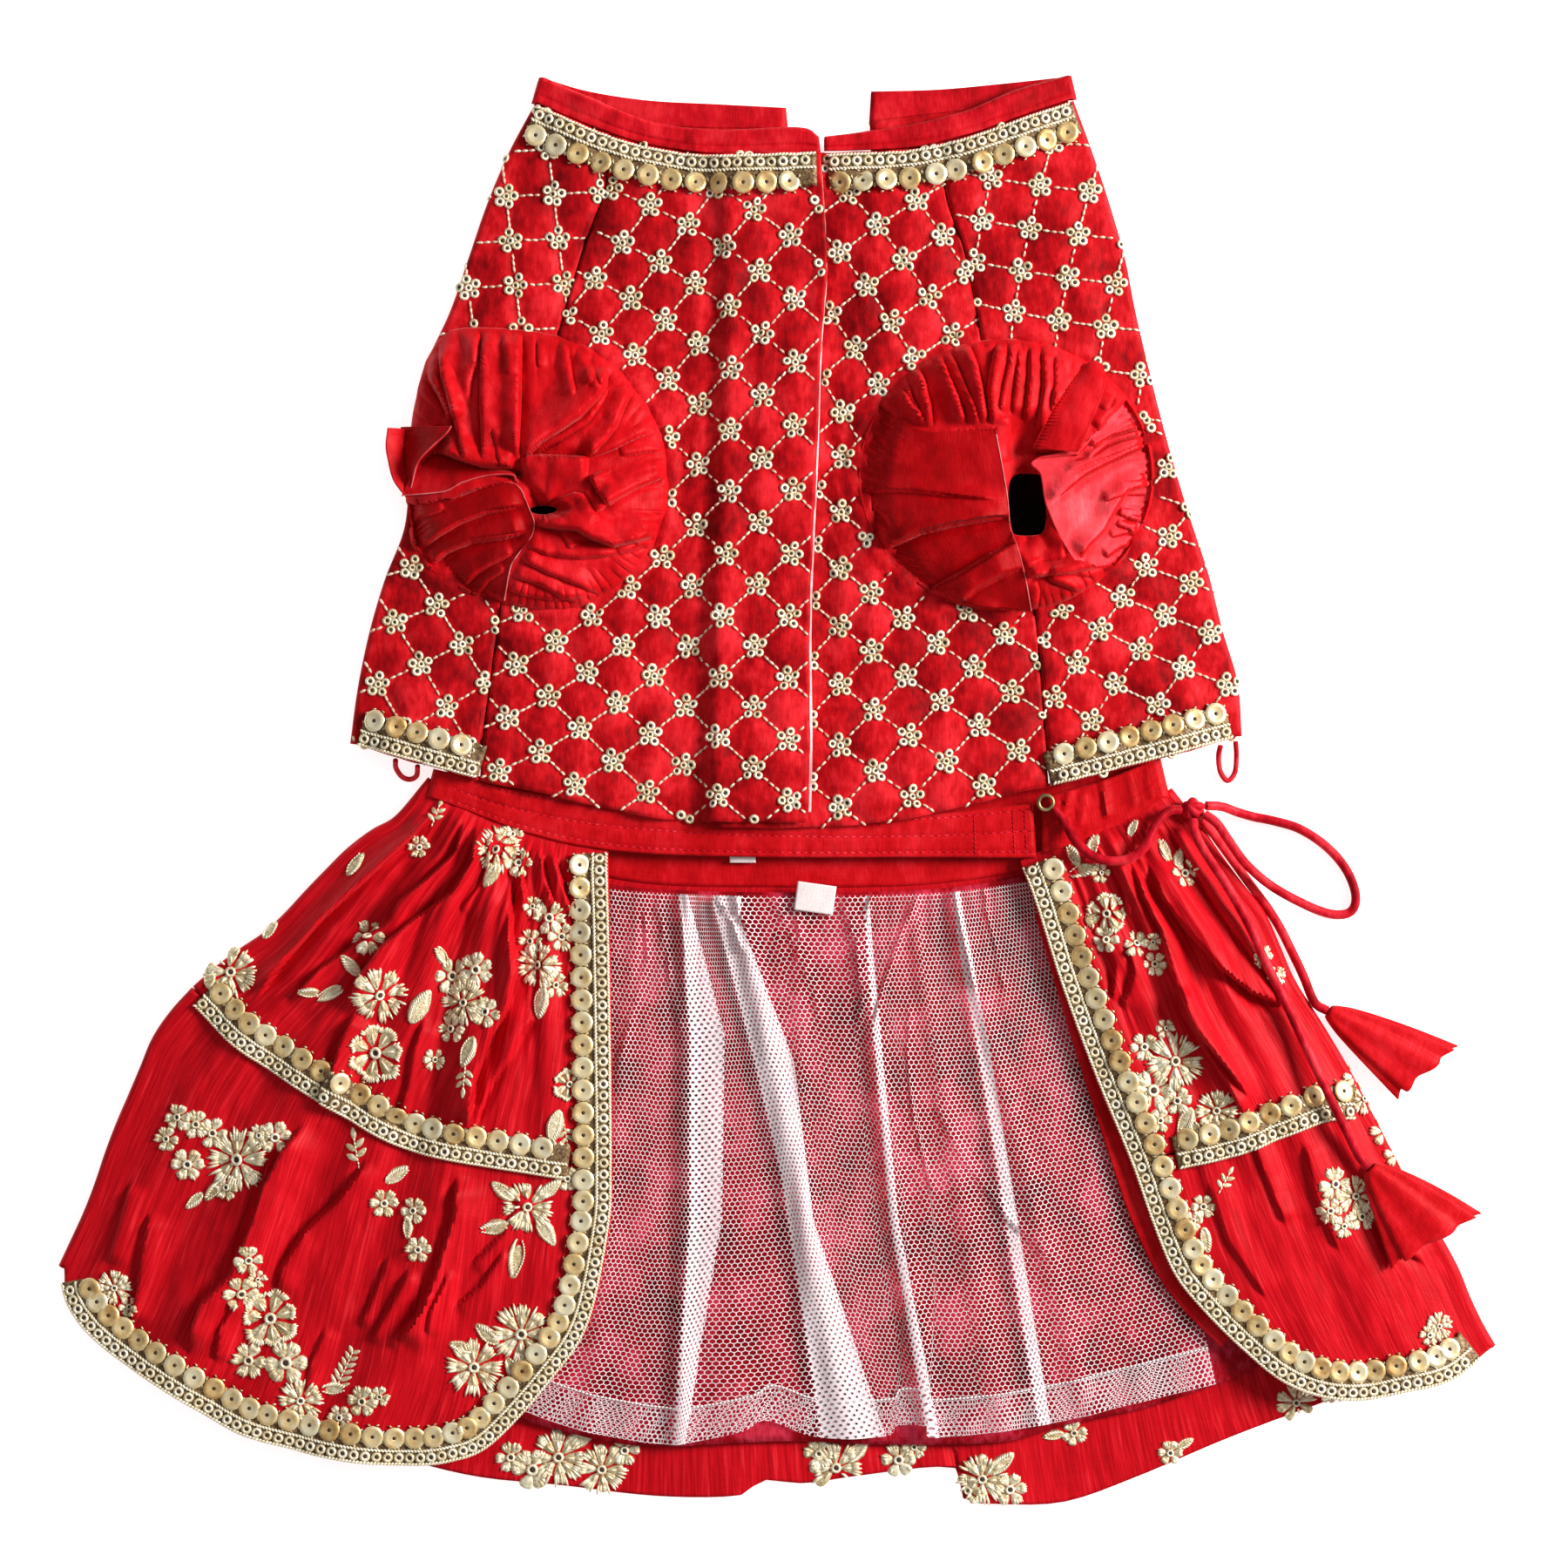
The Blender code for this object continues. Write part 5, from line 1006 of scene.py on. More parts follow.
@dataclass(frozen=True)
class GoldFinish:
    """Gold thread, sequins or metal: two tones by piece, strands between, and its gloss."""

    name: str
    dark: Colour
    base: Colour
    light: Colour
    metallic: float
    roughness: float
    depth: float
    fineness: float = 1.0

    def build(self, effects: Effects) -> bpy.types.Material:
        """Builds the material.

        Args:
            effects: The shared node groups.

        Returns:
            The material.
        """
        made, wires, shader, places = start_material(self.name)
        group = wires.add("ShaderNodeGroup", node_tree=effects.strands)
        wires.tree.links.new(places.outputs["Object"], group.inputs["Vector"])
        group.inputs["Fineness"].default_value = self.fineness
        own = wires.add("ShaderNodeAttribute", attribute_name="tone").outputs["Fac"]
        both = wires.sum("ADD", wires.sum("MULTIPLY", own, 0.55),
                         wires.sum("MULTIPLY", group.outputs["Strands"], 0.45))
        low = wires.mix(wires.spread(both, 0.05, 0.45), self.dark, self.base)
        full = wires.mix(wires.spread(both, 0.45, 0.9), low, self.light)
        wires.tree.links.new(full, shader.inputs["Base Color"])
        bumps = wires.add("ShaderNodeBump", {"Strength": self.depth, "Distance": 0.2 * MM},
                          {"Height": group.outputs["Height"]})
        wires.tree.links.new(bumps.outputs["Normal"], shader.inputs["Normal"])
        rough = wires.add("ShaderNodeMapRange",
                          {"To Min": self.roughness + 0.12, "To Max": self.roughness - 0.08},
                          {"Value": both}, clamp=True)
        wires.tree.links.new(rough.outputs["Result"], shader.inputs["Roughness"])
        shader.inputs["Metallic"].default_value = self.metallic
        return made


@dataclass(frozen=True)
class NetFinish:
    """White hexagon net, seen through between its threads: closer where the mesh marks it as folded."""

    name: str
    colour: Colour
    cell: float
    thread: float
    folded_thread: float

    def build(self, effects: Effects) -> bpy.types.Material:
        """Builds the material.

        Args:
            effects: The shared node groups.

        Returns:
            The material.
        """
        made, wires, shader, places = start_material(self.name)
        net = wires.add("ShaderNodeGroup", node_tree=effects.net)
        wires.tree.links.new(places.outputs["UV"], net.inputs["Vector"])
        net.inputs["Cell"].default_value = self.cell
        folded = wires.add("ShaderNodeAttribute", attribute_name="folded").outputs["Fac"]
        more = wires.sum("MULTIPLY", folded, self.folded_thread - self.thread)
        wires.tree.links.new(wires.sum("ADD", more, self.thread), net.inputs["Thread"])
        wires.tree.links.new(net.outputs["Threads"], shader.inputs["Alpha"])
        strands = wires.add("ShaderNodeGroup", node_tree=effects.strands)
        wires.tree.links.new(places.outputs["Object"], strands.inputs["Vector"])
        shade = tuple(0.8 * c for c in self.colour)
        wires.tree.links.new(wires.mix(strands.outputs["Strands"], shade, self.colour),
                             shader.inputs["Base Color"])
        shader.inputs["Roughness"].default_value = 0.85
        return made


@dataclass
class Finishes:
    """Every material of the garment."""

    effects: Effects = field(default_factory=Effects)

    def __post_init__(self) -> None:
        """Builds the materials, under short names."""
        self.choli = ClothFinish("velvety_red_satin", (0.2, 0.0, 0.002), (0.5, 0.002, 0.006),
                                 (0.8, 0.02, 0.03), 0.55, 0.25, nap=0.5, weave=0.12).build(self.effects)
        self.plain = ClothFinish("red_crepe_satin", (0.4, 0.0, 0.002), (0.54, 0.002, 0.006),
                                 (0.68, 0.012, 0.02), 0.5, 0.3, nap=0.12, weave=0.2,
                                 crease=0.3).build(self.effects)
        self.binding = ClothFinish("red_binding_satin", (0.3, 0.0, 0.002), (0.54, 0.003, 0.01),
                                   (0.74, 0.02, 0.03), 0.55, 0.08, nap=0.3, weave=0.2,
                                   crease=0.3).build(self.effects)
        self.silk = ClothFinish("slubbed_red_silk", (0.36, 0.0, 0.003), (0.58, 0.003, 0.01),
                                (0.74, 0.02, 0.03), 0.5, 0.2, slub=0.05, weave=0.1,
                                crease=0.3).build(self.effects)
        self.cord = ClothFinish("red_rouleau_satin", (0.26, 0.0, 0.004), (0.5, 0.003, 0.014),
                                (0.74, 0.03, 0.045), 0.5, 0.15, nap=0.25, weave=0.0).build(self.effects)
        self.stitch = ClothFinish("red_sewing_thread", (0.4, 0.0, 0.008), (0.6, 0.012, 0.03),
                                  (0.8, 0.05, 0.07), 0.5, 0.1, nap=0.3, weave=0.0).build(self.effects)
        self.tape = ClothFinish("white_tape", (0.7, 0.56, 0.55), (0.86, 0.76, 0.75), (0.94, 0.88, 0.87),
                                0.8, 0.0, weave=0.12, fineness=1.4).build(self.effects)
        self.thread = GoldFinish("gold_embroidery_thread", (0.14, 0.07, 0.02), (0.58, 0.44, 0.22),
                                 (1.0, 0.94, 0.72), 0.35, 0.42, 0.8).build(self.effects)
        self.sequin = GoldFinish("gold_sequins", (0.54, 0.28, 0.08), (0.85, 0.62, 0.29),
                                 (1.0, 0.91, 0.64), 0.55, 0.36, 0.15, 0.3).build(self.effects)
        self.ring = GoldFinish("gold_ring_thread", (0.4, 0.26, 0.12), (0.82, 0.68, 0.42),
                               (1.0, 0.96, 0.8), 0.25, 0.45, 0.5).build(self.effects)
        self.ground = GoldFinish("gold_lace_ground", (0.08, 0.03, 0.01), (0.3, 0.19, 0.08),
                                 (0.78, 0.64, 0.38), 0.3, 0.5, 0.8).build(self.effects)
        # Near-black dots for the holes of rings and sequins: painted shade where the holes fall dark.
        self.shade = GoldFinish("painted_shade_in_ring_holes", (0.02, 0.008, 0.004), (0.05, 0.018, 0.008),
                                (0.12, 0.05, 0.02), 0.0, 0.7, 0.2).build(self.effects)
        # A darker copy of the plain satin: painted shade, for the sleeve folds that lie in shade.
        self.shaded_satin = ClothFinish("red_satin_painted_shade", (0.28, 0.0, 0.001), (0.38, 0.0, 0.002),
                                   (0.48, 0.004, 0.008), 0.5, 0.16, nap=0.12, weave=0.2,
                                   crease=0.25).build(self.effects)
        # A lighter, pinker copy of the plain satin: painted light, for the sleeve fold that faces the lamp.
        self.raised = ClothFinish("red_satin_painted_light", (0.68, 0.02, 0.03), (0.76, 0.04, 0.055),
                                  (0.88, 0.09, 0.11), 0.5, 0.3, nap=0.08, weave=0.2,
                                  crease=0.25).build(self.effects)
        # Near-black cloth inside the sleeve mouths: painted shadow where the hollow falls dark.
        self.inside = ClothFinish("painted_shadow_in_sleeve_mouth", (0.004, 0.0, 0.0), (0.012, 0.0, 0.0),
                                  (0.03, 0.001, 0.001),
                                  0.9, 0.0, nap=0.2, weave=0.0).build(self.effects)
        self.lining = ClothFinish("dark_red_lining", (0.14, 0.0, 0.002), (0.36, 0.002, 0.008),
                                  (0.7, 0.04, 0.09),
                                  0.6, 0.05, nap=0.6, weave=0.2, crease=0.3).build(self.effects)
        self.hooks = ClothFinish("pale_pink_hook_tape", (0.6, 0.22, 0.22), (0.82, 0.46, 0.45),
                                 (0.94, 0.7, 0.68),
                                 0.8, 0.05, nap=0.3, weave=0.0).build(self.effects)
        self.dash = GoldFinish("pale_pink_gold_thread", (0.42, 0.14, 0.08), (0.78, 0.5, 0.36),
                               (1.0, 0.86, 0.68), 0.2, 0.5, 0.4).build(self.effects)
        # Pale edge of the loose sleeve folds: their cut threads, and a painted highlight where the edge
        # catches the light.
        self.rim = ClothFinish("pale_red_cut_edge_and_highlight", (0.5, 0.03, 0.04), (0.74, 0.12, 0.13), (0.9, 0.28, 0.28),
                               0.7, 0.0, nap=0.4, weave=0.0).build(self.effects)
        self.brass = GoldFinish("worn_brass", (0.25, 0.17, 0.07), (0.55, 0.42, 0.2),
                                (0.8, 0.68, 0.4), 0.9, 0.35, 0.1, 0.1).build(self.effects)
        self.net = NetFinish("white_net_threads", (0.98, 0.84, 0.87), 0.0014, 0.135, 0.5).build(self.effects)
        self.floor = self.floor_paper()

    def floor_paper(self) -> bpy.types.Material:
        """The pale surface under the garment.

        Returns:
            The material.
        """
        made, wires, shader, places = start_material("white_paper")
        grain = wires.noise(places.outputs["Object"], (30.0, 30.0, 30.0), 2.0)
        wires.tree.links.new(wires.mix(grain, (0.93, 0.93, 0.93), (0.96, 0.96, 0.96)),
                             shader.inputs["Base Color"])
        shader.inputs["Roughness"].default_value = 0.9
        shader.inputs["Specular IOR Level"].default_value = 0.0
        shader.inputs["Emission Color"].default_value = (1.0, 1.0, 1.0, 1.0)
        shader.inputs["Emission Strength"].default_value = 0.75
        return made


# Making pieces


def ready(made: bpy.types.Object, slot: Slot, *nodes: str) -> bpy.types.Object:
    """Finishes a piece: it rides on the garment and takes the place of these CAD nodes, which are hidden.

    Args:
        made: The piece.
        slot: The material slot that it belongs to; not used.
        nodes: The CAD nodes that it takes the place of.

    Returns:
        The same piece.
    """
    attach(made, "root")
    if nodes:
        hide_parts(*nodes)
    log.info("%s: %d faces, for %s", made.name, len(getattr(made.data, "polygons", [])),
             ", ".join(nodes) or "-")
    return made


def add_object(name: str, mesh: bmesh.types.BMesh, skin: bpy.types.Material,
               sharp: float = 60.0) -> bpy.types.Object:
    """An object from a bmesh, which is freed.

    Args:
        name: The object's name.
        mesh: The finished shape, in metres.
        skin: Its material.
        sharp: The angle in degrees from which an edge stays sharp.

    Returns:
        The object, at the origin.
    """
    data = bpy.data.meshes.new(name)
    mesh.to_mesh(data)
    mesh.free()
    data.shade_smooth()
    data.set_sharp_from_angle(angle=math.radians(sharp))
    data.materials.append(skin)
    made = bpy.data.objects.new(name, data)
    bpy.context.scene.collection.objects.link(made)
    return made


@dataclass
class Sheet:
    """A cloth sheet: columns of points that run down it, in millimetres, made into a thin shell.

    The columns give its outer face. turned flips that face, closed joins the last column to the first, and
    holes are tests of a place in plan where the cloth is cut away, and folded says of each column whether it
    lies on other layers of the same cloth.
    """

    name: str
    columns: Sequence[Callable[[float], Vector]]
    rows: int
    skin: bpy.types.Material
    thickness: float = 0.8
    turned: bool = False
    closed: bool = False
    holes: Sequence[Callable[[Vector], bool]] = ()
    folded: Sequence[bool] = ()
    width: float = 0.0
    length: float = 0.0
    area: float = 0.0

    def build(self) -> bpy.types.Object:
        """Builds the shell and measures its cut.

        Returns:
            The object.
        """
        grid = [[column(down) for down in even(self.rows)] for column in self.columns]
        count = len(grid)
        across = [0.0]
        for before, here in zip(grid, grid[1:]):
            steps = [(a - b).length for a, b in zip(before, here)]
            across.append(across[-1] + sum(steps) / len(steps))
        lengths = []
        for column in grid:
            lengths.append([0.0])
            for a, b in zip(column, column[1:]):
                lengths[-1].append(lengths[-1][-1] + (b - a).length)
        mesh = bmesh.new()
        chart = mesh.loops.layers.uv.new("UVMap")
        bmesh.ops.create_grid(mesh, x_segments=count - 1, y_segments=self.rows, size=0.5)
        mesh.verts.index_update()
        places = [(round((v.co.x + 0.5) * (count - 1)), round((0.5 - v.co.y) * self.rows))
                  for v in mesh.verts]
        for face in mesh.faces:
            for loop in face.loops:
                i, j = places[loop.vert.index]
                loop[chart].uv = (across[i] * MM, -lengths[i][j] * MM)
        for vert in mesh.verts:
            i, j = places[vert.index]
            vert.co = grid[i][j] * MM
        if self.folded:
            mark = mesh.verts.layers.float.new("folded")
            for vert in mesh.verts:
                vert[mark] = float(self.folded[places[vert.index][0]])
        if self.closed:
            bmesh.ops.remove_doubles(mesh, verts=mesh.verts[:], dist=0.00001)
        if self.turned:
            bmesh.ops.reverse_faces(mesh, faces=mesh.faces[:])
        if self.holes:
            gone = [f for f in mesh.faces if any(hole(f.calc_center_median() / MM) for hole in self.holes)]
            bmesh.ops.delete(mesh, geom=gone, context="FACES")
        self.area = sum(f.calc_area() for f in mesh.faces)
        self.width = max(across[-1], 1.0) * MM
        self.length = max(column[-1] for column in lengths) * MM
        made = add_object(self.name, mesh, self.skin)
        if self.thickness:
            shell = made.modifiers.new("cloth", "SOLIDIFY")
            shell.thickness = self.thickness * MM
            shell.offset = -1.0
        return made

    def declare(self, rests_on: Sequence[str] = ()) -> None:
        """Works out the width, length and area of the sheet's cut, unless it is a strip; nothing is kept.

        Args:
            rests_on: The pieces that it lies on; not used.
        """
        if min(self.width, self.length) < 0.01:
            return
        width, length = self.width, self.length
        if self.area > width * length:
            width = self.area / length * 1.002
        width, length = round(width, 3), round(length, 3)
        area = min(self.area, width * length)


@dataclass
class Hit:
    """Where something lands on the garment: the point in millimetres, the normal and the piece."""

    point: Vector
    normal: Vector
    owner: str


class Surface:
    """Faces of finished pieces, to lay other pieces on from above or from below."""

    SKY = 60.0

    def __init__(self, *pieces: bpy.types.Object) -> None:
        """Reads the pieces with their modifiers."""
        bpy.context.view_layer.update()
        graph = bpy.context.evaluated_depsgraph_get()
        self.trees = {piece.name: BVHTree.FromObject(piece, graph) for piece in pieces}

    def land(self, x: float, y: float, from_below: bool = False) -> Hit | None:
        """Where a straight drop meets the pieces.

        Args:
            x: The place, to the right.
            y: The place, towards the neck.
            from_below: Whether it comes up from below instead.

        Returns:
            The first hit, or None beside the pieces.
        """
        way = 1.0 if from_below else -1.0
        start = Vector((x, y, -way * self.SKY)) * MM
        best = None
        for name, tree in self.trees.items():
            point, normal, _, away = tree.ray_cast(start, Vector((0, 0, way)))
            if point and (best is None or away < best[0]):
                if normal.z * way > 0:
                    normal = -normal
                best = (away, Hit(point / MM, normal, name))
        return best[1] if best else None

    def top(self, x: float, y: float, around: float = 1.0, default: float = 0.0) -> float:
        """The highest point at x, y and close around it.

        Args:
            x: The place's x.
            y: The place's y.
            around: How far away the four places beside it are.
            default: The least height given.

        Returns:
            The height in millimetres.
        """
        found = default
        for dx, dy in ((0, 0), (around, 0), (-around, 0), (0, around), (0, -around)):
            hit = self.land(x + dx, y + dy)
            if hit:
                found = max(found, hit.point.z)
        return found


def unit_ring(segments: int = 10, wire: float = 0.42, sides: int = 4) -> bmesh.types.BMesh:
    """A ring of outer radius 1, lying flat, with wire of this radius.

    Args:
        segments: The steps round the ring.
        wire: The wire's radius.
        sides: The wire's sides.

    Returns:
        The mesh.
    """
    mesh = bmesh.new()
    bmesh.ops.create_circle(mesh, segments=sides, radius=wire)
    bmesh.ops.rotate(mesh, cent=(0, 0, 0), verts=mesh.verts[:], matrix=Matrix.Rotation(math.pi / 2, 3, "X"))
    bmesh.ops.translate(mesh, vec=(1 - wire, 0, 0), verts=mesh.verts[:])
    bmesh.ops.spin(mesh, geom=mesh.verts[:] + mesh.edges[:], cent=(0, 0, 0), axis=(0, 0, 1), steps=segments,
                   angle=2 * math.pi, use_merge=True)
    bmesh.ops.remove_doubles(mesh, verts=mesh.verts[:], dist=0.001)
    bmesh.ops.recalc_face_normals(mesh, faces=mesh.faces[:])
    return mesh


def unit_stitch() -> bmesh.types.BMesh:
    """A stitch of length and width 1, as a small rounded bar.

    Returns:
        The mesh.
    """
    mesh = bmesh.new()
    bmesh.ops.create_icosphere(mesh, subdivisions=1, radius=0.5)
    return mesh


def unit_sequin() -> bmesh.types.BMesh:
    """A sequin of radius 1: a dished disc with a rim, a ridge and a small hole.

    Returns:
        The mesh.
    """
    mesh = bmesh.new()
    bmesh.ops.create_circle(mesh, segments=12, radius=0.12)
    edges = mesh.edges[:]
    for radius, z in ((0.24, 0.14), (0.5, 0.05), (0.64, 0.16), (0.92, 0.14), (1.0, 0.0)):
        grown = bmesh.ops.extrude_edge_only(mesh, edges=edges)["geom"]
        ring = [v for v in grown if isinstance(v, bmesh.types.BMVert)]
        edges = [e for e in grown if isinstance(e, bmesh.types.BMEdge)]
        for vert in ring:
            flat = Vector((vert.co.x, vert.co.y)).normalized() * radius
            vert.co = (flat.x, flat.y, z)
    bmesh.ops.recalc_face_normals(mesh, faces=mesh.faces[:])
    if mesh.faces[0].normal.z < 0:
        bmesh.ops.reverse_faces(mesh, faces=mesh.faces[:])
    return mesh


def unit_petal(point: float) -> bmesh.types.BMesh:
    """A raised petal from 0 to 1 along X, 1 wide and 1 high: point is 0 for a round tip and 1 for a sharp
    one.

    Args:
        point: How sharp the tip is, from 0 to 1.

    Returns:
        The mesh.
    """
    mesh = bmesh.new()
    bmesh.ops.create_uvsphere(mesh, u_segments=8, v_segments=6, radius=0.5)
    bmesh.ops.rotate(mesh, cent=(0, 0, 0), verts=mesh.verts[:], matrix=Matrix.Rotation(math.pi / 2, 3, "Y"))
    bmesh.ops.translate(mesh, vec=(0.5, 0, 0), verts=mesh.verts[:])
    for vert in mesh.verts:
        x = vert.co.x
        shape = (0.42 + 0.85 * x) * (1 - point) + point * (1.15 - 0.35 * abs(2 * x - 0.8))
        vert.co.y *= shape
        vert.co.z = max(-0.2, vert.co.z) * (1.0 - 0.25 * abs(vert.co.y))
    bmesh.ops.recalc_face_normals(mesh, faces=mesh.faces[:])
    return mesh


class Scatter:
    """Many copies of one small shape, laid on the cloth and made one mesh."""

    def __init__(self, name: str, shape: bmesh.types.BMesh, skin: bpy.types.Material) -> None:
        """Takes the unit shape and the material of the copies.

        Args:
            name: The name of the finished piece.
            shape: The unit shape.
            skin: The material of the copies.
        """
        self.name = name
        self.shape = shape
        self.skin = skin
        self.rows: list[tuple[Vector, Vector, Vector, float]] = []

    def put(self, point: Vector, normal: Vector, heading: float, size: tuple[float, float, float],
            tone: float = 0.5, tilt: float = 0.0) -> None:
        """Adds a copy.

        Args:
            point: Its place in millimetres.
            normal: The way up.
            heading: The turn of its X axis about the way up, in degrees from +X.
            size: Its length, width and height in millimetres.
            tone: From 0, dark, to 1, light.
            tilt: How far its X axis leans up, in degrees.
        """
        turn = math.radians(heading)
        along = Vector((math.cos(turn), math.sin(turn), 0.0))
        along = (along - normal * along.dot(normal)).normalized()
        if tilt:
            along = (along * math.cos(math.radians(tilt))
                     + normal * math.sin(math.radians(tilt))).normalized()
        side = normal.cross(along).normalized()
        up = along.cross(side)
        matrix = Matrix((along, side, up)).transposed()
        self.rows.append((point * MM, Vector(matrix.to_euler()), Vector(size) * MM, tone))

    def build(self, slot: Slot) -> bpy.types.Object:
        """Makes the copies one mesh.

        Args:
            slot: The slot of its finish.

        Returns:
            The object.
        """
        data = bpy.data.meshes.new(f"{self.name}_shape")
        self.shape.to_mesh(data)
        self.shape.free()
        data.shade_smooth()
        data.materials.append(self.skin)
        shape = bpy.data.objects.new(f"{self.name}_shape", data)
        bpy.context.scene.collection.objects.link(shape)
        cloud = bpy.data.meshes.new(f"{self.name}_places")
        cloud.from_pydata([row[0] for row in self.rows], [], [])
        for label, kind, place, key in (("turn", "FLOAT_VECTOR", 1, "vector"),
                                        ("size", "FLOAT_VECTOR", 2, "vector"),
                                        ("tone", "FLOAT", 3, "value")):
            layer = cloud.attributes.new(label, kind, "POINT")
            flat = [row[place] for row in self.rows]
            layer.data.foreach_set(key, flat if key == "value" else [c for v in flat for c in v])
        host = bpy.data.objects.new(self.name, cloud)
        bpy.context.scene.collection.objects.link(host)
        tree = self.placing(shape)
        host.modifiers.new("copies", "NODES").node_group = tree
        bpy.context.view_layer.update()
        graph = bpy.context.evaluated_depsgraph_get()
        baked = bpy.data.meshes.new_from_object(host.evaluated_get(graph), preserve_all_data_layers=True,
                                                depsgraph=graph)
        host.modifiers.clear()
        host.data = baked
        baked.name = self.name
        baked.shade_smooth()
        if not baked.materials:
            baked.materials.append(self.skin)
        bpy.data.objects.remove(shape)
        bpy.data.node_groups.remove(tree)
        bpy.data.meshes.remove(cloud)
        return ready(host, slot)

    @staticmethod
    def placing(shape: bpy.types.Object) -> bpy.types.NodeTree:
        """The geometry nodes that copy the shape to each place, turned and sized.

        Args:
            shape: The object that is copied.

        Returns:
            The node tree.
        """
        tree = bpy.data.node_groups.new("copy_to_places", "GeometryNodeTree")
        tree.interface.new_socket("Geometry", in_out="INPUT", socket_type="NodeSocketGeometry")
        tree.interface.new_socket("Geometry", in_out="OUTPUT", socket_type="NodeSocketGeometry")
        wires = Wiring(tree)
        source, sink = wires.add("NodeGroupInput"), wires.add("NodeGroupOutput")
        info = wires.add("GeometryNodeObjectInfo")
        info.inputs["Object"].default_value = shape
        turn = wires.add("GeometryNodeInputNamedAttribute", {"Name": "turn"}, data_type="FLOAT_VECTOR")
        size = wires.add("GeometryNodeInputNamedAttribute", {"Name": "size"}, data_type="FLOAT_VECTOR")
        euler = wires.add("FunctionNodeEulerToRotation", None, {0: turn.outputs["Attribute"]})
        copies = wires.add("GeometryNodeInstanceOnPoints", None,
                           {"Points": source.outputs[0], "Instance": info.outputs["Geometry"],
                            "Rotation": euler.outputs[0], "Scale": size.outputs["Attribute"]})
        real = wires.add("GeometryNodeRealizeInstances", None, {0: copies.outputs[0]})
        tree.links.new(real.outputs[0], sink.inputs[0])
        return tree


def steady(seed: float) -> float:
    """A number from 0 to 1 that is always the same for the same seed."""
    return (math.sin(seed * 12.9898 + 4.1414) * 43758.5453) % 1.0


def tube(name: str, route: Route, radius: float, skin: bpy.types.Material, spacing: float,
         sides: int = 4) -> bpy.types.Object:
    """A round cord along a route, as a curve of one spline.

    Args:
        name: The object's name.
        route: Its middle line, in millimetres.
        radius: Its radius in millimetres.
        skin: Its material.
        spacing: The distance between its points.
        sides: How finely it is round.

    Returns:
        The curve object.
    """
    count = max(6, round(route.length / spacing))
    data = bpy.data.curves.new(name, "CURVE")
    data.dimensions = "3D"
    data.bevel_depth = radius * MM
    data.bevel_resolution = sides
    data.use_fill_caps = True
    spline = data.splines.new("POLY")
    spline.points.add(count)
    for point, share in zip(spline.points, even(count)):
        point.co = (*(route.at(share) * MM), 1)
    data.materials.append(skin)
    made = bpy.data.objects.new(name, data)
    bpy.context.scene.collection.objects.link(made)
    return made


# The trellis and the choli


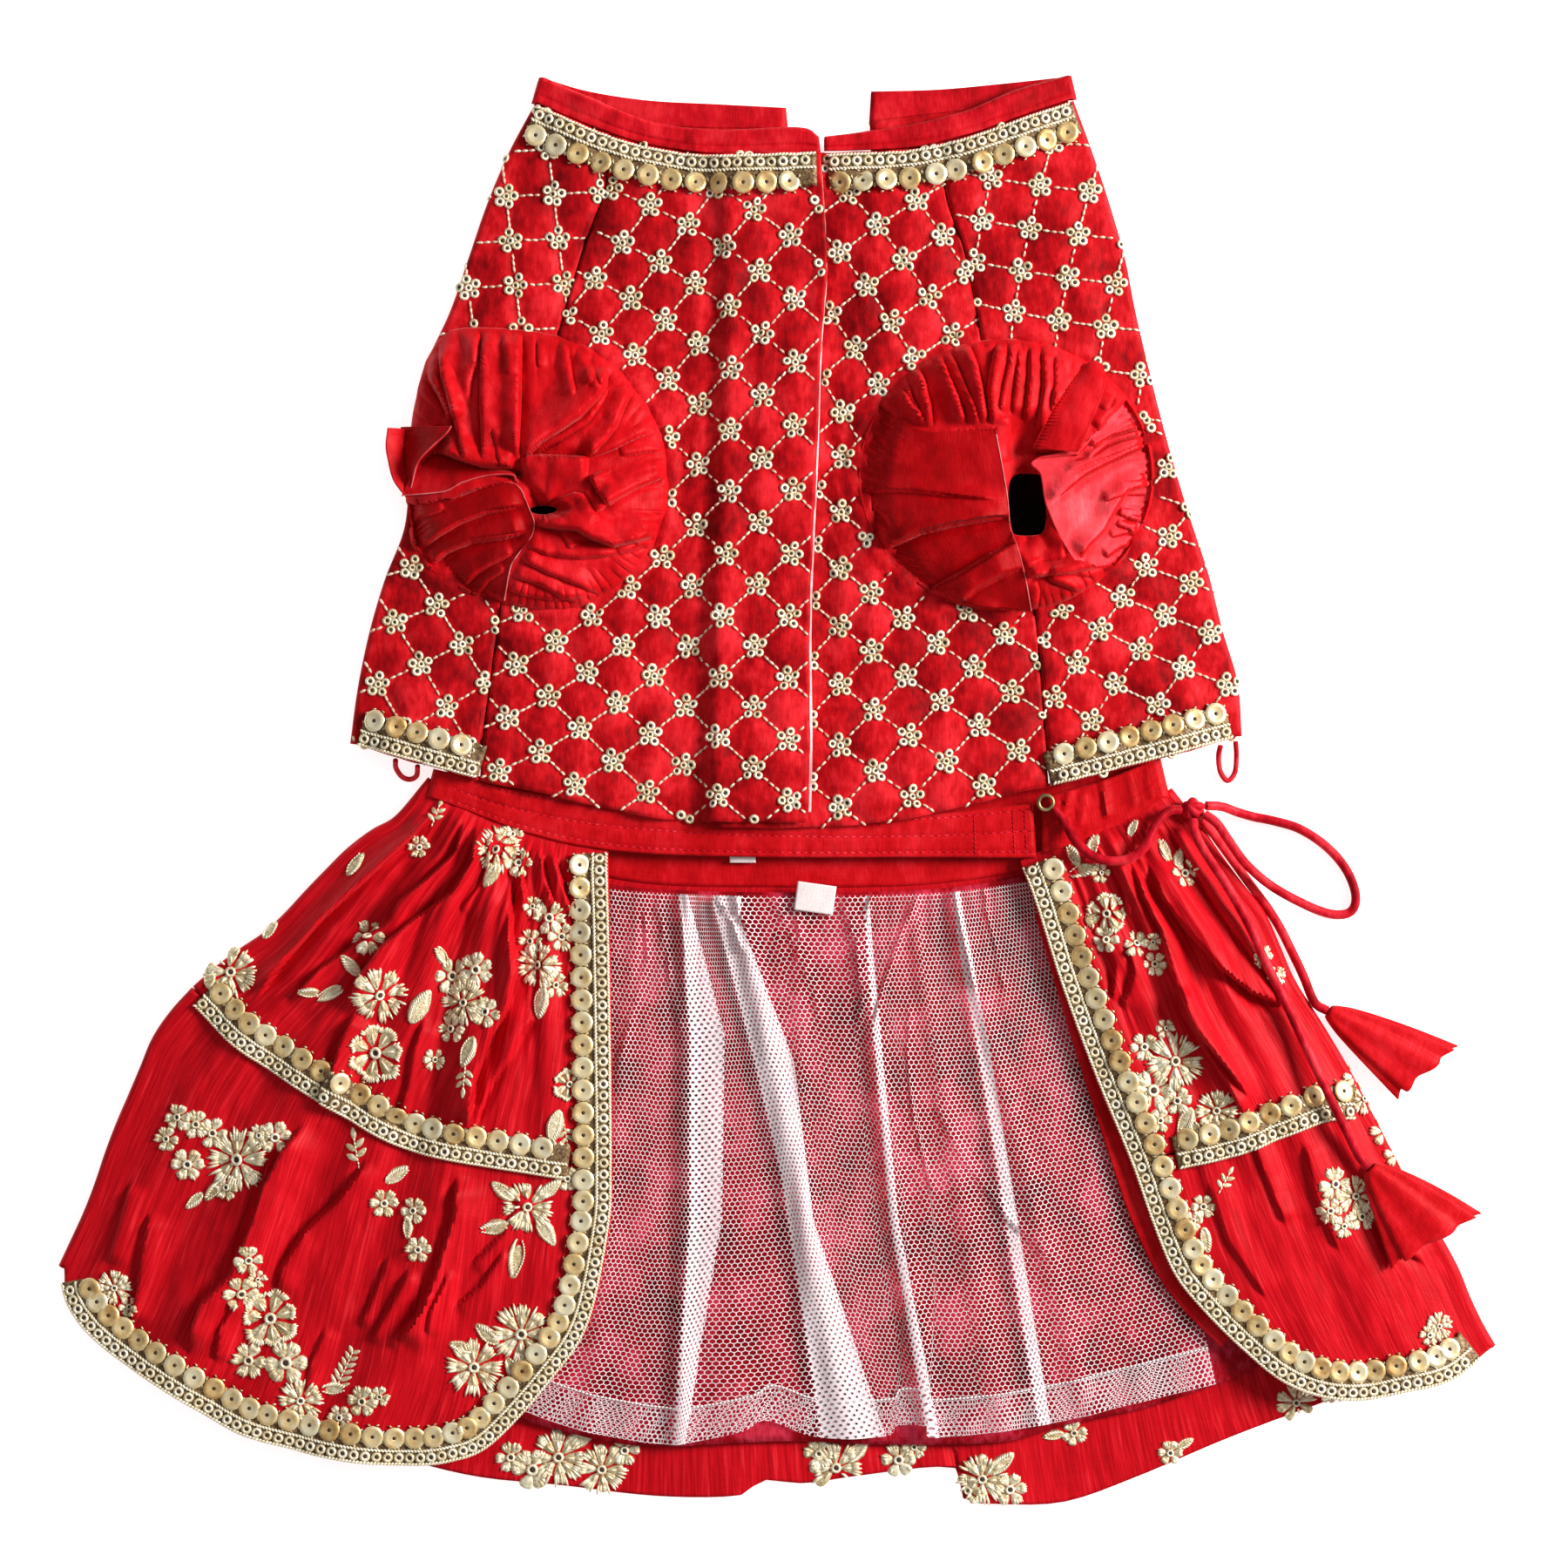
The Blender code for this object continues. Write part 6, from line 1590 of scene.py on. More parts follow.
@dataclass
class Trellis:
    """The gold trellis of the choli: flowers of rings at its crossings, and dashes between them."""

    pitch_low: float = 9.0
    pitch_high: float = 16.5
    ring: float = 1.42
    flower: float = 2.3
    petals: int = 5

    def crossing(self, zone: str, right: int, left: int) -> Vector:
        """The place of a crossing, counted in steps to the right and down and to the left and down.

        Args:
            zone: The zone's name.
            right: The steps to the right and down.
            left: The steps to the left and down.

        Returns:
            The place in plan.
        """
        x = sum(a * right ** i * left ** j for i, j, a, b in TRELLIS[zone])
        y = sum(b * right ** i * left ** j for i, j, a, b in TRELLIS[zone])
        return Vector((x, y))

    def crossings(self, zone: str, inside: Callable[[Vector], bool],
                  reach: int = 15) -> tuple[list[Vector], list[tuple[Vector, Vector]]]:
        """The crossings of a zone and the lines between neighbours.

        Args:
            zone: The zone's name in the table.
            inside: A test of a place in plan.
            reach: How many steps to try each way.

        Returns:
            The crossings that lie inside, and the lines with at least one end inside.
        """
        spots, lines = [], []
        queue, seen = [(0, 0)], {(0, 0)}
        while queue:
            i, j = queue.pop(0)
            here = self.crossing(zone, i, j)
            spots.append(here)
            for di, dj in ((1, 0), (0, 1), (-1, 0), (0, -1)):
                there = self.crossing(zone, i + di, j + dj)
                if not self.pitch_low < (there - here).length < self.pitch_high:
                    continue
                if di + dj > 0 or (i + di, j + dj) not in seen:
                    if di + dj > 0 or not inside(there):
                        lines.append((here, there))
                if (i + di, j + dj) not in seen and inside(there) and max(abs(i + di), abs(j + dj)) <= reach:
                    seen.add((i + di, j + dj))
                    queue.append((i + di, j + dj))
        return spots, lines

    def lay(self, spots: list[Vector], lines: list[tuple[Vector, Vector]], surface: Surface,
            allowed: Callable[[Vector, Hit], bool], takers: dict[str, Scatter], below: bool = False) -> None:
        """Lays flowers and dashes on the cloth.

        Args:
            spots: The crossings.
            lines: The lines between them.
            surface: What they are laid on.
            allowed: A test of a place and its landing.
            takers: Takes the rings, the painted shade in their holes and the dashes.
            below: Whether they are on the face that lies on the surface.
        """
        flat = 0.55 if below else 1.0
        for spot in spots:
            self.flower_at(spot, surface, allowed, takers, below)
        for a, b in lines:
            span = (b - a).length
            along = (b - a).normalized()
            heading = math.degrees(math.atan2(along.y, along.x))
            free = span - 2 * 3.6
            count = max(2, round(free / 2.05))
            for k in range(count):
                place = a + along * (3.6 + free * (k + 0.5) / count)
                hit = surface.land(place.x, place.y, below)
                if hit and allowed(place, hit):
                    seed = place.x * 5.3 + place.y * 2.9
                    takers["dashes"].put(hit.point + hit.normal * 0.15 * flat, hit.normal,
                                         heading + 12 * (steady(seed) - 0.5), (2.2, 0.86, 0.8 * flat),
                                         0.2 + 0.7 * steady(seed + 2))

    def flower_at(self, spot: Vector, surface: Surface, allowed: Callable[[Vector, Hit], bool],
                  takers: dict[str, Scatter], below: bool) -> None:
        """Lays one flower: five rings round a small one, with painted shade in their holes.

        Args:
            spot: The crossing.
            surface: What it is laid on.
            allowed: A test of a place and its landing.
            takers: Takes the rings and the painted shade in their holes.
            below: Whether it is on the face that lies on the surface.
        """
        flat = 0.55 if below else 1.0
        seed = spot.x * 3.1 + spot.y * 7.7
        heading = 90 + 36 * (steady(seed) - 0.5)
        places = [(spot, 1.15, 0.5)]
        for k in range(self.petals):
            turn = math.radians(heading + 360 / self.petals * k + 10 * (steady(seed + k) - 0.5))
            away = self.flower * (0.92 + 0.14 * steady(seed * k + 1))
            places.append((spot + Vector((math.cos(turn), math.sin(turn))) * away,
                           self.ring * (0.92 + 0.14 * steady(seed + 5 * k)), 0.3))
        for index, (place, size, lift) in enumerate(places):
            hit = surface.land(place.x, place.y, below)
            if not hit or not allowed(place, hit):
                continue
            takers["rings"].put(hit.point + hit.normal * lift * flat, hit.normal, 360 * steady(seed + index),
                                (size, size, 1.15 * flat), 0.3 + 0.7 * steady(seed + 9 * index))
            # A near-black dot in the ring's hole: painted shade.
            takers["hole_shade_dots"].put(hit.point + hit.normal * lift * flat, hit.normal, 0,
                                  (0.95 * size, 0.95 * size, 0.5 * flat), 0.2)


class Quilting:
    """How the trellis pulls the cloth down along its lines, so that each cell stands up a little."""

    def __init__(self, lines: list[tuple[Vector, Vector]]) -> None:
        """Reads the lines of a zone.

        Args:
            lines: The two ends of each line.
        """
        points = [a.lerp(b, t) for a, b in lines for t in even(8)]
        self.tree = KDTree(len(points))
        for index, point in enumerate(points):
            self.tree.insert((point.x, point.y, 0.0), index)
        self.tree.balance()

    def height(self, plan: Vector, puff: float) -> float:
        """The height that a cell adds at a place."""
        away = self.tree.find((plan.x, plan.y, 0.0))[2]
        return puff * (smooth_step(away / 4.6) - 0.4 * dent(away, 0.9) if away < 20 else 1.0)


# Where the left sleeve is sewn in: squarer than an oval, along the garment's side edge on its left
SLEEVE_SEAMS = {
    "left": [
        (-93.5, 123.7), (-96.5, 118.3), (-98.6, 111.1), (-99.6, 104.5), (-101.2, 95.5), (-101.9, 88.3),
        (-101.8, 80.5), (-101.2, 73.9), (-100.4, 68.3), (-95.9, 61.3), (-92.9, 59.2), (-86.9, 55.8),
        (-82.7, 54.1),
        (-77.3, 52.8), (-72.0, 51.2), (-65.3, 50.2), (-58.7, 50.2), (-53.9, 51.4), (-44.9, 56.0),
        (-38.9, 61.2),
        (-33.9, 68.9), (-31.0, 77.0), (-30.2, 84.5), (-30.6, 91.5), (-32.4, 98.3), (-35.7, 105.3),
        (-40.6, 112.4),
        (-46.5, 118.4), (-53.0, 122.3), (-60.5, 125.0), (-66.5, 126.2), (-73.0, 126.9), (-80.0, 127.3),
        (-86.0, 127.3), (-90.4, 126.6),
    ],
}


def in_armhole(plan: Vector, side: str, less: float) -> bool:
    """Whether a place is inside an armhole that is smaller by this much all round.

    Args:
        plan: The place in plan.
        side: The garment's side.
        less: How much smaller the armhole is, in millimetres.

    Returns:
        True where the place is inside.
    """
    hole = ARMHOLES[side]
    x = (plan.x - hole["x"]) / (hole["half_x"] - less)
    y = (plan.y - hole["y"]) / (hole["half_y"] - less)
    return x * x + y * y < 1


class SleeveSeam:
    """The closed line that a sleeve is sewn in along, read by its distance from a middle point."""

    def __init__(self, points: Points, middle: tuple[float, float]) -> None:
        """Keeps the line and reads its distance from the middle point at every degree.

        Args:
            points: The line, which closes on itself.
            middle: The point that distances are read from.
        """
        self.points = points
        self.middle = Vector(middle)
        self.reaches = [self.reach(self.middle, angle) for angle in range(361)]

    def reach(self, middle: Vector, angle: float) -> float:
        """How far the line is from a point inside it, in this direction.

        Args:
            middle: The point inside the line.
            angle: The direction in degrees.

        Returns:
            The distance in millimetres.
        """
        turn = math.radians(angle)
        heading = Vector((math.cos(turn), math.sin(turn)))
        far = 0.0
        for a, b in zip(self.points, self.points[1:] + self.points[:1]):
            side = Vector(b) - Vector(a)
            cross = heading.x * side.y - heading.y * side.x
            if abs(cross) < 1e-9:
                continue
            offset = Vector(a) - middle
            along = (offset.x * side.y - offset.y * side.x) / cross
            share = (offset.x * heading.y - offset.y * heading.x) / cross
            if -1e-6 <= share <= 1 + 1e-6:
                far = max(far, along)
        return far

    def away(self, plan: Vector) -> float:
        """About how far a place is outside the line.

        Args:
            plan: The place in plan.

        Returns:
            The distance in millimetres, below 0 inside.
        """
        offset = plan.to_2d() - self.middle
        angle = math.degrees(math.atan2(offset.y, offset.x)) % 360
        low = int(angle)
        share = angle - low
        return offset.length - (self.reaches[low] * (1 - share) + self.reaches[low + 1] * share)


def sleeve_seam(side: str) -> SleeveSeam:
    """The seam of one sleeve, from its table or from the armhole's own shape.

    Args:
        side: The garment's side.

    Returns:
        The seam.
    """
    hole = ARMHOLES[side]
    middle = (hole["x"], hole["y"])
    if side in SLEEVE_SEAMS:
        return SleeveSeam(SLEEVE_SEAMS[side], middle)
    half_x, half_y = hole["half_x"] - 0.3, hole["half_y"] - 0.3
    turns = [math.radians(a) for a in range(0, 360, 6)]
    return SleeveSeam([(hole["x"] + half_x * math.cos(a), hole["y"] + half_y * math.sin(a)) for a in turns],
                      middle)


SEAMS = {side: sleeve_seam(side) for side in ARMHOLES}


def armhole_away(plan: Vector, side: str) -> float:
    """About how far a place is outside a sleeve's seam."""
    return SEAMS[side].away(plan)


def choli_level(plan: Vector) -> float:
    """The underside of the choli's upper layer: it lies low, and climbs over the waistband near the hem.

    Args:
        plan: The place in plan.

    Returns:
        The height in millimetres.
    """
    to_fold = min(plan.x - fold_at(CHOLI_LEFT, plan.y), fold_at(CHOLI_RIGHT, plan.y) - plan.x)
    low = 2 * CHOLI_FOLD - CHOLI_CLOTH
    inland = smooth_step(to_fold / 17)
    over_band = smooth_step((30 - plan.y) / 20) * inland
    soft = 0.7 * inland * (1 + math.sin(plan.x * 0.11 + 1.3) * math.sin(plan.y * 0.075))
    return low + soft * (1 - over_band) + 3.5 * over_band


def choli_top(plan: Vector) -> float:
    """The upper face of the choli's upper layer."""
    return choli_level(plan) + CHOLI_CLOTH


@dataclass
class Choli:
    """The top: its back, two belly panels, neck binding, laces, trellis and closure."""

    finishes: Finishes
    rows: int = 110
    wall: float = 0.9
    puff: float = 1.0
    trellis: Trellis = field(default_factory=Trellis)

    def soft(self, plan: Vector) -> float:
        """Handling creases, and the topstitched line round each armhole.

        Args:
            plan: The place in plan.

        Returns:
            The height that they add.
        """
        height = 0.22 * wobble(plan.x, plan.y, 16, 3.0) + 0.1 * wobble(plan.x, plan.y, 6, 8.0)
        for side in ARMHOLES:
            away = armhole_away(plan, side)
            height -= 0.4 * dent(away - 4.2, 0.7)
            height += 0.5 * dent(away - 1.6, 2.0)
        return height

    def side_top(self, plan: Vector, across: float, quilt: Quilting) -> float:
        """The upper face of the back where it has come round to the belly side.

        Args:
            plan: The place in plan.
            across: The share of the way from the fold to the seam.
            quilt: The padding between the trellis's lines.

        Returns:
            The height in millimetres.
        """
        start = 2 * CHOLI_FOLD
        inland = smooth_step(across * 3)
        rise = start + (choli_top(plan) - start) * inland
        return (rise + (self.soft(plan) + quilt.height(plan, self.puff) - 0.3) * inland
                - 0.5 * dent(1 - across, 0.06))

    def front_top(self, plan: Vector, across: float, left: bool, quilt: Quilting) -> float:
        """The upper face of a belly panel: the left one climbs over the right one's underlap.

        Args:
            plan: The place in plan.
            across: The share of the way from the side seam.
            left: Whether it is the left panel.
            quilt: The padding between the trellis's lines.

        Returns:
            The height in millimetres.
        """
        height = choli_top(plan) + self.soft(plan) + quilt.height(plan, self.puff) - 0.3
        height -= 0.5 * dent(across, 0.03)
        if left:
            line = fold_at(PLACKET, plan.y)
            climb = smooth_step((plan.x - line + UNDERLAP + 6) / 6)
            height += (CHOLI_CLOTH + 1.3) * climb
            height += 0.45 * dent(plan.x - line + 9.5, 3.0) * smooth_step((120 - plan.y) / 60)
            height -= 0.8 * bump(plan.x - line + UNDERLAP + 9, 9) * smooth_step((110 - plan.y) / 60)
            height -= 0.25 * dent(plan.x - line + 17.5, 0.5)
        else:
            line = fold_at(PLACKET, plan.y)
            low = 0.95 * (1 - smooth_step((plan.x - line - 2) / 13)) * smooth_step((plan.x - line + 8) / 6)
            height -= low
            height += 0.5 * bump(plan.x - 34, 20) * smooth_step((60 - plan.y) / 40)
        return height

    def side_patch(self, fold: Points, seam: Points, neck: Points, hem: Points) -> Patch:
        """The part of the back that has come round one side.

        Args:
            fold: The side fold.
            seam: The side seam.
            neck: The neck's seam.
            hem: The hem between fold and seam.

        Returns:
            The patch.
        """
        fold[0] = stretch(neck, fold[0][0], fold[0][0] + 1, -SEAM_GAP)[0]
        seam[0] = stretch(neck, seam[0][0], seam[0][0] + 1)[0]
        top = [fold[0], *stretch(neck, fold[0][0], seam[0][0])[1:]]
        return Patch(fold, seam, top, [fold[-1], *hem, seam[-1]])

    def build(self) -> Surface:
        """Builds every piece of the choli but its sleeves.

        Returns:
            The surface of its panels, to lay laces on.
        """
        belly = {side: self.trellis.crossings(f"belly_{side}", lambda p: -95 < p.x < 90 and -12 < p.y < 182)
                 for side in ("left", "right")}
        top = self.trellis.crossings("belly_right_top", lambda p: 0 < p.x < 75 and 98 < p.y < 182)
        lower = self.trellis.crossings("belly_right", lambda p: 0 < p.x < 90 and -12 < p.y < 98)
        belly["right"] = (top[0] + lower[0], top[1] + lower[1])
        zones = {"upper_left": lambda p: -120 < p.x < -40 and 108 < p.y < 190,
                 "lower_left": lambda p: -125 < p.x < -70 and 0 < p.y < 108,
                 "upper_right": lambda p: 40 < p.x < 120 and 100 < p.y < 190,
                 "lower_right": lambda p: 62 < p.x < 135 and 0 < p.y < 100}
        sides = {zone: self.trellis.crossings(zone, inside) for zone, inside in zones.items()}
        holes = [lambda p, s=side: in_armhole(p, s, 3.0) for side in ARMHOLES]
        quilts = {side: Quilting(belly[side][1]) for side in belly}
        quilts["sides"] = Quilting([line for zone in sides.values() for line in zone[1]])
        back = self.build_back(quilts["sides"], holes)
        left_side = turned_in(SEAM_LEFT, SEAM_GAP / 2, True)
        right_side = turned_in(SEAM_RIGHT, SEAM_GAP / 2, False)
        underlap = [(x - UNDERLAP, y) for x, y in PLACKET[:-1]] + [(-16, -10)]
        left_top = stretch(NECK_SEAM_LEFT, left_side[0][0], PLACKET[0][0])
        right_top = (stretch(NECK_SEAM_RIGHT, PLACKET[0][0], right_side[0][0])[::-1]
                     + [(0, 175.3), (-13, 174.6)])
        left_side[0], right_side[0], underlap[0] = left_top[0], right_top[0], right_top[-1]
        plans = {
            "left": Patch(left_side, [left_top[-1], *PLACKET[1:]], left_top, [left_side[-1], *HEM_LEFT[1:]]),
            "right": Patch(right_side, underlap, right_top, [right_side[-1], *HEM_RIGHT[-2::-1]]),
        }
        fronts = {}
        for side, patch in plans.items():
            left, quilt = side == "left", quilts[side]

            def column(across: float, patch: Patch = patch, left: bool = left,
                       quilt: Quilting = quilt) -> Callable[[float], Vector]:
                """A column of one belly panel.

                Args:
                    across: The share of the way across.
                    patch: The panel's patch.
                    left: Whether it is the left panel.
                    quilt: The padding between the trellis's lines.

                Returns:
                    The column's points, by the share down.
                """
                def at(down: float) -> Vector:
                    """A point of the column."""
                    plan = patch.at(across, down)
                    return raised(plan, self.front_top(plan, across, left, quilt))
                return at

            sheet = Sheet(f"belly_panel_{side}", [column(a) for a in even(78 if left else 84)],
                          self.rows + 20,
                          self.finishes.choli, self.wall, turned=not left, holes=holes)
            fronts[side] = ready(sheet.build(), Slot.CHOLI, f"choli_front_{side}")
            sheet.declare([back.name])
        self.lay_trellis(back, fronts, belly, sides)
        self.build_bindings()
        return Surface(back, *fronts.values())

    def build_back(self, quilt: Quilting, holes: Sequence[Callable[[Vector], bool]]) -> bpy.types.Object:
        """The back, which comes round both sides.

        Args:
            quilt: The trellis lines on its sides.
            holes: Where its upper parts are cut away.

        Returns:
            The object.
        """
        left_fold = turned_in(CHOLI_LEFT, CHOLI_FOLD, True)
        right_fold = turned_in(CHOLI_RIGHT, CHOLI_FOLD, False)
        left = self.side_patch(left_fold, turned_in(SEAM_LEFT, SEAM_GAP / 2, False), NECK_SEAM_LEFT,
                               [(-106, 9.6), (-94, 6.4)])
        right = self.side_patch(right_fold, turned_in(SEAM_RIGHT, SEAM_GAP / 2, True), NECK_SEAM_RIGHT,
                                [(112, 10.6), (92, 5.4)])
        under = Patch(left_fold, right_fold,
                      stretch(BACK_NECK_SEAM, left_fold[0][0], right_fold[0][0], 0.35, 16),
                      [left_fold[-1], *HEM_BACK[1:-1], right_fold[-1]])

        def side(patch: Patch, across: float) -> Callable[[float], Vector]:
            """A column of the part that has come round a side.

            Args:
                patch: The part's patch.
                across: The share of the way across.

            Returns:
                The column's points, by the share down.
            """
            def at(down: float) -> Vector:
                """A point of the column."""
                plan = patch.at(across, down)
                return raised(plan, self.side_top(plan, across, quilt))
            return at

        columns = [side(left, a) for a in even(30)[::-1]]
        columns += turn_columns(left.side, 1, CHOLI_FOLD, True)
        columns += [lambda down, a=a: raised(under.at(a, down), 0.0) for a in even(56)]
        columns += turn_columns(right.side, -1, CHOLI_FOLD, False)
        columns += [side(right, a) for a in even(30)]

        def cut_away(point: Vector) -> bool:
            """Whether an armhole or the neck's notch takes this place away."""
            notch = NOTCH["left"] < point.x < NOTCH["right"] and point.y > NOTCH["bottom"]
            return (point.z > 1.0 and any(hole(point) for hole in holes)) or (notch and point.z < 1.0)

        sheet = Sheet("choli_back_panel", columns, self.rows, self.finishes.choli, self.wall, turned=True,
                      holes=[cut_away])
        made = ready(sheet.build(), Slot.CHOLI, "choli_back")
        sheet.declare()
        return made

    def lay_trellis(self, back: bpy.types.Object, fronts: dict[str, bpy.types.Object], belly: dict,
                    sides: dict) -> None:
        """Lays the gold trellis on the panels, upper and lower faces.

        Args:
            back: The back panel.
            fronts: The belly panels by side.
            belly: The trellis's crossings and lines on each belly panel.
            sides: The same for each zone that has come round a side.
        """
        surface = Surface(back, *fronts.values())
        for side, front in fronts.items():
            takers = self.takers(side)

            def clear(place: Vector, hit: Hit, owner: str = front.name, left: bool = side == "left") -> bool:
                """Whether the trellis may lie here: on its own panel, off armholes and placket.

                Args:
                    place: The place in plan.
                    hit: What is met there.
                    owner: The panel's name.
                    left: Whether it is the left panel.

                Returns:
                    True where it may.
                """
                edge = fold_at(PLACKET, place.y)
                return (hit.owner == owner and all(armhole_away(place, s) > ARMHOLE_MARGIN for s in ARMHOLES)
                        and (place.x < edge - 0.9 if left else place.x > edge + 0.4) and hit.normal.z > 0.5)

            self.trellis.lay(*belly[side], surface, clear, takers)

            def clear_side(place: Vector, hit: Hit) -> bool:
                """Whether the trellis may lie here on the part round a side.

                Args:
                    place: The place in plan.
                    hit: What is met there.

                Returns:
                    True where it may.
                """
                return (hit.owner == back.name
                        and all(armhole_away(place, s) > ARMHOLE_MARGIN for s in ARMHOLES)
                        and hit.point.z > 1.5 and hit.normal.z > 0.45)

            for zone, found in sides.items():
                if zone.endswith(side):
                    self.trellis.lay(*found, surface, clear_side, takers)
            for scatter in takers.values():
                scatter.build(Slot.CHOLI)
        under = self.trellis.crossings("underside", lambda p: -130 < p.x < 140 and -5 < p.y < 200)
        takers = self.takers("back")
        self.trellis.lay(*under, Surface(back), lambda place, hit: hit.point.z < 0.3, takers, below=True)
        for scatter in takers.values():
            scatter.build(Slot.CHOLI)

    def takers(self, name: str) -> dict[str, Scatter]:
        """What takes the rings, the painted shade in their holes and the dashes of one panel.

        Args:
            name: The panel's name.

        Returns:
            The scatters by what they take.
        """
        return {"rings": Scatter(f"trellis_rings_{name}", unit_ring(9, 0.36, 4), self.finishes.ring),
                "hole_shade_dots": Scatter(f"trellis_centres_{name}", unit_stitch(), self.finishes.shade),
                "dashes": Scatter(f"trellis_dashes_{name}", unit_stitch(), self.finishes.dash)}

    def build_bindings(self) -> None:
        """The neck's binding, which goes round each side to the notch at the middle of the back."""
        sides = {
            "left": {"sign": 1, "fold": -67, "front_end": 12, "back_end": NOTCH["left"] - 0.5,
                     "edge": NECK_EDGE_LEFT, "seam": NECK_SEAM_LEFT, "back_edge": BACK_NECK_EDGE_LEFT},
            "right": {"sign": -1, "fold": 82, "front_end": 13, "back_end": NOTCH["right"] + 0.5,
                      "edge": NECK_EDGE_RIGHT[::-1], "seam": NECK_SEAM_RIGHT,
                      "back_edge": BACK_NECK_EDGE_RIGHT[::-1]},
        }
        for side, row in sides.items():
            sign, edge, back_edge = row["sign"], row["edge"], row["back_edge"]
            start = row["fold"] + sign * BINDING_FOLD
            seam = stretch(row["seam"], start, row["front_end"], SEAM_GAP)
            back_seam = stretch(BACK_NECK_SEAM, start, row["back_end"], SEAM_GAP)
            back_seam[0] = seam[0]
            fold = [(edge[0][0] + sign * BINDING_FOLD, edge[0][1]), seam[0]]
            top = Patch(fold, [edge[-1], seam[-1]], [fold[0], *edge[1:]], seam)
            low = Patch(fold, [back_edge[-1], back_seam[-1]], [fold[0], *back_edge[1:]], back_seam)

            def upper(across: float, patch: Patch = top) -> Callable[[float], Vector]:
                """A column of the binding's upper face.

                Args:
                    across: The share of the way across.
                    patch: The face's patch.

                Returns:
                    The column's points, by the share down.
                """
                def at(down: float) -> Vector:
                    """A point of the column.

                    Args:
                        down: The share of the way down.

                    Returns:
                        The point in millimetres.
                    """
                    plan = patch.at(across, down)
                    z = 2 * CHOLI_FOLD + (0.5 + choli_top(plan) - 2 * CHOLI_FOLD) * smooth_step(across * 4)
                    ripple = (0.25 * wobble(plan.x, plan.y * 0.4, 5, 2.0)
                              + 0.2 * wobble(plan.x, plan.y, 14, 6.0))
                    edge_roll = -0.9 * (1 - smooth_step(down / 0.12)) - 0.35 * dent(down - 0.72, 0.05)
                    return raised(plan, z + ripple * smooth_step(across * 8) + edge_roll)
                return at

            columns = [upper(a) for a in even(64)[::-1]]
            columns += turn_columns(top.side, sign, CHOLI_FOLD, True, Vector((sign, 0)))
            columns += [lambda down, a=a, p=low: raised(p.at(a, down), 0.0) for a in even(30)]
            sheet = Sheet(f"neck_band_{side}", columns, 14, self.finishes.binding, self.wall,
                          turned=side == "left")
            made = ready(sheet.build(), Slot.BINDING, f"neck_binding_{side}")
            sheet.declare()


def turn_columns(fold: Route, inward: int, radius: float, going_down: bool,
                 aim: Vector | None = None) -> list[Callable[[float], Vector]]:
    """Columns round a folded side.

    Args:
        fold: The line of its middle in plan.
        inward: 1 if the garment is on the line's left, and -1 on its right.
        radius: The radius of the turn.
        going_down: Whether it goes from the upper face to the lower one.
        aim: The direction into the garment, where it isn't square to the line.

    Returns:
        The columns, each a function of the share down the line.
    """
    angles = (22, 45, 67, 90, 113, 135, 158)
    columns = []
    for angle in (angles if going_down else angles[::-1]):
        turn = math.radians(angle)

        def at(down: float, turn: float = turn) -> Vector:
            """A point of the column.

            Args:
                down: The share of the way down.
                turn: The column's angle round the fold.

            Returns:
                The point in millimetres.
            """
            out = -aim if aim is not None else -inward * fold.left_of(down)
            middle = fold.at(down)
            return raised(middle + out * math.sin(turn) * radius, radius + math.cos(turn) * radius)
        columns.append(at)
    return columns


# The sleeves

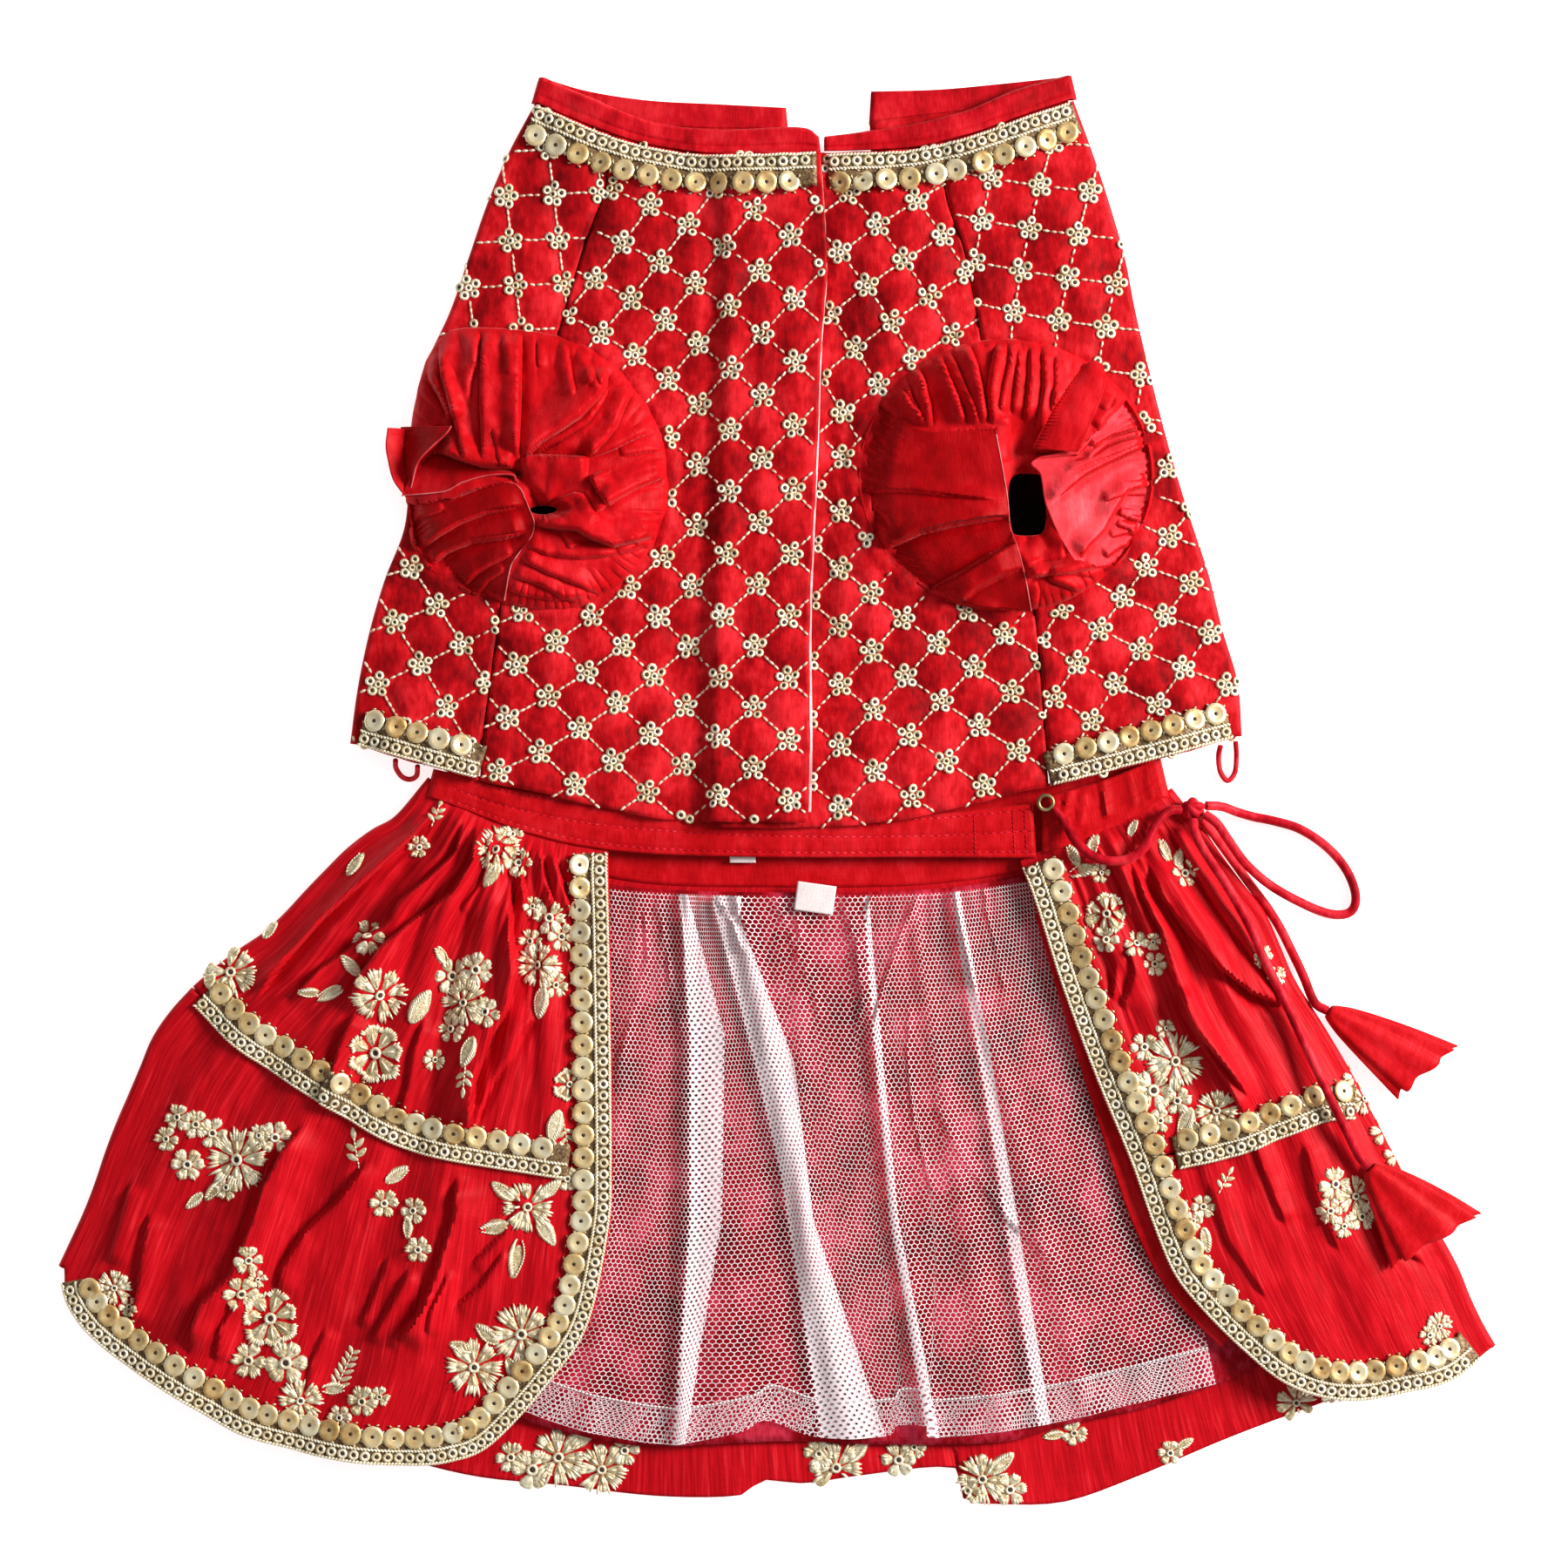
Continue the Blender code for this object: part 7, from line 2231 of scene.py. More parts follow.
# Creases of each sleeve: the cloth on the left of a line lies over the rest
SLEEVE_CREASES = {
    "left": [
        {"line": [(-70.8, 89.2), (-70.7, 107.5), (-70.8, 127)], "rise": 2.1, "width": 9},
        {"line": [(-80.9, 127), (-80.8, 107.5), (-80.2, 89.2)], "rise": 1.7, "width": 6},
        {"line": [(-84.5, 106.3), (-84.2, 111.7), (-82.6, 117.1), (-81.7, 126.4)],
         "rise": 1.2, "width": 5},
        {"line": [(-96.8, 120.1), (-95.2, 113.5), (-92.9, 109.3), (-90.2, 103.9), (-89.6, 101.2)],
         "rise": 2.4, "width": 7},
        {"line": [(-93, 124.3), (-91.7, 113.5), (-89.2, 105.7), (-87.2, 97.9), (-85, 89.8)],
         "rise": 1.5, "width": 5},
        {"line": [(-75.6, 126.7), (-74.2, 120.1), (-73.6, 113.5)], "rise": 0.7, "width": 3},
        {"line": [(-77.5, 99.1), (-76.4, 93.1), (-75.6, 89.2)], "rise": 0.7, "width": 3},
        {"line": [(-66.4, 125.5), (-65.8, 120.1), (-65.3, 115.9)], "rise": 0.6, "width": 3},
        {"line": [(-55.1, 107.8), (-56.3, 112.9), (-57.4, 118.3), (-58.2, 124)], "rise": 1.0, "width": 4},
        {"line": [(-50.2, 111.1), (-51.5, 115.3), (-53.4, 119.5), (-55.1, 123.1)],
         "rise": 0.8, "width": 3.5},
        {"line": [(-47.9, 111.1), (-47.3, 114.7), (-48.1, 118.6)], "rise": 0.7, "width": 2.5},
        {"line": [(-48.7, 110.2), (-50.2, 114.1), (-51.8, 118.6)], "rise": 0.7, "width": 2.5},
        {"line": [(-70.6, 90.4), (-64.7, 95.7), (-59.3, 99.1), (-53.9, 102.8), (-49.1, 108.1),
                  (-47.3, 111.7), (-47, 116.8)],
         "rise": 3.0, "width": 11},
        {"line": [(-67.7, 92), (-59.3, 96.1), (-51.5, 101.5), (-47.9, 106.9), (-46.2, 111.4)],
         "rise": 1.1, "width": 3},
        {"line": [(-51.8, 91.6), (-47.3, 96), (-44.3, 100.3), (-42.5, 105.1), (-39.8, 110.8)],
         "rise": 1.7, "width": 5},
        {"line": [(-51.8, 91.3), (-44.9, 94), (-38.9, 97.3), (-32.6, 99.8)], "rise": 1.1, "width": 5},
        {"line": [(-51.5, 91), (-58.1, 91.2), (-64.1, 91.4), (-70.3, 91.3)], "rise": 2.4, "width": 9},
        {"line": [(-50.6, 76), (-44.9, 79.8), (-38.9, 83.4), (-30.2, 87.2)], "rise": 1.8, "width": 7},
        {"line": [(-50.9, 86.2), (-48.8, 81.7), (-45.6, 78.1)], "rise": 1.9, "width": 6},
        {"line": [(-66.8, 73.2), (-59.9, 72.2), (-54.5, 71.7), (-50.3, 69.3), (-44.9, 67.3), (-38.9, 68.7),
                  (-32, 71)],
         "rise": 3.2, "width": 8},
        {"line": [(-48.5, 73.8), (-50.3, 76), (-51.6, 78.8), (-53.3, 80.8), (-55.4, 81.2), (-59.3, 80),
                  (-63.8, 78.1)],
         "rise": 1.2, "width": 4},
        {"line": [(-68.9, 67.3), (-62.9, 65), (-53.9, 64.1), (-44.9, 65.1), (-35, 68.6)],
         "rise": 1.2, "width": 5},
        {"line": [(-70.1, 63.7), (-62.9, 60.1), (-55.1, 57.1), (-48.2, 54)], "rise": 1.3, "width": 5},
        {"line": [(-72.5, 59.2), (-65.3, 57.1), (-58.7, 53.5), (-53, 51.4)], "rise": 1.1, "width": 5},
        {"line": [(-74.4, 55.8), (-68.9, 54), (-61.1, 52.8), (-50.6, 54.1)], "rise": 0.9, "width": 4},
        {"line": [(-43.7, 64.8), (-38.9, 66.6), (-33.8, 69.2)], "rise": 0.8, "width": 3},
        {"line": [(-91.8, 92.8), (-87.5, 91.6), (-85.1, 89.9), (-79.7, 89), (-71.3, 88.6)],
         "rise": 2.8, "width": 6},
        {"line": [(-43.1, 91.9), (-37.7, 93.1), (-31.1, 94)], "rise": 0.8, "width": 4},
        {"line": [(-58.7, 71.2), (-57.5, 68.2), (-56.6, 66.1)], "rise": 0.8, "width": 4},
    ],
    "right": [
        {"line": [(42.2, 99.7), (41.8, 105.1), (40.4, 111.7), (38.3, 118.6)], "rise": 2.2, "width": 5},
        {"line": [(39.8, 102.1), (37, 108.4), (34.8, 115.6)], "rise": 1.5, "width": 4},
        {"line": [(41, 100.6), (37.3, 105.1), (34.2, 111.1), (32.4, 115.6)], "rise": 1.0, "width": 3},
        {"line": [(51.6, 100.3), (49.4, 107.5), (47, 113.5), (44.3, 121.3)], "rise": 1.9, "width": 5},
        {"line": [(55.2, 100.2), (53.8, 105.1), (51.1, 111.7), (47.5, 121)], "rise": 1.3, "width": 3.5},
        {"line": [(57.2, 100.6), (56, 108.7), (54.7, 115.9), (52.4, 123.7)], "rise": 2.4, "width": 5},
        {"line": [(60.7, 123.1), (59, 115.3), (58, 109.3), (58.8, 100)], "rise": 1.9, "width": 6},
        {"line": [(64.4, 123.1), (63.5, 117.1), (62, 111.1), (60.7, 103.3)], "rise": 1.0, "width": 4},
        {"line": [(66.6, 122.8), (65.8, 115), (64.2, 103)], "rise": 0.9, "width": 3.5},
        {"line": [(69.7, 122.8), (69.3, 114), (67.8, 101)], "rise": 1.1, "width": 4},
        {"line": [(73.1, 121.9), (73.3, 112), (71.6, 98.5)], "rise": 1.2, "width": 4},
        {"line": [(76.6, 120.5), (76.4, 111), (74, 98)], "rise": 1.4, "width": 4.5},
        {"line": [(63, 90), (63.2, 96), (63.6, 102)], "rise": 0.8, "width": 4},
        {"line": [(88, 95.5), (92.5, 99.1), (99.4, 101.8)], "rise": 1.0, "width": 4},
        {"line": [(87.7, 99.1), (92.5, 105.1), (97.4, 110.2)], "rise": 1.0, "width": 4.5},
        {"line": [(90.1, 103.9), (92.5, 108.7), (94.4, 112.9)], "rise": 0.8, "width": 4},
        {"line": [(86.8, 59.2), (78.7, 59.8), (68.5, 58.8)], "rise": -1.0, "width": 5},
        {"line": [(67.9, 58.8), (78.7, 60), (84.7, 61), (94.3, 64)], "rise": 1.8, "width": 5},
        {"line": [(74.2, 58.3), (79.3, 56.6), (85.6, 54.1)], "rise": 1.5, "width": 5},
        {"line": [(67.6, 61), (72.7, 63.1), (79.3, 64.2)], "rise": 1.0, "width": 5},
        {"line": [(71.5, 51.1), (71.6, 54.7), (70.9, 57.7)], "rise": 0.9, "width": 3},
    ],
}
# Hollows of each sleeve: middle, half width and half height, and how deep
SLEEVE_HOLLOWS = {
    "left": [
        {"at": (-62.9, 76.9), "half": (6.5, 3.2), "deep": 5},
        {"at": (-73.6, 87.0), "half": (4.6, 1.8), "deep": 7},
        {"at": (-48.5, 82.0), "half": (2.6, 3.0), "deep": 1.6},
        {"at": (-92.5, 97.5), "half": (2.6, 3.4), "deep": 4},
        {"at": (-66.5, 80.0), "half": (3.0, 3.4), "deep": 3},
        {"at": (-52.0, 68.0), "half": (6.0, 1.8), "deep": 1.5},
    ],
    "right": [
        {"at": (68.5, 94.0), "half": (8.0, 10.0), "deep": 6},
        {"at": (68.4, 78.4), "half": (7.0, 11.0), "deep": 3},
        {"at": (76.5, 92.8), "half": (7.0, 1.6), "deep": 4},
        {"at": (75.0, 64.0), "half": (7.0, 5.0), "deep": 3},
        {"at": (77.0, 114.5), "half": (2.5, 5.5), "deep": 1.6},
    ],
}
# The open mouth of each sleeve, as far as it shows: middle, half width and half height, and the power of its
# outline, which is 2 for an oval and more for squarer corners
SLEEVE_MOUTHS = {
    "left": {"x": -64.2, "y": 77.1, "half_x": 4.2, "half_y": 1.7, "power": 2},
    "right": {"x": 68.6, "y": 78.4, "half_x": 5.6, "half_y": 8.8, "power": 4},
}

# Loose folds of each sleeve that lie over its dome, each between four curves in space: from its root in the
# armhole's seam to its free edge, and its two ends. rim says whether the edge shows its pale cut threads,
# drawn as a pale tube that is also a painted highlight where the edge catches the light.
SLEEVE_PANELS = {
    "left": [
        {"name": "outer_lip", "rim": False,
         "root": [(-101.3, 99.7, 3.4), (-101.7, 96.3, 3.2), (-101.4, 91.7, 3.2), (-100.4, 86.6, 3.6),
                  (-99.4, 82.4, 5)],
         "edge": [(-106.6, 99.7, 9), (-107.1, 95.0, 9), (-106.6, 91.3, 9), (-105.0, 85.4, 9),
                  (-101.2, 80.2, 8.5)],
         "top": [(-101.3, 99.7, 3.4), (-106.6, 99.7, 9)],
         "bottom": [(-99.4, 82.4, 5), (-101.2, 80.2, 8.5)],
         "creases": []},
        {"name": "upper_leaf", "rim": True,
         "root": [(-103.8, 100.4, 4), (-103.9, 95.5, 3.5), (-103.1, 89.9, 4), (-101.2, 84.1, 6)],
         "edge": [(-89.1, 99.8, 12.5), (-90.5, 97.7, 13), (-94.5, 94.0, 13), (-98.2, 89.9, 12.5),
                  (-100.4, 83.3, 9)],
         "top": [(-103.8, 100.4, 4), (-89.1, 99.8, 12.5)],
         "bottom": [(-101.2, 84.1, 6), (-100.4, 83.3, 9)],
         "creases": []},
        {"name": "lower_leaf", "rim": True,
         "root": [(-98.9, 90.1, 6.5), (-93.5, 93.1, 7), (-86.9, 90.9, 8), (-80.9, 89.1, 9),
                  (-71.9, 87.6, 11)],
         "edge": [(-103.1, 81.1, 8.5), (-91.1, 82.0, 12), (-86.9, 84.1, 12.8), (-79.7, 86.2, 13),
                  (-72.5, 86.5, 13),
                  (-70.8, 84.4, 12.6)],
         "top": [(-98.9, 90.1, 6.5), (-103.1, 81.1, 8.5)],
         "bottom": [(-71.9, 87.6, 11), (-70.8, 84.4, 12.6)],
         "creases": []},
        {"name": "low_panel", "rim": True,
         "root": [(-101.0, 79.3, 4.5), (-100.7, 73.4, 4), (-98.1, 66.5, 4), (-92.2, 60.1, 4),
                  (-83.5, 55.0, 4), (-76.1, 52.4, 4.5)],
         "edge": [(-89.4, 79.9, 9.5), (-78.1, 83.8, 11.5), (-71.4, 83.9, 12.5), (-68.2, 78.2, 13),
                  (-66.3, 71.9, 13), (-69.6, 66.3, 12), (-72.7, 61.8, 12), (-74.9, 52.4, 8)],
         "top": [(-101.0, 79.3, 4.5), (-89.4, 79.9, 9.5)],
         "bottom": [(-76.1, 52.4, 4.5), (-74.9, 52.4, 8)],
         "creases": [
             {"line": [(-99.2, 66.4), (-93.5, 70.3), (-86.9, 73.9), (-79.7, 76.4), (-68.6, 78.4)],
              "rise": 1.7, "width": 9},
             {"line": [(-96.6, 61.6), (-91.1, 66), (-83.9, 68.7), (-74.9, 69.7), (-68.2, 71.2)],
              "rise": 2.0, "width": 9},
             {"line": [(-85.8, 56.8), (-82.7, 60.1), (-78.5, 62.5), (-71.9, 65.2)],
              "rise": 1.0, "width": 5},
             {"line": [(-101.3, 73.9), (-97.1, 75.7), (-91.1, 77.5)], "rise": 0.7, "width": 5},
             {"line": [(-82.7, 54.1), (-79.1, 58.3), (-74.3, 60.7)], "rise": 0.7, "width": 4},
         ]},
    ],
    "right": [
        {"name": "flat_panel", "rim": True,
         "root": [(25.9, 108.2, 4.2), (21.3, 95.2, 4), (21.9, 83.6, 4), (25.9, 69.1, 4), (34.6, 57.6, 4),
                  (47.2, 50.3, 4.5)],
         "edge": [(59.7, 99.2, 12.6), (61.1, 91.6, 12.8), (62.9, 81.0, 13), (63.8, 72.4, 13),
                  (66.0, 65.7, 12.5), (68.0, 58.2, 12), (69.8, 49.3, 9)],
         "top": [(25.9, 108.2, 4.2), (33.5, 102.5, 8.5), (41.1, 98.5, 10.6), (48.8, 98.6, 11.6),
                 (59.7, 99.2, 12.6)],
         "bottom": [(47.2, 50.3, 4.5), (54.8, 50.7, 6), (62.5, 50.2, 7.5), (69.8, 49.3, 9)],
         "creases": [
             {"line": [(21.1, 82.9), (36.7, 82.3), (45.7, 81.1), (61, 79.2)], "rise": 1.0, "width": 5},
             {"line": [(27.7, 66.1), (39.1, 71.1), (48.7, 73.2), (57.1, 74.6), (65.2, 75.4)],
              "rise": 3.0, "width": 10},
             {"line": [(67, 69.1), (58.3, 64.3), (49.9, 59.2), (39.7, 54.1)], "rise": 2.0, "width": 9},
             {"line": [(49.6, 50.8), (54.7, 55.6), (61.9, 59.4), (68.2, 61.3)], "rise": 1.7, "width": 6},
             {"line": [(26.5, 78.7), (30.1, 75.1), (32.5, 71.5)], "rise": 0.6, "width": 4},
             {"line": [(44.5, 51.1), (49.9, 51.7), (60.7, 48.7)], "rise": 0.6, "width": 4},
         ]},
        {"name": "tall_fold", "rim": False,
         "root": [(83.7, 116.7, 6.5), (78.7, 110.0, 9), (74.2, 102.7, 11), (70.0, 94.0, 12)],
         "edge": [(89.9, 117.1, 7), (89.9, 111.4, 10.5), (86.2, 101.6, 13), (82.3, 92.7, 14.2)],
         "top": [(83.7, 116.7, 6.5), (87.0, 118.3, 7), (89.9, 117.1, 7)],
         "bottom": [(70.0, 94.0, 12), (75.5, 93.2, 13), (82.3, 92.7, 14.2)],
         "creases": []},
        {"name": "bright_panel", "rim": False,
         "root": [(93.9, 106.7, 5), (100.3, 97.2, 4), (102.5, 85.6, 4), (102.2, 74.0, 4), (99.3, 65.3, 4),
                  (93.5, 58.5, 4)],
         "edge": [(82.4, 92.2, 11), (70.0, 90.3, 12), (72.1, 86.7, 13), (72.8, 81.0, 13.3),
                  (74.0, 77.1, 13.5), (77.4, 69.5, 13.2), (81.7, 62.9, 11)],
         "top": [(93.9, 106.7, 5), (82.4, 92.2, 11)],
         "bottom": [(93.5, 58.5, 4), (81.7, 62.9, 11)],
         "creases": [
             {"line": [(73.8, 78.2), (78.7, 82.5), (84.7, 86.8), (90.7, 90), (102.1, 95.5)],
              "rise": 2.0, "width": 7},
             {"line": [(82.7, 63.4), (85.3, 67.3), (89.5, 71.5), (92.5, 76.9), (96.1, 82.6), (103, 84.6)],
              "rise": 1.9, "width": 6},
             {"line": [(93.7, 76.3), (96.7, 75.2), (101.2, 73.8)], "rise": 1.0, "width": 3},
             {"line": [(93.1, 73.3), (96.7, 72.1), (100.4, 69.6)], "rise": 1.0, "width": 3},
             {"line": [(90.1, 64), (94.3, 67), (99.8, 68.5)], "rise": 1.1, "width": 4},
             {"line": [(84.7, 60.6), (90.7, 61.8), (96.4, 63.8)], "rise": 1.0, "width": 4},
             {"line": [(85.8, 94.2), (91.9, 97.9), (99.4, 100.4)], "rise": 1.2, "width": 4},
             {"line": [(78.7, 86.8), (85.9, 90.1), (93.7, 93.1), (101.8, 96.7)], "rise": 0.8, "width": 4},
             {"line": [(89.5, 79.3), (95.5, 81.7), (102.4, 81.7)], "rise": 0.9, "width": 5},
             {"line": [(84.7, 90.7), (90.7, 95.5), (100.3, 98.8)], "rise": 0.8, "width": 3.5},
             {"line": [(91.3, 69.7), (96.1, 70.9), (100.9, 72.1)], "rise": 0.8, "width": 3},
         ]},
    ],
}


@dataclass
class Sleeve:
    """A gathered puff sleeve: cloth gathered into the armhole, with a free rim and loose folds over it."""

    side: str
    finishes: Finishes
    gathers: int = 68
    columns: int = 560
    rows: int = 84
    wall: float = 0.6

    def point(self, angle: float, out: float) -> Vector:
        """The dome with its gathers, creases and hollows.

        Args:
            angle: The direction from the mouth's middle.
            out: The share of the way from the armhole's seam, at 0, to the mouth, at 1.

        Returns:
            The place.
        """
        mouth = SLEEVE_MOUTHS[self.side]
        middle = Vector((mouth["x"], mouth["y"]))
        heading = Vector((math.cos(math.radians(angle)), math.sin(math.radians(angle))))
        reach = SEAMS[self.side].reach(middle, angle)
        power = mouth["power"]
        rim_out = sum((abs(heading[i]) / mouth[half]) ** power
                      for i, half in enumerate(("half_x", "half_y")))
        rim_out **= -1 / power
        base = middle + heading * reach
        plan = base.lerp(middle + heading * rim_out, out)
        over_side = (smooth_step((math.cos(math.radians(angle - 170)) - 0.8) * 8) if self.side == "left"
                     else 0.0)
        puff = SLEEVE_PUFF * smooth_step((reach - rim_out) / 14)
        z = choli_top(base) - 0.2 + over_side + 6.5 * out + puff * math.sin(math.pi * out ** 0.8) ** 0.8
        warp = 3.0 * noise.noise(Vector((angle * 0.06, out * 1.2, 4.0)))
        warp += 1.2 * noise.noise(Vector((angle * 0.4, 3.0, out)))
        phase = self.gathers * (angle + warp) / 360
        number = math.floor(phase)
        fade = 0.16 + 0.3 * steady(number * 1.37 + 5)
        ridge = abs((phase % 1.0) - 0.5) * 2
        depth = (0.2 + 0.8 * steady(number * 2.11)) * (1 - smooth_step(out / fade))
        wave = (1 - ridge ** 2.2 * 1.6) * depth * smooth_step(out * 22)
        broad = 0.8 * noise.noise(Vector((heading.x * 3.4, heading.y * 3.4, out * 2))) * smooth_step(out * 4)
        fine = 0.25 * wobble(plan.x, plan.y, 4, 2.0)
        z += 0.85 * wave + broad + fine * smooth_step(out * 6)
        z += 1.5 * crease_lift(plan, self.creases) * smooth_step(out * 9)
        for row in SLEEVE_HOLLOWS[self.side]:
            away = math.hypot((plan.x - row["at"][0]) / row["half"][0],
                              (plan.y - row["at"][1]) / row["half"][1])
            z -= row["deep"] * (1 - smooth_step(away ** 1.3 * 0.8))
        over = self.panels.land(plan.x, plan.y)
        if over and over.point.z > 1:
            z = min(z, over.point.z - 0.9)
        return raised(plan, z)

    def build(self) -> None:
        """Builds the loose folds, then the dome that is tucked under them."""
        self.creases = [Crease(**row) for row in SLEEVE_CREASES[self.side]]
        made_panels = [self.build_panel(row) for row in SLEEVE_PANELS[self.side]]
        self.panels = Surface(*made_panels)
        columns = [lambda out, a=360 * i / self.columns: self.point(a, out ** 1.1)
                   for i in range(self.columns + 1)]
        sheet = Sheet(f"puff_sleeve_{self.side}", columns, self.rows, self.finishes.plain, self.wall,
                      turned=False,
                      closed=True)
        made = ready(sheet.build(), Slot.PLAIN, f"sleeve_{self.side}")
        sheet.declare([f"belly_panel_{self.side}"])
        self.build_painted_shadow()

    def build_painted_shadow(self) -> None:
        """Builds the near-black sheet inside the mouth, which paints the shadow of the sleeve's hollow."""
        mouth = SLEEVE_MOUTHS[self.side]

        def column(turn: float) -> Callable[[float], Vector]:
            """A column of the painted shadow sheet.

            Args:
                turn: The column's angle round the mouth's middle.

            Returns:
                The column's points, by the share down.
            """
            def at(down: float) -> Vector:
                """A point of the column.

                Args:
                    down: The share of the way down.

                Returns:
                    The point in millimetres.
                """
                way = Vector((math.cos(turn) * (mouth["half_x"] + 3),
                              math.sin(turn) * (mouth["half_y"] + 3)))
                return Vector((mouth["x"], mouth["y"], 2.6)) + raised(way * (1 - 0.97 * down), 0.4 * down)
            return at

        # A near-black sheet: painted shadow, not the cloth's own colour.
        sheet = Sheet(f"sleeve_inside_{self.side}", [column(math.tau * a / 48) for a in range(49)], 6,
                      self.finishes.inside, 0.0, turned=False, closed=True)
        ready(sheet.build(), Slot.PLAIN)

    def on_seam(self, place: tuple[float, float, float]) -> tuple[float, float, float]:
        """A place moved out to the sleeve's seam.

        Args:
            place: The place in space.

        Returns:
            The place just inside the seam, at its own height.
        """
        seam = SEAMS[self.side]
        offset = Vector(place[:2]) - seam.middle
        angle = math.degrees(math.atan2(offset.y, offset.x))
        moved = seam.middle + offset.normalized() * (seam.reach(seam.middle, angle) - 0.2)
        return moved.x, moved.y, place[2]

    def build_panel(self, row: dict) -> bpy.types.Object:
        """A loose fold of the sleeve.

        Args:
            row: Its row of the table.

        Returns:
            The object.
        """
        creases = [Crease(**crease) for crease in row["creases"]]
        on_seam = row["name"] in ("low_panel", "flat_panel", "bright_panel")
        root, top, bottom = row["root"], row["top"], row["bottom"]
        if on_seam:
            root = [self.on_seam(place) for place in root]
            top, bottom = [root[0], *top[1:]], [root[-1], *bottom[1:]]
        patch = Patch(root, row["edge"], top, bottom)
        # The folds that lie in shade take the darker satin copy, painted shade, and the fold that faces the
        # lamp the lighter copy, painted light.
        finish = {"flat_panel": self.finishes.shaded_satin, "low_panel": self.finishes.shaded_satin,
                  "upper_leaf": self.finishes.shaded_satin,
                  "bright_panel": self.finishes.raised}.get(row["name"], self.finishes.plain)

        def column(across: float) -> Callable[[float], Vector]:
            """A column of one loose fold.

            Args:
                across: The share of the way across.

            Returns:
                The column's points, by the share down.
            """
            def at(down: float) -> Vector:
                """A point of the column.

                Args:
                    down: The share of the way down.

                Returns:
                    The point in millimetres.
                """
                point = patch.at(across, down)
                crown = 0.9 * math.sin(math.pi * across ** 0.8)
                soft = 0.45 * wobble(point.x, point.y, 8, 5.0) + 0.05 * wobble(point.x, point.y, 3, 1.0)
                gather = 0.4 * math.sin(2 * math.pi * (26 * down + 0.25 * wobble(down, across, 0.4, 3.0)))
                gather *= (1 - smooth_step(across / (0.15 + 0.25 * steady(math.floor(26 * down)))))
                lift = crown + soft + gather + 1.5 * crease_lift(point, creases)
                lift *= smooth_step(across * 9) * (1 - 0.5 * smooth_step((across - 0.8) * 5))
                if on_seam:
                    lift += (choli_top(point.to_2d()) - 0.3 - point.z) * (1 - smooth_step(across * 3.5))
                return point + Vector((0, 0, lift))
            return at

        name = f"sleeve_fold_{self.side}_{row['name']}"
        sheet = Sheet(name, [column(a) for a in even(90)], 110, finish, self.wall, turned=False)
        made = sheet.build()
        if sum(face.normal.z for face in made.data.polygons) < 0:
            made.data.flip_normals()
        ready(made, Slot.PLAIN)
        sheet.declare([f"belly_panel_{self.side}"])
        # A pale tube along the free edge: cut threads, and a painted highlight where the edge catches the
        # light.
        if row["rim"]:
            edge = Route([column(1.0)(share) for share in even(16)])
            ready(tube(f"{name}_rim", edge, 0.16, self.finishes.rim, 0.6, 2), Slot.PLAIN)
        return made


# The skirt


def skirt_folds(side: str, across: float, down: float, seam: float, width: float) -> float:
    """Height of a front's main folds.

    Args:
        side: Which front.
        across: The share from the folded side to the front edge.
        down: The share from the waist to the hem.
        seam: Where the two tiers meet.
        width: The front's width in millimetres.

    Returns:
        The height in millimetres.
    """
    height = 0.0
    for fold in FOLDS[side]:
        if down < seam:
            line = fold["waist"] + (fold["seam"] - fold["waist"]) * down / seam
        else:
            line = fold["seam"] + (fold["hem"] - fold["seam"]) * (down - seam) / (1 - seam)
        fading = 1 - (1 - fold["fade"]) * smooth_step((down - 0.3) / 0.6)
        narrow = 0.45 + 0.55 * smooth_step(down / 0.45)
        fading *= 0.5 + 0.5 * smooth_step(down / 0.2)
        height += fold["height"] * fading * bump((across - line) * width, 2 * fold["width"] * narrow)
    return height * smooth_step(across * 8) * smooth_step((1 - across) * 9)
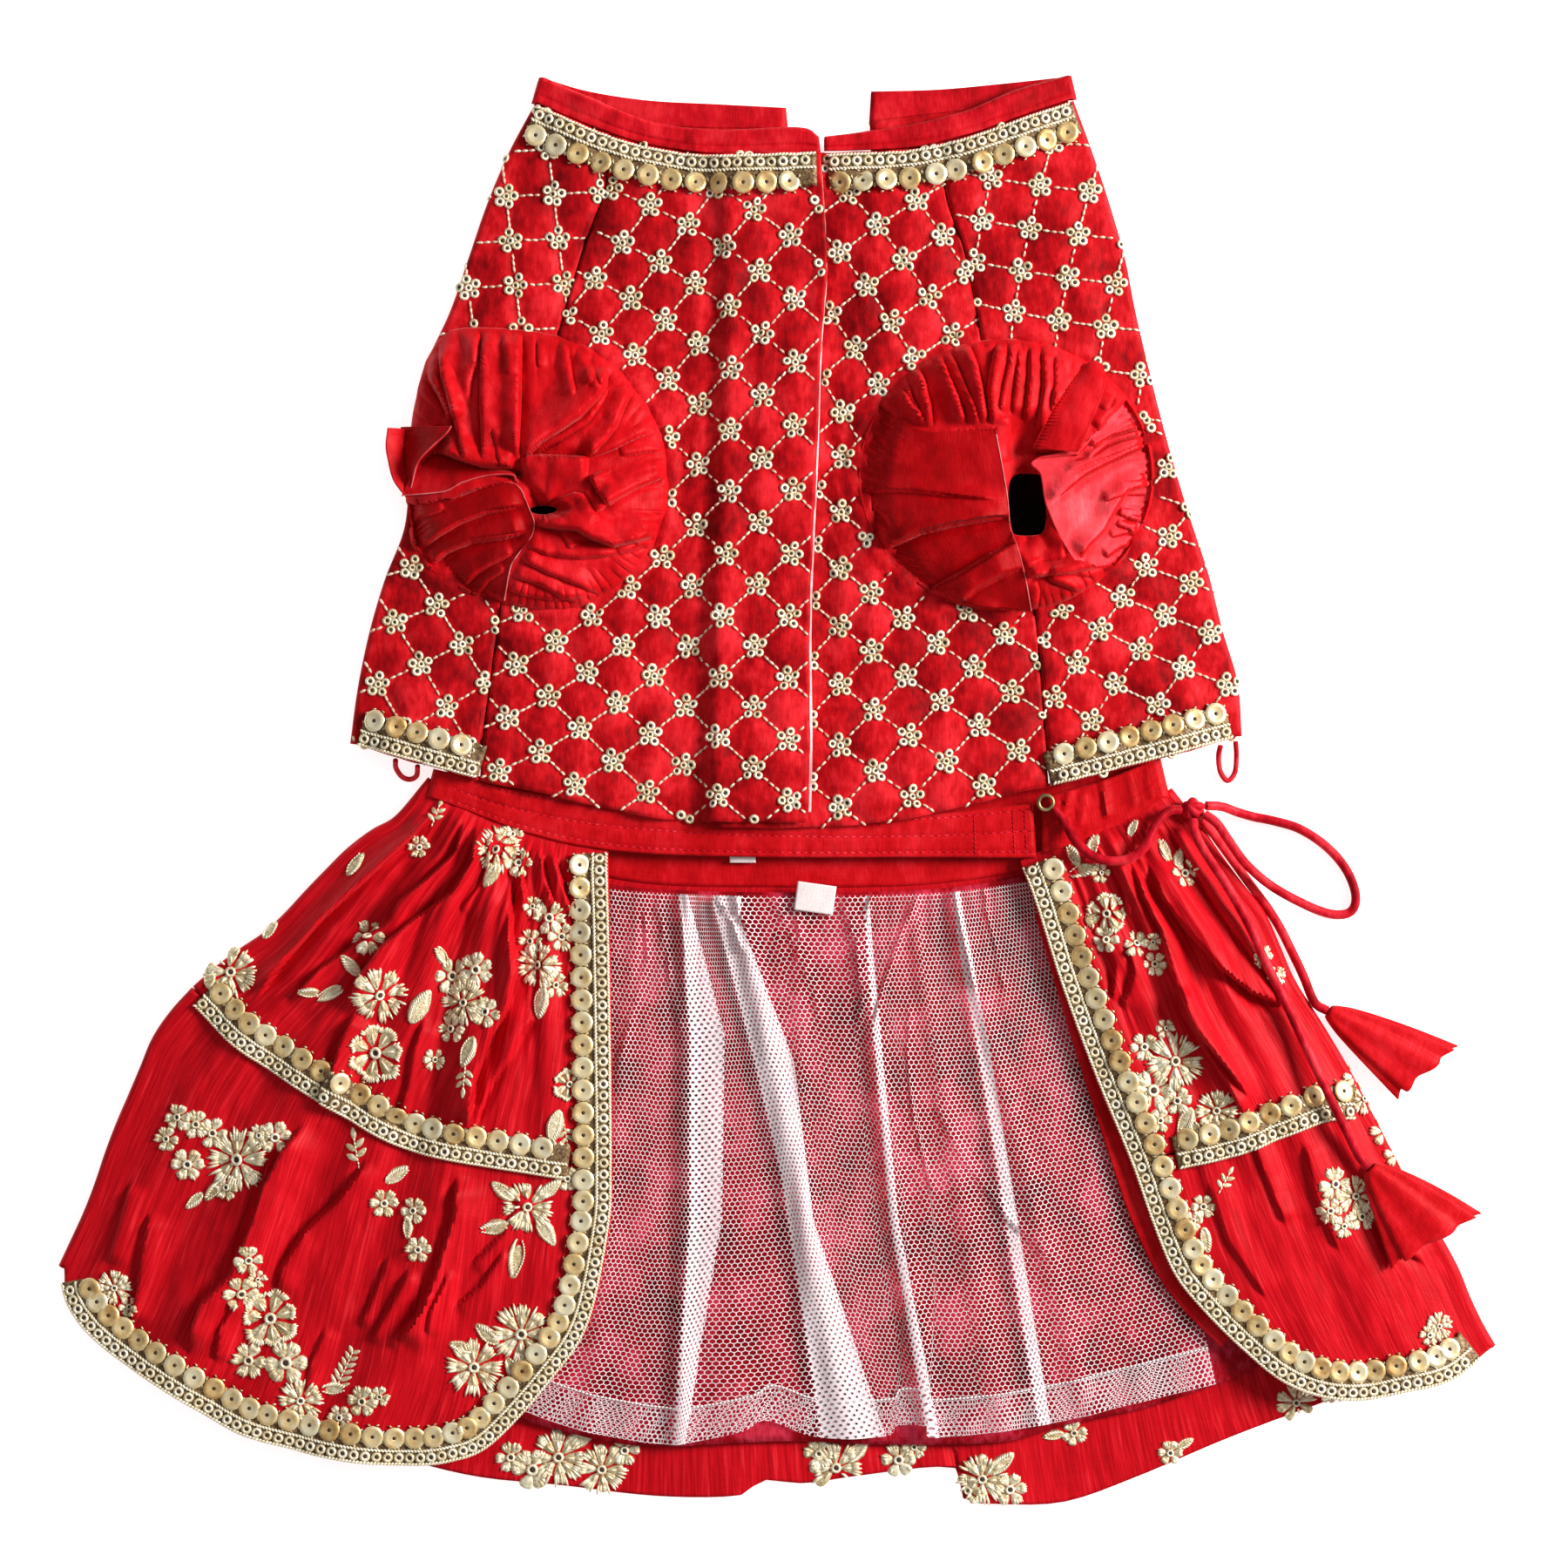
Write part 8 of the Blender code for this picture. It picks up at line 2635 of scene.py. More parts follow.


# The skirt's main creases on each front
SKIRT_CREASES = {
    "left": [
        {"line": [(-82.7, -8.2), (-83.7, -19.4), (-88.7, -27.4), (-99.4, -34.9), (-108.3, -42.3),
                  (-114.9, -50.9), (-118.9, -61)],
         "rise": 3.0, "width": 14},
        {"line": [(-85.9, -6.6), (-88.4, -16.7), (-95.9, -24), (-103.7, -30.1), (-105.8, -34.9),
                  (-114.9, -41.3), (-125.5, -48.7), (-135.1, -58.9)],
         "rise": 2.4, "width": 9},
        {"line": [(-143.7, -57.8), (-135.1, -46.1), (-125.5, -35.4), (-114.9, -25.8), (-104.2, -16.2),
                  (-93, -5.5)],
         "rise": 2.5, "width": 10},
        {"line": [(-146.9, -46.1), (-134.1, -34.9), (-120.2, -22.1), (-107.4, -8.7), (-96.7, -1.3)],
         "rise": 1.2, "width": 5},
        {"line": [(-84.5, -94.6), (-82.7, -79.1), (-78.4, -67.4), (-73.7, -58.9), (-71.8, -49.3),
                  (-73, -38.6), (-73.1, -23.1)],
         "rise": 3.2, "width": 12},
        {"line": [(-68.8, -31.1), (-70.1, -21.8), (-67.3, -13.5)], "rise": 1.5, "width": 4},
        {"line": [(-61.2, -31.7), (-63.8, -22.8), (-65.3, -13.5)], "rise": 1.5, "width": 4},
        {"line": [(-56.4, -33.3), (-59.8, -21.8), (-62.6, -13.5)], "rise": 1.6, "width": 5},
        {"line": [(-83.1, -92.5), (-78.6, -80.4), (-73.3, -73), (-69.9, -66.3), (-65.3, -61.5)],
         "rise": 1.8, "width": 8},
        {"line": [(-115.7, -60.5), (-119.7, -68.5), (-122.3, -77.2), (-125.2, -87.5)],
         "rise": 2.2, "width": 9},
        {"line": [(-96.7, -62.1), (-99.9, -71.7), (-101.5, -81.3), (-104.4, -90.3)],
         "rise": 1.3, "width": 8},
        {"line": [(-78.6, -11.9), (-80.2, -23.7), (-87.1, -33.3)], "rise": 1.0, "width": 6},
        {"line": [(-128.9, -90.6), (-135.5, -98.1), (-140.7, -108.1), (-143.7, -118.1), (-149.7, -132.1),
                  (-157.7, -140.1), (-160.5, -147.1), (-161.4, -155.6)],
         "rise": 2.8, "width": 13},
        {"line": [(-172.5, -115.6), (-175.1, -129.1), (-176.5, -139.1), (-178.4, -146.6)],
         "rise": 1.6, "width": 9},
        {"line": [(-178.2, -108.1), (-180.7, -118.1), (-184.2, -130.1)], "rise": 1.2, "width": 8},
        {"line": [(-111.7, -100.6), (-119.7, -111.1), (-129.7, -120.6), (-135.5, -130.1), (-137.7, -139.6)],
         "rise": 1.8, "width": 7},
        {"line": [(-87.7, -105.1), (-88.5, -116.1), (-93.1, -131.1), (-96.7, -141.1), (-104.2, -151.6)],
         "rise": 2.6, "width": 11},
        {"line": [(-106.5, -127.9), (-110.7, -138.1), (-114.9, -147.3)], "rise": 1.1, "width": 5},
        {"line": [(-100.5, -130.9), (-106.7, -142.1), (-111.9, -151.3)], "rise": 1.4, "width": 5},
        {"line": [(-95.5, -136.1), (-99.7, -144.1), (-106.9, -152.3)], "rise": 1.1, "width": 4},
        {"line": [(-89.5, -131.1), (-94.7, -142.1), (-95.9, -149.6)], "rise": 1.2, "width": 5},
        {"line": [(-74.5, -125.9), (-81.7, -136.1), (-88.9, -142.3)], "rise": 1.0, "width": 6},
        {"line": [(-147.5, -138.9), (-152.7, -147.3), (-154.5, -156.6)], "rise": 1.3, "width": 7},
        {"line": [(-69.7, -110.1), (-75.7, -122.1), (-84.7, -131.1)], "rise": 0.9, "width": 7},
        {"line": [(-123.7, -147.1), (-127.7, -156.1), (-129.7, -165.1)], "rise": 0.9, "width": 7},
    ],
    "right": [
        {"line": [(101.6, -19.4), (105.7, -29.2), (112.8, -39), (121.5, -48.5), (130.2, -55.4),
                  (141.1, -60)],
         "rise": 2.9, "width": 11},
        {"line": [(96.9, -18.3), (100.2, -28.6), (105.1, -38.4), (107.5, -47.2), (109.7, -54.8),
                  (114.9, -65.7), (123.7, -76.6), (130.2, -85.4)],
         "rise": 2.2, "width": 8},
        {"line": [(110.4, -52.6), (111.9, -61.4), (117.1, -71.2), (123.7, -81), (128, -89.2)],
         "rise": 1.8, "width": 8},
        {"line": [(107.3, -9.5), (114.9, -22.1), (121.5, -33), (130.2, -45), (139.5, -56.4)],
         "rise": 1.5, "width": 6},
        {"line": [(88.8, -39), (92.6, -47.2), (91.8, -57.5)], "rise": 1.4, "width": 5},
        {"line": [(95.8, -41.2), (97.7, -49.4), (94.5, -59.7)], "rise": 1.2, "width": 5},
        {"line": [(90.7, -18.8), (95.3, -27.5), (96.4, -34.6)], "rise": 1.2, "width": 4},
        {"line": [(92.6, -18.8), (97.7, -29.7), (101.8, -41.7)], "rise": 1.0, "width": 4},
        {"line": [(130.2, -96.3), (134.6, -107.2), (139.5, -119.2)], "rise": 1.0, "width": 8},
        {"line": [(144.4, -96.3), (147.7, -111.5), (154.2, -126.8)], "rise": 0.9, "width": 9},
        {"line": [(118.2, -107.2), (123.7, -123.5), (134.6, -139.9)], "rise": 0.8, "width": 9},
        {"line": [(160.8, -101.7), (162.9, -113.7), (167.8, -123.5), (179.3, -130.6)],
         "rise": 1.2, "width": 9},
    ],
}


def front_base(side: str, across: float) -> float:
    """The level of a front's upper face before its folds: it climbs from the folded side over the net."""
    climb = {"left": 3.2, "right": 3.4}[side]
    return 2 * SKIRT_FOLD + climb * smooth_step(across / 0.3)


def back_top(plan: Vector) -> float:
    """The upper face of the skirt's back, which lies on the surface.

    Args:
        plan: The place in plan.

    Returns:
        The height in millimetres.
    """
    height = CLOTH
    for wave in BACK_WAVES:
        height += (wave["height"] * bump(plan.x - wave["x"], wave["width"])
                   * smooth_step((-plan.y - 125) / 40))
    return height


# Narrow pleats that run down from the waist: shares of the width at the waist and at the seam, how far down
# they reach, their rise and their width in millimetres
WAIST_PLEATS = {
    "left": [(0.05, 0.02, 0.9, 0.7, 2.6), (0.13, 0.20, 0.8, 0.9, 2.4), (0.18, 0.27, 1.1, 0.8, 2.6),
             (0.27, 0.40, 0.9, 1.0, 2.4), (0.31, 0.45, 0.7, 0.8, 2.2), (0.40, 0.57, 1.2, 1.0, 2.6),
             (0.45, 0.61, 0.7, 0.9, 2.2), (0.54, 0.72, 1.1, 0.9, 2.4), (0.58, 0.74, 0.6, 0.8, 2.0),
             (0.67, 0.82, 0.9, 0.9, 2.2), (0.72, 0.84, 0.5, 0.7, 2.0), (0.82, 0.91, 0.8, 0.7, 2.2),
             (0.90, 0.95, 0.6, 0.5, 2.0)],
    "right": [(0.06, 0.04, 0.8, 0.7, 2.4), (0.17, 0.20, 1.0, 0.9, 2.4), (0.23, 0.24, 0.7, 0.8, 2.0),
              (0.36, 0.40, 1.1, 0.9, 2.4), (0.41, 0.44, 0.7, 0.7, 2.0), (0.54, 0.60, 1.0, 0.9, 2.2),
              (0.60, 0.63, 0.6, 0.7, 2.0), (0.72, 0.77, 0.9, 0.8, 2.2), (0.88, 0.91, 0.8, 0.6, 2.0)],
}


@dataclass
class Skirt:
    """The skirt: its yoke and flounce, lining, net and the lining's front edge."""

    finishes: Finishes
    seam_share: float = 0.5
    rows: int = 84
    wall: float = 0.9
    widths: dict[str, float] = field(default_factory=lambda: {"left": 110.0, "right": 70.0})
    creases: dict[str, list[Crease]] = field(
        default_factory=lambda: {side: [Crease(**row) for row in rows]
                                 for side, rows in SKIRT_CREASES.items()})

    def pleats(self, side: str, across: float, down: float) -> float:
        """The height of the narrow pleats near the waist, and of the flounce's own gathers.

        Args:
            side: The garment's side.
            across: The share of the way across.
            down: The share of the front's whole length.

        Returns:
            The height that they add.
        """
        height = 0.0
        width = self.widths[side]
        for waist, seam, reach, rise, wide in WAIST_PLEATS[side]:
            line = waist + (seam - waist) * down / self.seam_share
            fade = smooth_step((reach * self.seam_share - down) / 0.22)
            away = (across - line) * width
            height += rise * fade * (dent(away, 0.5 * wide) - 0.5 * dent(away - wide, 0.5 * wide))
        if down > self.seam_share:
            below = (down - self.seam_share) * 150
            gathers = 0.55 * noise.noise(Vector((across * width / 3.4, below / 40, 7.0)))
            height += gathers * (0.35 + 0.65 * math.exp(-below / 22))
        return height * smooth_step(across * 10) * smooth_step((1 - across) * 12)

    def front_height(self, side: str, plan: Vector, across: float, down: float) -> float:
        """The upper face of a front at a share of the whole length.

        Args:
            side: The garment's side.
            plan: The place in plan.
            across: The share of the way across.
            down: The share of the front's whole length.

        Returns:
            The height in millimetres.
        """
        height = front_base(side, across)
        height += 0.8 * skirt_folds(side, across, down, self.seam_share, self.widths[side])
        height += 0.55 * self.pleats(side, across, down)
        height += (1.35 * crease_lift(plan, self.creases[side]) * smooth_step(across * 12)
                   * smooth_step((1 - across) * 14))
        soft = 0.5 * wobble(plan.x, plan.y * 0.6, 15, 1.0) + 0.16 * wobble(plan.x, plan.y * 0.7, 5, 4.0)
        return height + soft * smooth_step(across * 6) * smooth_step((1 - across) * 8)

    def build(self) -> Surface:
        """Builds both tiers, the lining and the net.

        Returns:
            The surface of the tiers, to lay laces and embroidery on.
        """
        left_yoke, left_flounce = parted(turned_in(SKIRT_LEFT, SKIRT_FOLD, True, 24), TIER_LEFT[0], SEAM_GAP)
        right_yoke, right_flounce = parted(turned_in(SKIRT_RIGHT, SKIRT_FOLD, False, 24), TIER_RIGHT[0],
                                           SEAM_GAP)
        yoke = self.build_tier("silk_yoke", "skirt_yoke", (left_yoke, right_yoke),
                               (YOKE_FRONT_LEFT, YOKE_FRONT_RIGHT), (WAIST_LEFT, WAIST_RIGHT, WAIST_BACK),
                               (TIER_LEFT, TIER_RIGHT, TIER_BACK), 0.0, self.seam_share)
        flounce = self.build_tier("silk_flounce", "skirt_flounce", (left_flounce, right_flounce),
                                  (FLOUNCE_FRONT_LEFT, FLOUNCE_FRONT_RIGHT),
                                  (TIER_LEFT, TIER_RIGHT, TIER_BACK),
                                  (FRONT_HEM_LEFT, FRONT_HEM_RIGHT, BACK_HEM), self.seam_share, 1.0)
        self.build_lining()
        self.build_lining_edge()
        return Surface(yoke, flounce)

    def build_tier(self, name: str, node: str, folds: tuple[Points, Points], fronts: tuple[Points, Points],
                   tops: Sequence[Points], hems: Sequence[Points], start: float,
                   end: float) -> bpy.types.Object:
        """Builds a tier in one piece round both sides.

        Args:
            name: The piece's name.
            node: The CAD node that it replaces.
            folds: Its left and right folded sides.
            fronts: Its left and right front edges.
            tops: Its upper edge on the left front, the right front and the back.
            hems: Its lower edge on the same three.
            start: Its upper edge's share of the skirt's length.
            end: Its lower edge's share.

        Returns:
            The object.
        """
        shift = Vector((0, 1.2 if start == 0.0 else -SEAM_GAP))
        tops = [[tuple(Vector(p) + shift) for p in line] for line in tops]
        if start == 0.0:
            tops[0][0] = (tops[0][0][0] + 3.0, tops[0][0][1] + 3.4)
            tops[0][1] = (tops[0][1][0] + 0.6, tops[0][1][1] + 2.4)
            tops[1][1] = (tops[1][1][0], tops[1][1][1] + 4.0)
            tops[1][2] = (tops[1][2][0], tops[1][2][1] + 2.0)
        patches = {}
        for index, side in enumerate(("left", "right")):
            fold, front = folds[index], fronts[index]
            if start == 0.0 and side == "left":
                fold = [tops[0][0], *fold[1:]]
            if start == 0.0 and side == "right":
                fold = [(fold[0][0] - 0.4, fold[0][1] + 4.2), *fold[1:]]
            patches[side] = Patch(fold, [tuple(Vector(front[0]) + shift), *front[1:]],
                                  [fold[0], *tops[index][1:]],
                                  [fold[-1], *hems[index][1:]])
        under = Patch(folds[0], folds[1], [folds[0][0], *tops[2][1:-1], folds[1][0]],
                      [folds[0][-1], *hems[2][1:-1], folds[1][-1]])

        def top_column(side: str, across: float) -> Callable[[float], Vector]:
            """A column of one front.

            Args:
                side: The garment's side.
                across: The share of the way across.

            Returns:
                The column's points, by the share down.
            """
            def at(down: float) -> Vector:
                """A point of the column.

                Args:
                    down: The share of the way down.

                Returns:
                    The point in millimetres.
                """
                plan = patches[side].at(across, down)
                overall = start + (end - start) * down
                height = self.front_height(side, plan, across, overall)
                height -= 0.5 * smooth_step((down - 0.985) / 0.015)
                if start == 0.0:
                    tucked = min(height, 4.4)
                    height = tucked + (height - tucked) * smooth_step((down - 0.012) / 0.06)
                return raised(plan, height)
            return at

        def under_column(across: float) -> Callable[[float], Vector]:
            """A column of the back.

            Args:
                across: The share of the way across.

            Returns:
                The column's points, by the share down.
            """
            def at(down: float) -> Vector:
                """A point of the column.

                Args:
                    down: The share of the way down.

                Returns:
                    The point in millimetres.
                """
                plan = under.at(across, down)
                lift = (back_top(plan) - CLOTH) * smooth_step(across * 8) * smooth_step((1 - across) * 8)
                return raised(plan, lift)
            return at

        columns = [top_column("left", a) for a in even(230)[::-1]]
        columns += turn_columns(patches["left"].side, 1, SKIRT_FOLD, True)
        columns += [under_column(a) for a in even(90)]
        columns += turn_columns(patches["right"].side, -1, SKIRT_FOLD, False)
        columns += [top_column("right", a) for a in even(160)]
        sheet = Sheet(name, columns, self.rows, self.finishes.silk, self.wall, turned=True)
        made = ready(sheet.build(), Slot.SILK, node)
        sheet.declare()
        return made

    def build_lining(self) -> None:
        """The red lining, and the white net over it with its pressed pleats."""
        lining = Patch(LINING_LEFT, LINING_RIGHT, LINING_TOP, LINING_HEM)

        def lining_column(across: float) -> Callable[[float], Vector]:
            """A column of the lining.

            Args:
                across: The share of the way across.

            Returns:
                The column's points, by the share down.
            """
            def at(down: float) -> Vector:
                """A point of the column.

                Args:
                    down: The share of the way down.

                Returns:
                    The point in millimetres.
                """
                plan = lining.at(across, down)
                soft = 0.25 * wobble(plan.x, plan.y * 0.5, 12, 6.0) - 0.3 * dent((1 - down) * 150 - 9, 0.7)
                return raised(plan, back_top(plan) + LAYER_GAP + NET + soft)
            return at

        sheet = Sheet("red_lining", [lining_column(a) for a in even(100)], 60, self.finishes.lining, 0.6,
                      turned=False)
        made = ready(sheet.build(), Slot.PLAIN, "skirt_lining")
        sheet.declare(["silk_flounce"])
        Net(self.finishes).build()

    def build_lining_edge(self) -> None:
        """The lining's front edge, between the net and the right front."""
        edge = Patch(LINING_EDGE_OUT, LINING_EDGE_IN, [LINING_EDGE_OUT[0], LINING_EDGE_IN[0]],
                     [LINING_EDGE_OUT[-1], LINING_EDGE_IN[-1]])

        def column(across: float) -> Callable[[float], Vector]:
            """A column of the lining's edge.

            Args:
                across: The share of the way across.

            Returns:
                The column's points, by the share down.
            """
            def at(down: float) -> Vector:
                """A point of the column.

                Args:
                    down: The share of the way down.

                Returns:
                    The point in millimetres.
                """
                plan = edge.at(across, down)
                soft = 0.3 * wobble(plan.x, plan.y, 9, 2.0) - 0.3 * dent(across - 0.3, 0.07)
                return raised(plan, back_top(plan) + 3 * (LAYER_GAP + NET) + soft)
            return at

        sheet = Sheet("lining_front_edge", [column(a) for a in even(16)], 60, self.finishes.plain, 0.7,
                      turned=False)
        made = sheet.build()
        if made.data.polygons[200].normal.z < 0:
            made.data.flip_normals()
        ready(made, Slot.PLAIN, "lining_edge_right")
        sheet.declare(["white_net_layer"])


# Pressed pleats of the net: the left and right edge of each, from the waist to the hem, and how far the
# cloth between them stands up
NET_PLEATS = [
    {"left": [(-26.6, -28.6), (-23.5, -67), (-23.5, -118), (-27.8, -179.5)],
     "right": [(-24.5, -28.6), (-14.4, -67), (-15.1, -118), (-25.2, -179.5)]},
    {"left": [(-17.5, -31), (-6, -74.6), (1.4, -106), (12.5, -176.9)],
     "right": [(-9.8, -36.2), (4.8, -74.6), (10, -118), (30, -177.6)]},
    {"left": [(24.6, -31.7), (27.6, -74), (31.5, -118), (41.5, -176)],
     "right": [(25.4, -31.7), (29.2, -74), (33.5, -118), (44.5, -176)]},
    {"left": [(47.8, -22), (50.9, -46.8), (55.4, -69.8), (72.7, -176)],
     "right": [(49.2, -22), (53.9, -46.8), (58.4, -69.8), (75.7, -176)]},
]


@dataclass
class Net:
    """The white net over the lining, in one piece with pressed pleats that lie three deep."""

    finishes: Finishes
    layer: float = 0.42
    hem: float = 10.6
    drop: float = 152.0
    creases: list[Crease] = field(default_factory=lambda: [Crease(**row) for row in NET_CREASES])

    def share_at(self, patch: Patch, edge: Points, down: float) -> float:
        """The share across the net at which a pleat's edge runs at this share down.

        Args:
            patch: The net's patch.
            edge: The pleat's edge in plan.
            down: The share of the way down.

        Returns:
            The share across.
        """
        share = 0.5
        for _ in range(4):
            here = patch.at(share, down)
            x = fold_at(edge, here.y)
            left, right = patch.at(0.0, down), patch.at(1.0, down)
            share += (x - here.x) / (right.x - left.x)
        return min(0.97, max(0.03, share))

    def height(self, plan: Vector, down: float) -> float:
        """The net's level between its pleats.

        Args:
            plan: The place in plan.
            down: The share of the way down.

        Returns:
            The height in millimetres.
        """
        height = back_top(plan) + 2 * (LAYER_GAP + NET)
        near_edge = smooth_step((fold_at(LINING_EDGE_OUT, plan.y) - plan.x - 3) / 8)
        for fold in NET_FOLDS:
            line = fold["top"] + (fold["hem"] - fold["top"]) * down
            height += (0.6 * fold["height"] * bump(plan.x - line, fold["width"] * (0.7 + 0.5 * down))
                       * smooth_step((0.25 + down) * 3) * near_edge)
        gathers = noise.noise(Vector((plan.x / 2.6, down * 2.5, 3.0))) * math.exp(-down * 6)
        soft = 0.35 * wobble(plan.x, plan.y * 0.35, 8, 2.0)
        return height + (0.8 * gathers + soft + 1.5 * crease_lift(plan, self.creases)) * near_edge

    def build(self) -> None:
        """Builds the net."""
        patch = Patch(NET_LEFT, NET_RIGHT, NET_TOP, NET_HEM)
        edges = [(row["left"], row["right"]) for row in NET_PLEATS]
        stops: list[tuple[Callable[[float], float], float]] = [(lambda down: 0.0, 0.0)]
        for left, right in edges:
            stops.append((lambda down, e=left: self.share_at(patch, e, down), 2.0))
            stops.append((lambda down, e=right: self.share_at(patch, e, down), 2.0))
            stops.append((lambda down, e=left: self.share_at(patch, e, down), 0.0))
        stops.append((lambda down: 1.0, 0.0))
        columns, folded = [], []
        for (start, low), (end, high) in zip(stops, stops[1:]):
            backwards = low == 2.0 and high == 0.0
            count = 6 if backwards else (8 if low == 2.0 else 34)
            for step in range(count if end is not stops[-1][0] else count + 1):
                columns.append(self.column(patch, start, end, low, high, step / count))
                folded.append(low == 2.0 and high == 2.0)
        sheet = Sheet("white_net_layer", columns, 110, self.finishes.net, 0.0, turned=False, folded=folded)
        made = ready(sheet.build(), Slot.NET, "net_lining")
        sheet.declare(["red_lining"])
        self.build_hem(patch)

    def column(self, patch: Patch, start: Callable[[float], float], end: Callable[[float], float],
               low: float,
               high: float, share: float) -> Callable[[float], Vector]:
        """A column between two pleat edges, whose layer goes from low to high.

        Args:
            patch: The net's patch.
            start: The left edge's share across, by the share down.
            end: The right edge's share across, by the share down.
            low: The layer at the left edge.
            high: The layer at the right edge.
            share: The column's share of the way between the edges.

        Returns:
            The column's points, by the share down.
        """
        def at(down: float) -> Vector:
            """A point of the column.

            Args:
                down: The share of the way down.

            Returns:
                The point in millimetres.
            """
            a, b = start(down), end(down)
            plan = patch.at(a + (b - a) * share, down)
            if low == 0.0 and high == 2.0:
                level = 2.0 * smooth_step(1 - (b - a) * (1 - share) * 170 / 4.5)
            else:
                level = low + (high - low) * share
            return raised(plan, self.height(plan, down) + self.layer * level)
        return at

    def build_hem(self, patch: Patch) -> None:
        """The net's turned-up hem, a second layer under a line of white stitches.

        Args:
            patch: The net's patch.
        """
        def column(across: float) -> Callable[[float], Vector]:
            """A column of the turned hem.

            Args:
                across: The share of the way across.

            Returns:
                The column's points, by the share down.
            """
            def at(down: float) -> Vector:
                """A point of the column.

                Args:
                    down: The share of the way down.

                Returns:
                    The point in millimetres.
                """
                share = 1 - (1 - down) * self.hem / self.drop
                plan = patch.at(across, share)
                return raised(plan, self.height(plan, share) + 0.25)
            return at

        sheet = Sheet("net_turned_hem", [column(a) for a in even(150)], 6, self.finishes.net, 0.0,
                      turned=False)
        made = ready(sheet.build(), Slot.NET)
        sheet.declare(["white_net_layer"])
        stitches = Scatter("net_hem_stitches", unit_stitch(), self.finishes.tape)
        for index in range(190):
            across = (index + 0.5) / 190
            plan = patch.at(across, 1 - self.hem / self.drop)
            ahead = patch.at(min(1.0, across + 0.004), 1 - self.hem / self.drop)
            heading = math.degrees(math.atan2(ahead.y - plan.y, ahead.x - plan.x))
            height = self.height(plan, 1 - self.hem / self.drop) + 0.45
            stitches.put(raised(plan, height), Vector((0, 0, 1)), heading, (1.2, 0.7, 0.5), 1.0)
        stitches.build(Slot.NET)


# The waistband, laces and closures


@dataclass
class Waistband:
    """The band: its free end on the left front, then round the back to the right front."""

    finishes: Finishes
    wall: float = 1.2
    creases: list[Crease] = field(default_factory=lambda: [Crease(**row) for row in BAND_CREASES])

    def soft(self, plan: Vector, down: float) -> float:
        """Rows of stitching with the puckers between them.

        Args:
            plan: The place in plan.
            down: The share of the way down.

        Returns:
            The height that they add.
        """
        rows = sum(dent(down - line, 0.035) for line in (0.1, 0.5, 0.88))
        pucker = (0.2 * noise.noise(Vector((plan.x / 2.2, down * 3, 5.0)))
                  + 0.2 * wobble(plan.x, plan.y, 12, 9.0))
        folds = crease_lift(plan, self.creases)
        return pucker + folds - 0.35 * rows - 0.3 * smooth_step((abs(down - 0.5) - 0.46) / 0.04)

    def build(self) -> bpy.types.Object:
        """Builds the band and its stitches.

        Returns:
            The band.
        """
        left_fold = [(-95 + BAND_FOLD, 5.5), (-97 + BAND_FOLD, -2)]
        right_fold = [(106 - BAND_FOLD, 8.5), (108.5 - BAND_FOLD, -2)]
        left = Patch(left_fold, [BAND_TOP_FRONT[0], BAND_BOTTOM_FRONT[0]],
                     [left_fold[0], *BAND_TOP_FRONT[-2::-1]], [left_fold[1], *BAND_BOTTOM_FRONT[-2::-1]])
        under = Patch(left_fold, right_fold, [left_fold[0], *BAND_TOP_BACK[1:-1], right_fold[0]],
                      [left_fold[1], *BAND_BOTTOM_BACK[1:-1], right_fold[1]])
        right = Patch(right_fold, [BAND_TOP_RIGHT[-1], BAND_BOTTOM_RIGHT[-1]],
                      [right_fold[0], *BAND_TOP_RIGHT[1:]], [right_fold[1], *BAND_BOTTOM_RIGHT[1:]])

        def top_column(patch: Patch, across: float) -> Callable[[float], Vector]:
            """A column of the band's upper face.

            Args:
                patch: The face's patch.
                across: The share of the way across.

            Returns:
                The column's points, by the share down.
            """
            def at(down: float) -> Vector:
                """A point of the column.

                Args:
                    down: The share of the way down.

                Returns:
                    The point in millimetres.
                """
                plan = patch.at(across, down)
                soft = self.soft(plan, down) * smooth_step(across * 14)
                return raised(plan, 2 * BAND_FOLD + soft - 0.4 * dent(1 - across, 0.004))
            return at

        columns = [top_column(left, a) for a in even(170)[::-1]]
        columns += turn_columns(left.side, 1, BAND_FOLD, True)
        columns += [lambda down, a=a: raised(under.at(a, down), 0.0) for a in even(60)]
        columns += turn_columns(right.side, -1, BAND_FOLD, False)
        columns += [top_column(right, a) for a in even(34)]
        sheet = Sheet("red_waistband", columns, 22, self.finishes.plain, self.wall, turned=True)
        made = ready(sheet.build(), Slot.PLAIN, "waistband")
        sheet.declare()
        self.sew(left, Surface(made))
        return made

    def sew(self, patch: Patch, surface: Surface) -> None:
        """Sews the rows of stitches, and the bar across the free end.

        Args:
            patch: The left part, whose other side is the free end.
            surface: The band.
        """
        stitches = Scatter("band_stitches", unit_stitch(), self.finishes.stitch)
        for line in (0.1, 0.5, 0.88):
            for index in range(76):
                plan = patch.at(1 - (index + 0.5) / 76 * 0.98, line)
                hit = surface.land(plan.x, plan.y)
                if hit:
                    stitches.put(hit.point + Vector((0, 0, 0.08)), hit.normal,
                                 4 * (steady(index + line) - 0.5),
                                 (1.7, 0.4, 0.35), steady(index * 3.1))
        for across in (0.985, 0.965, 0.9):
            for index in range(9):
                plan = patch.at(across, 0.08 + 0.84 * (index + 0.5) / 9)
                hit = surface.land(plan.x, plan.y)
                if hit:
                    stitches.put(hit.point + Vector((0, 0, 0.08)), hit.normal,
                                 90 + 8 * (steady(index) - 0.5),
                                 (1.2, 0.4, 0.35), steady(index * 1.7))
        stitches.build(Slot.PLAIN)


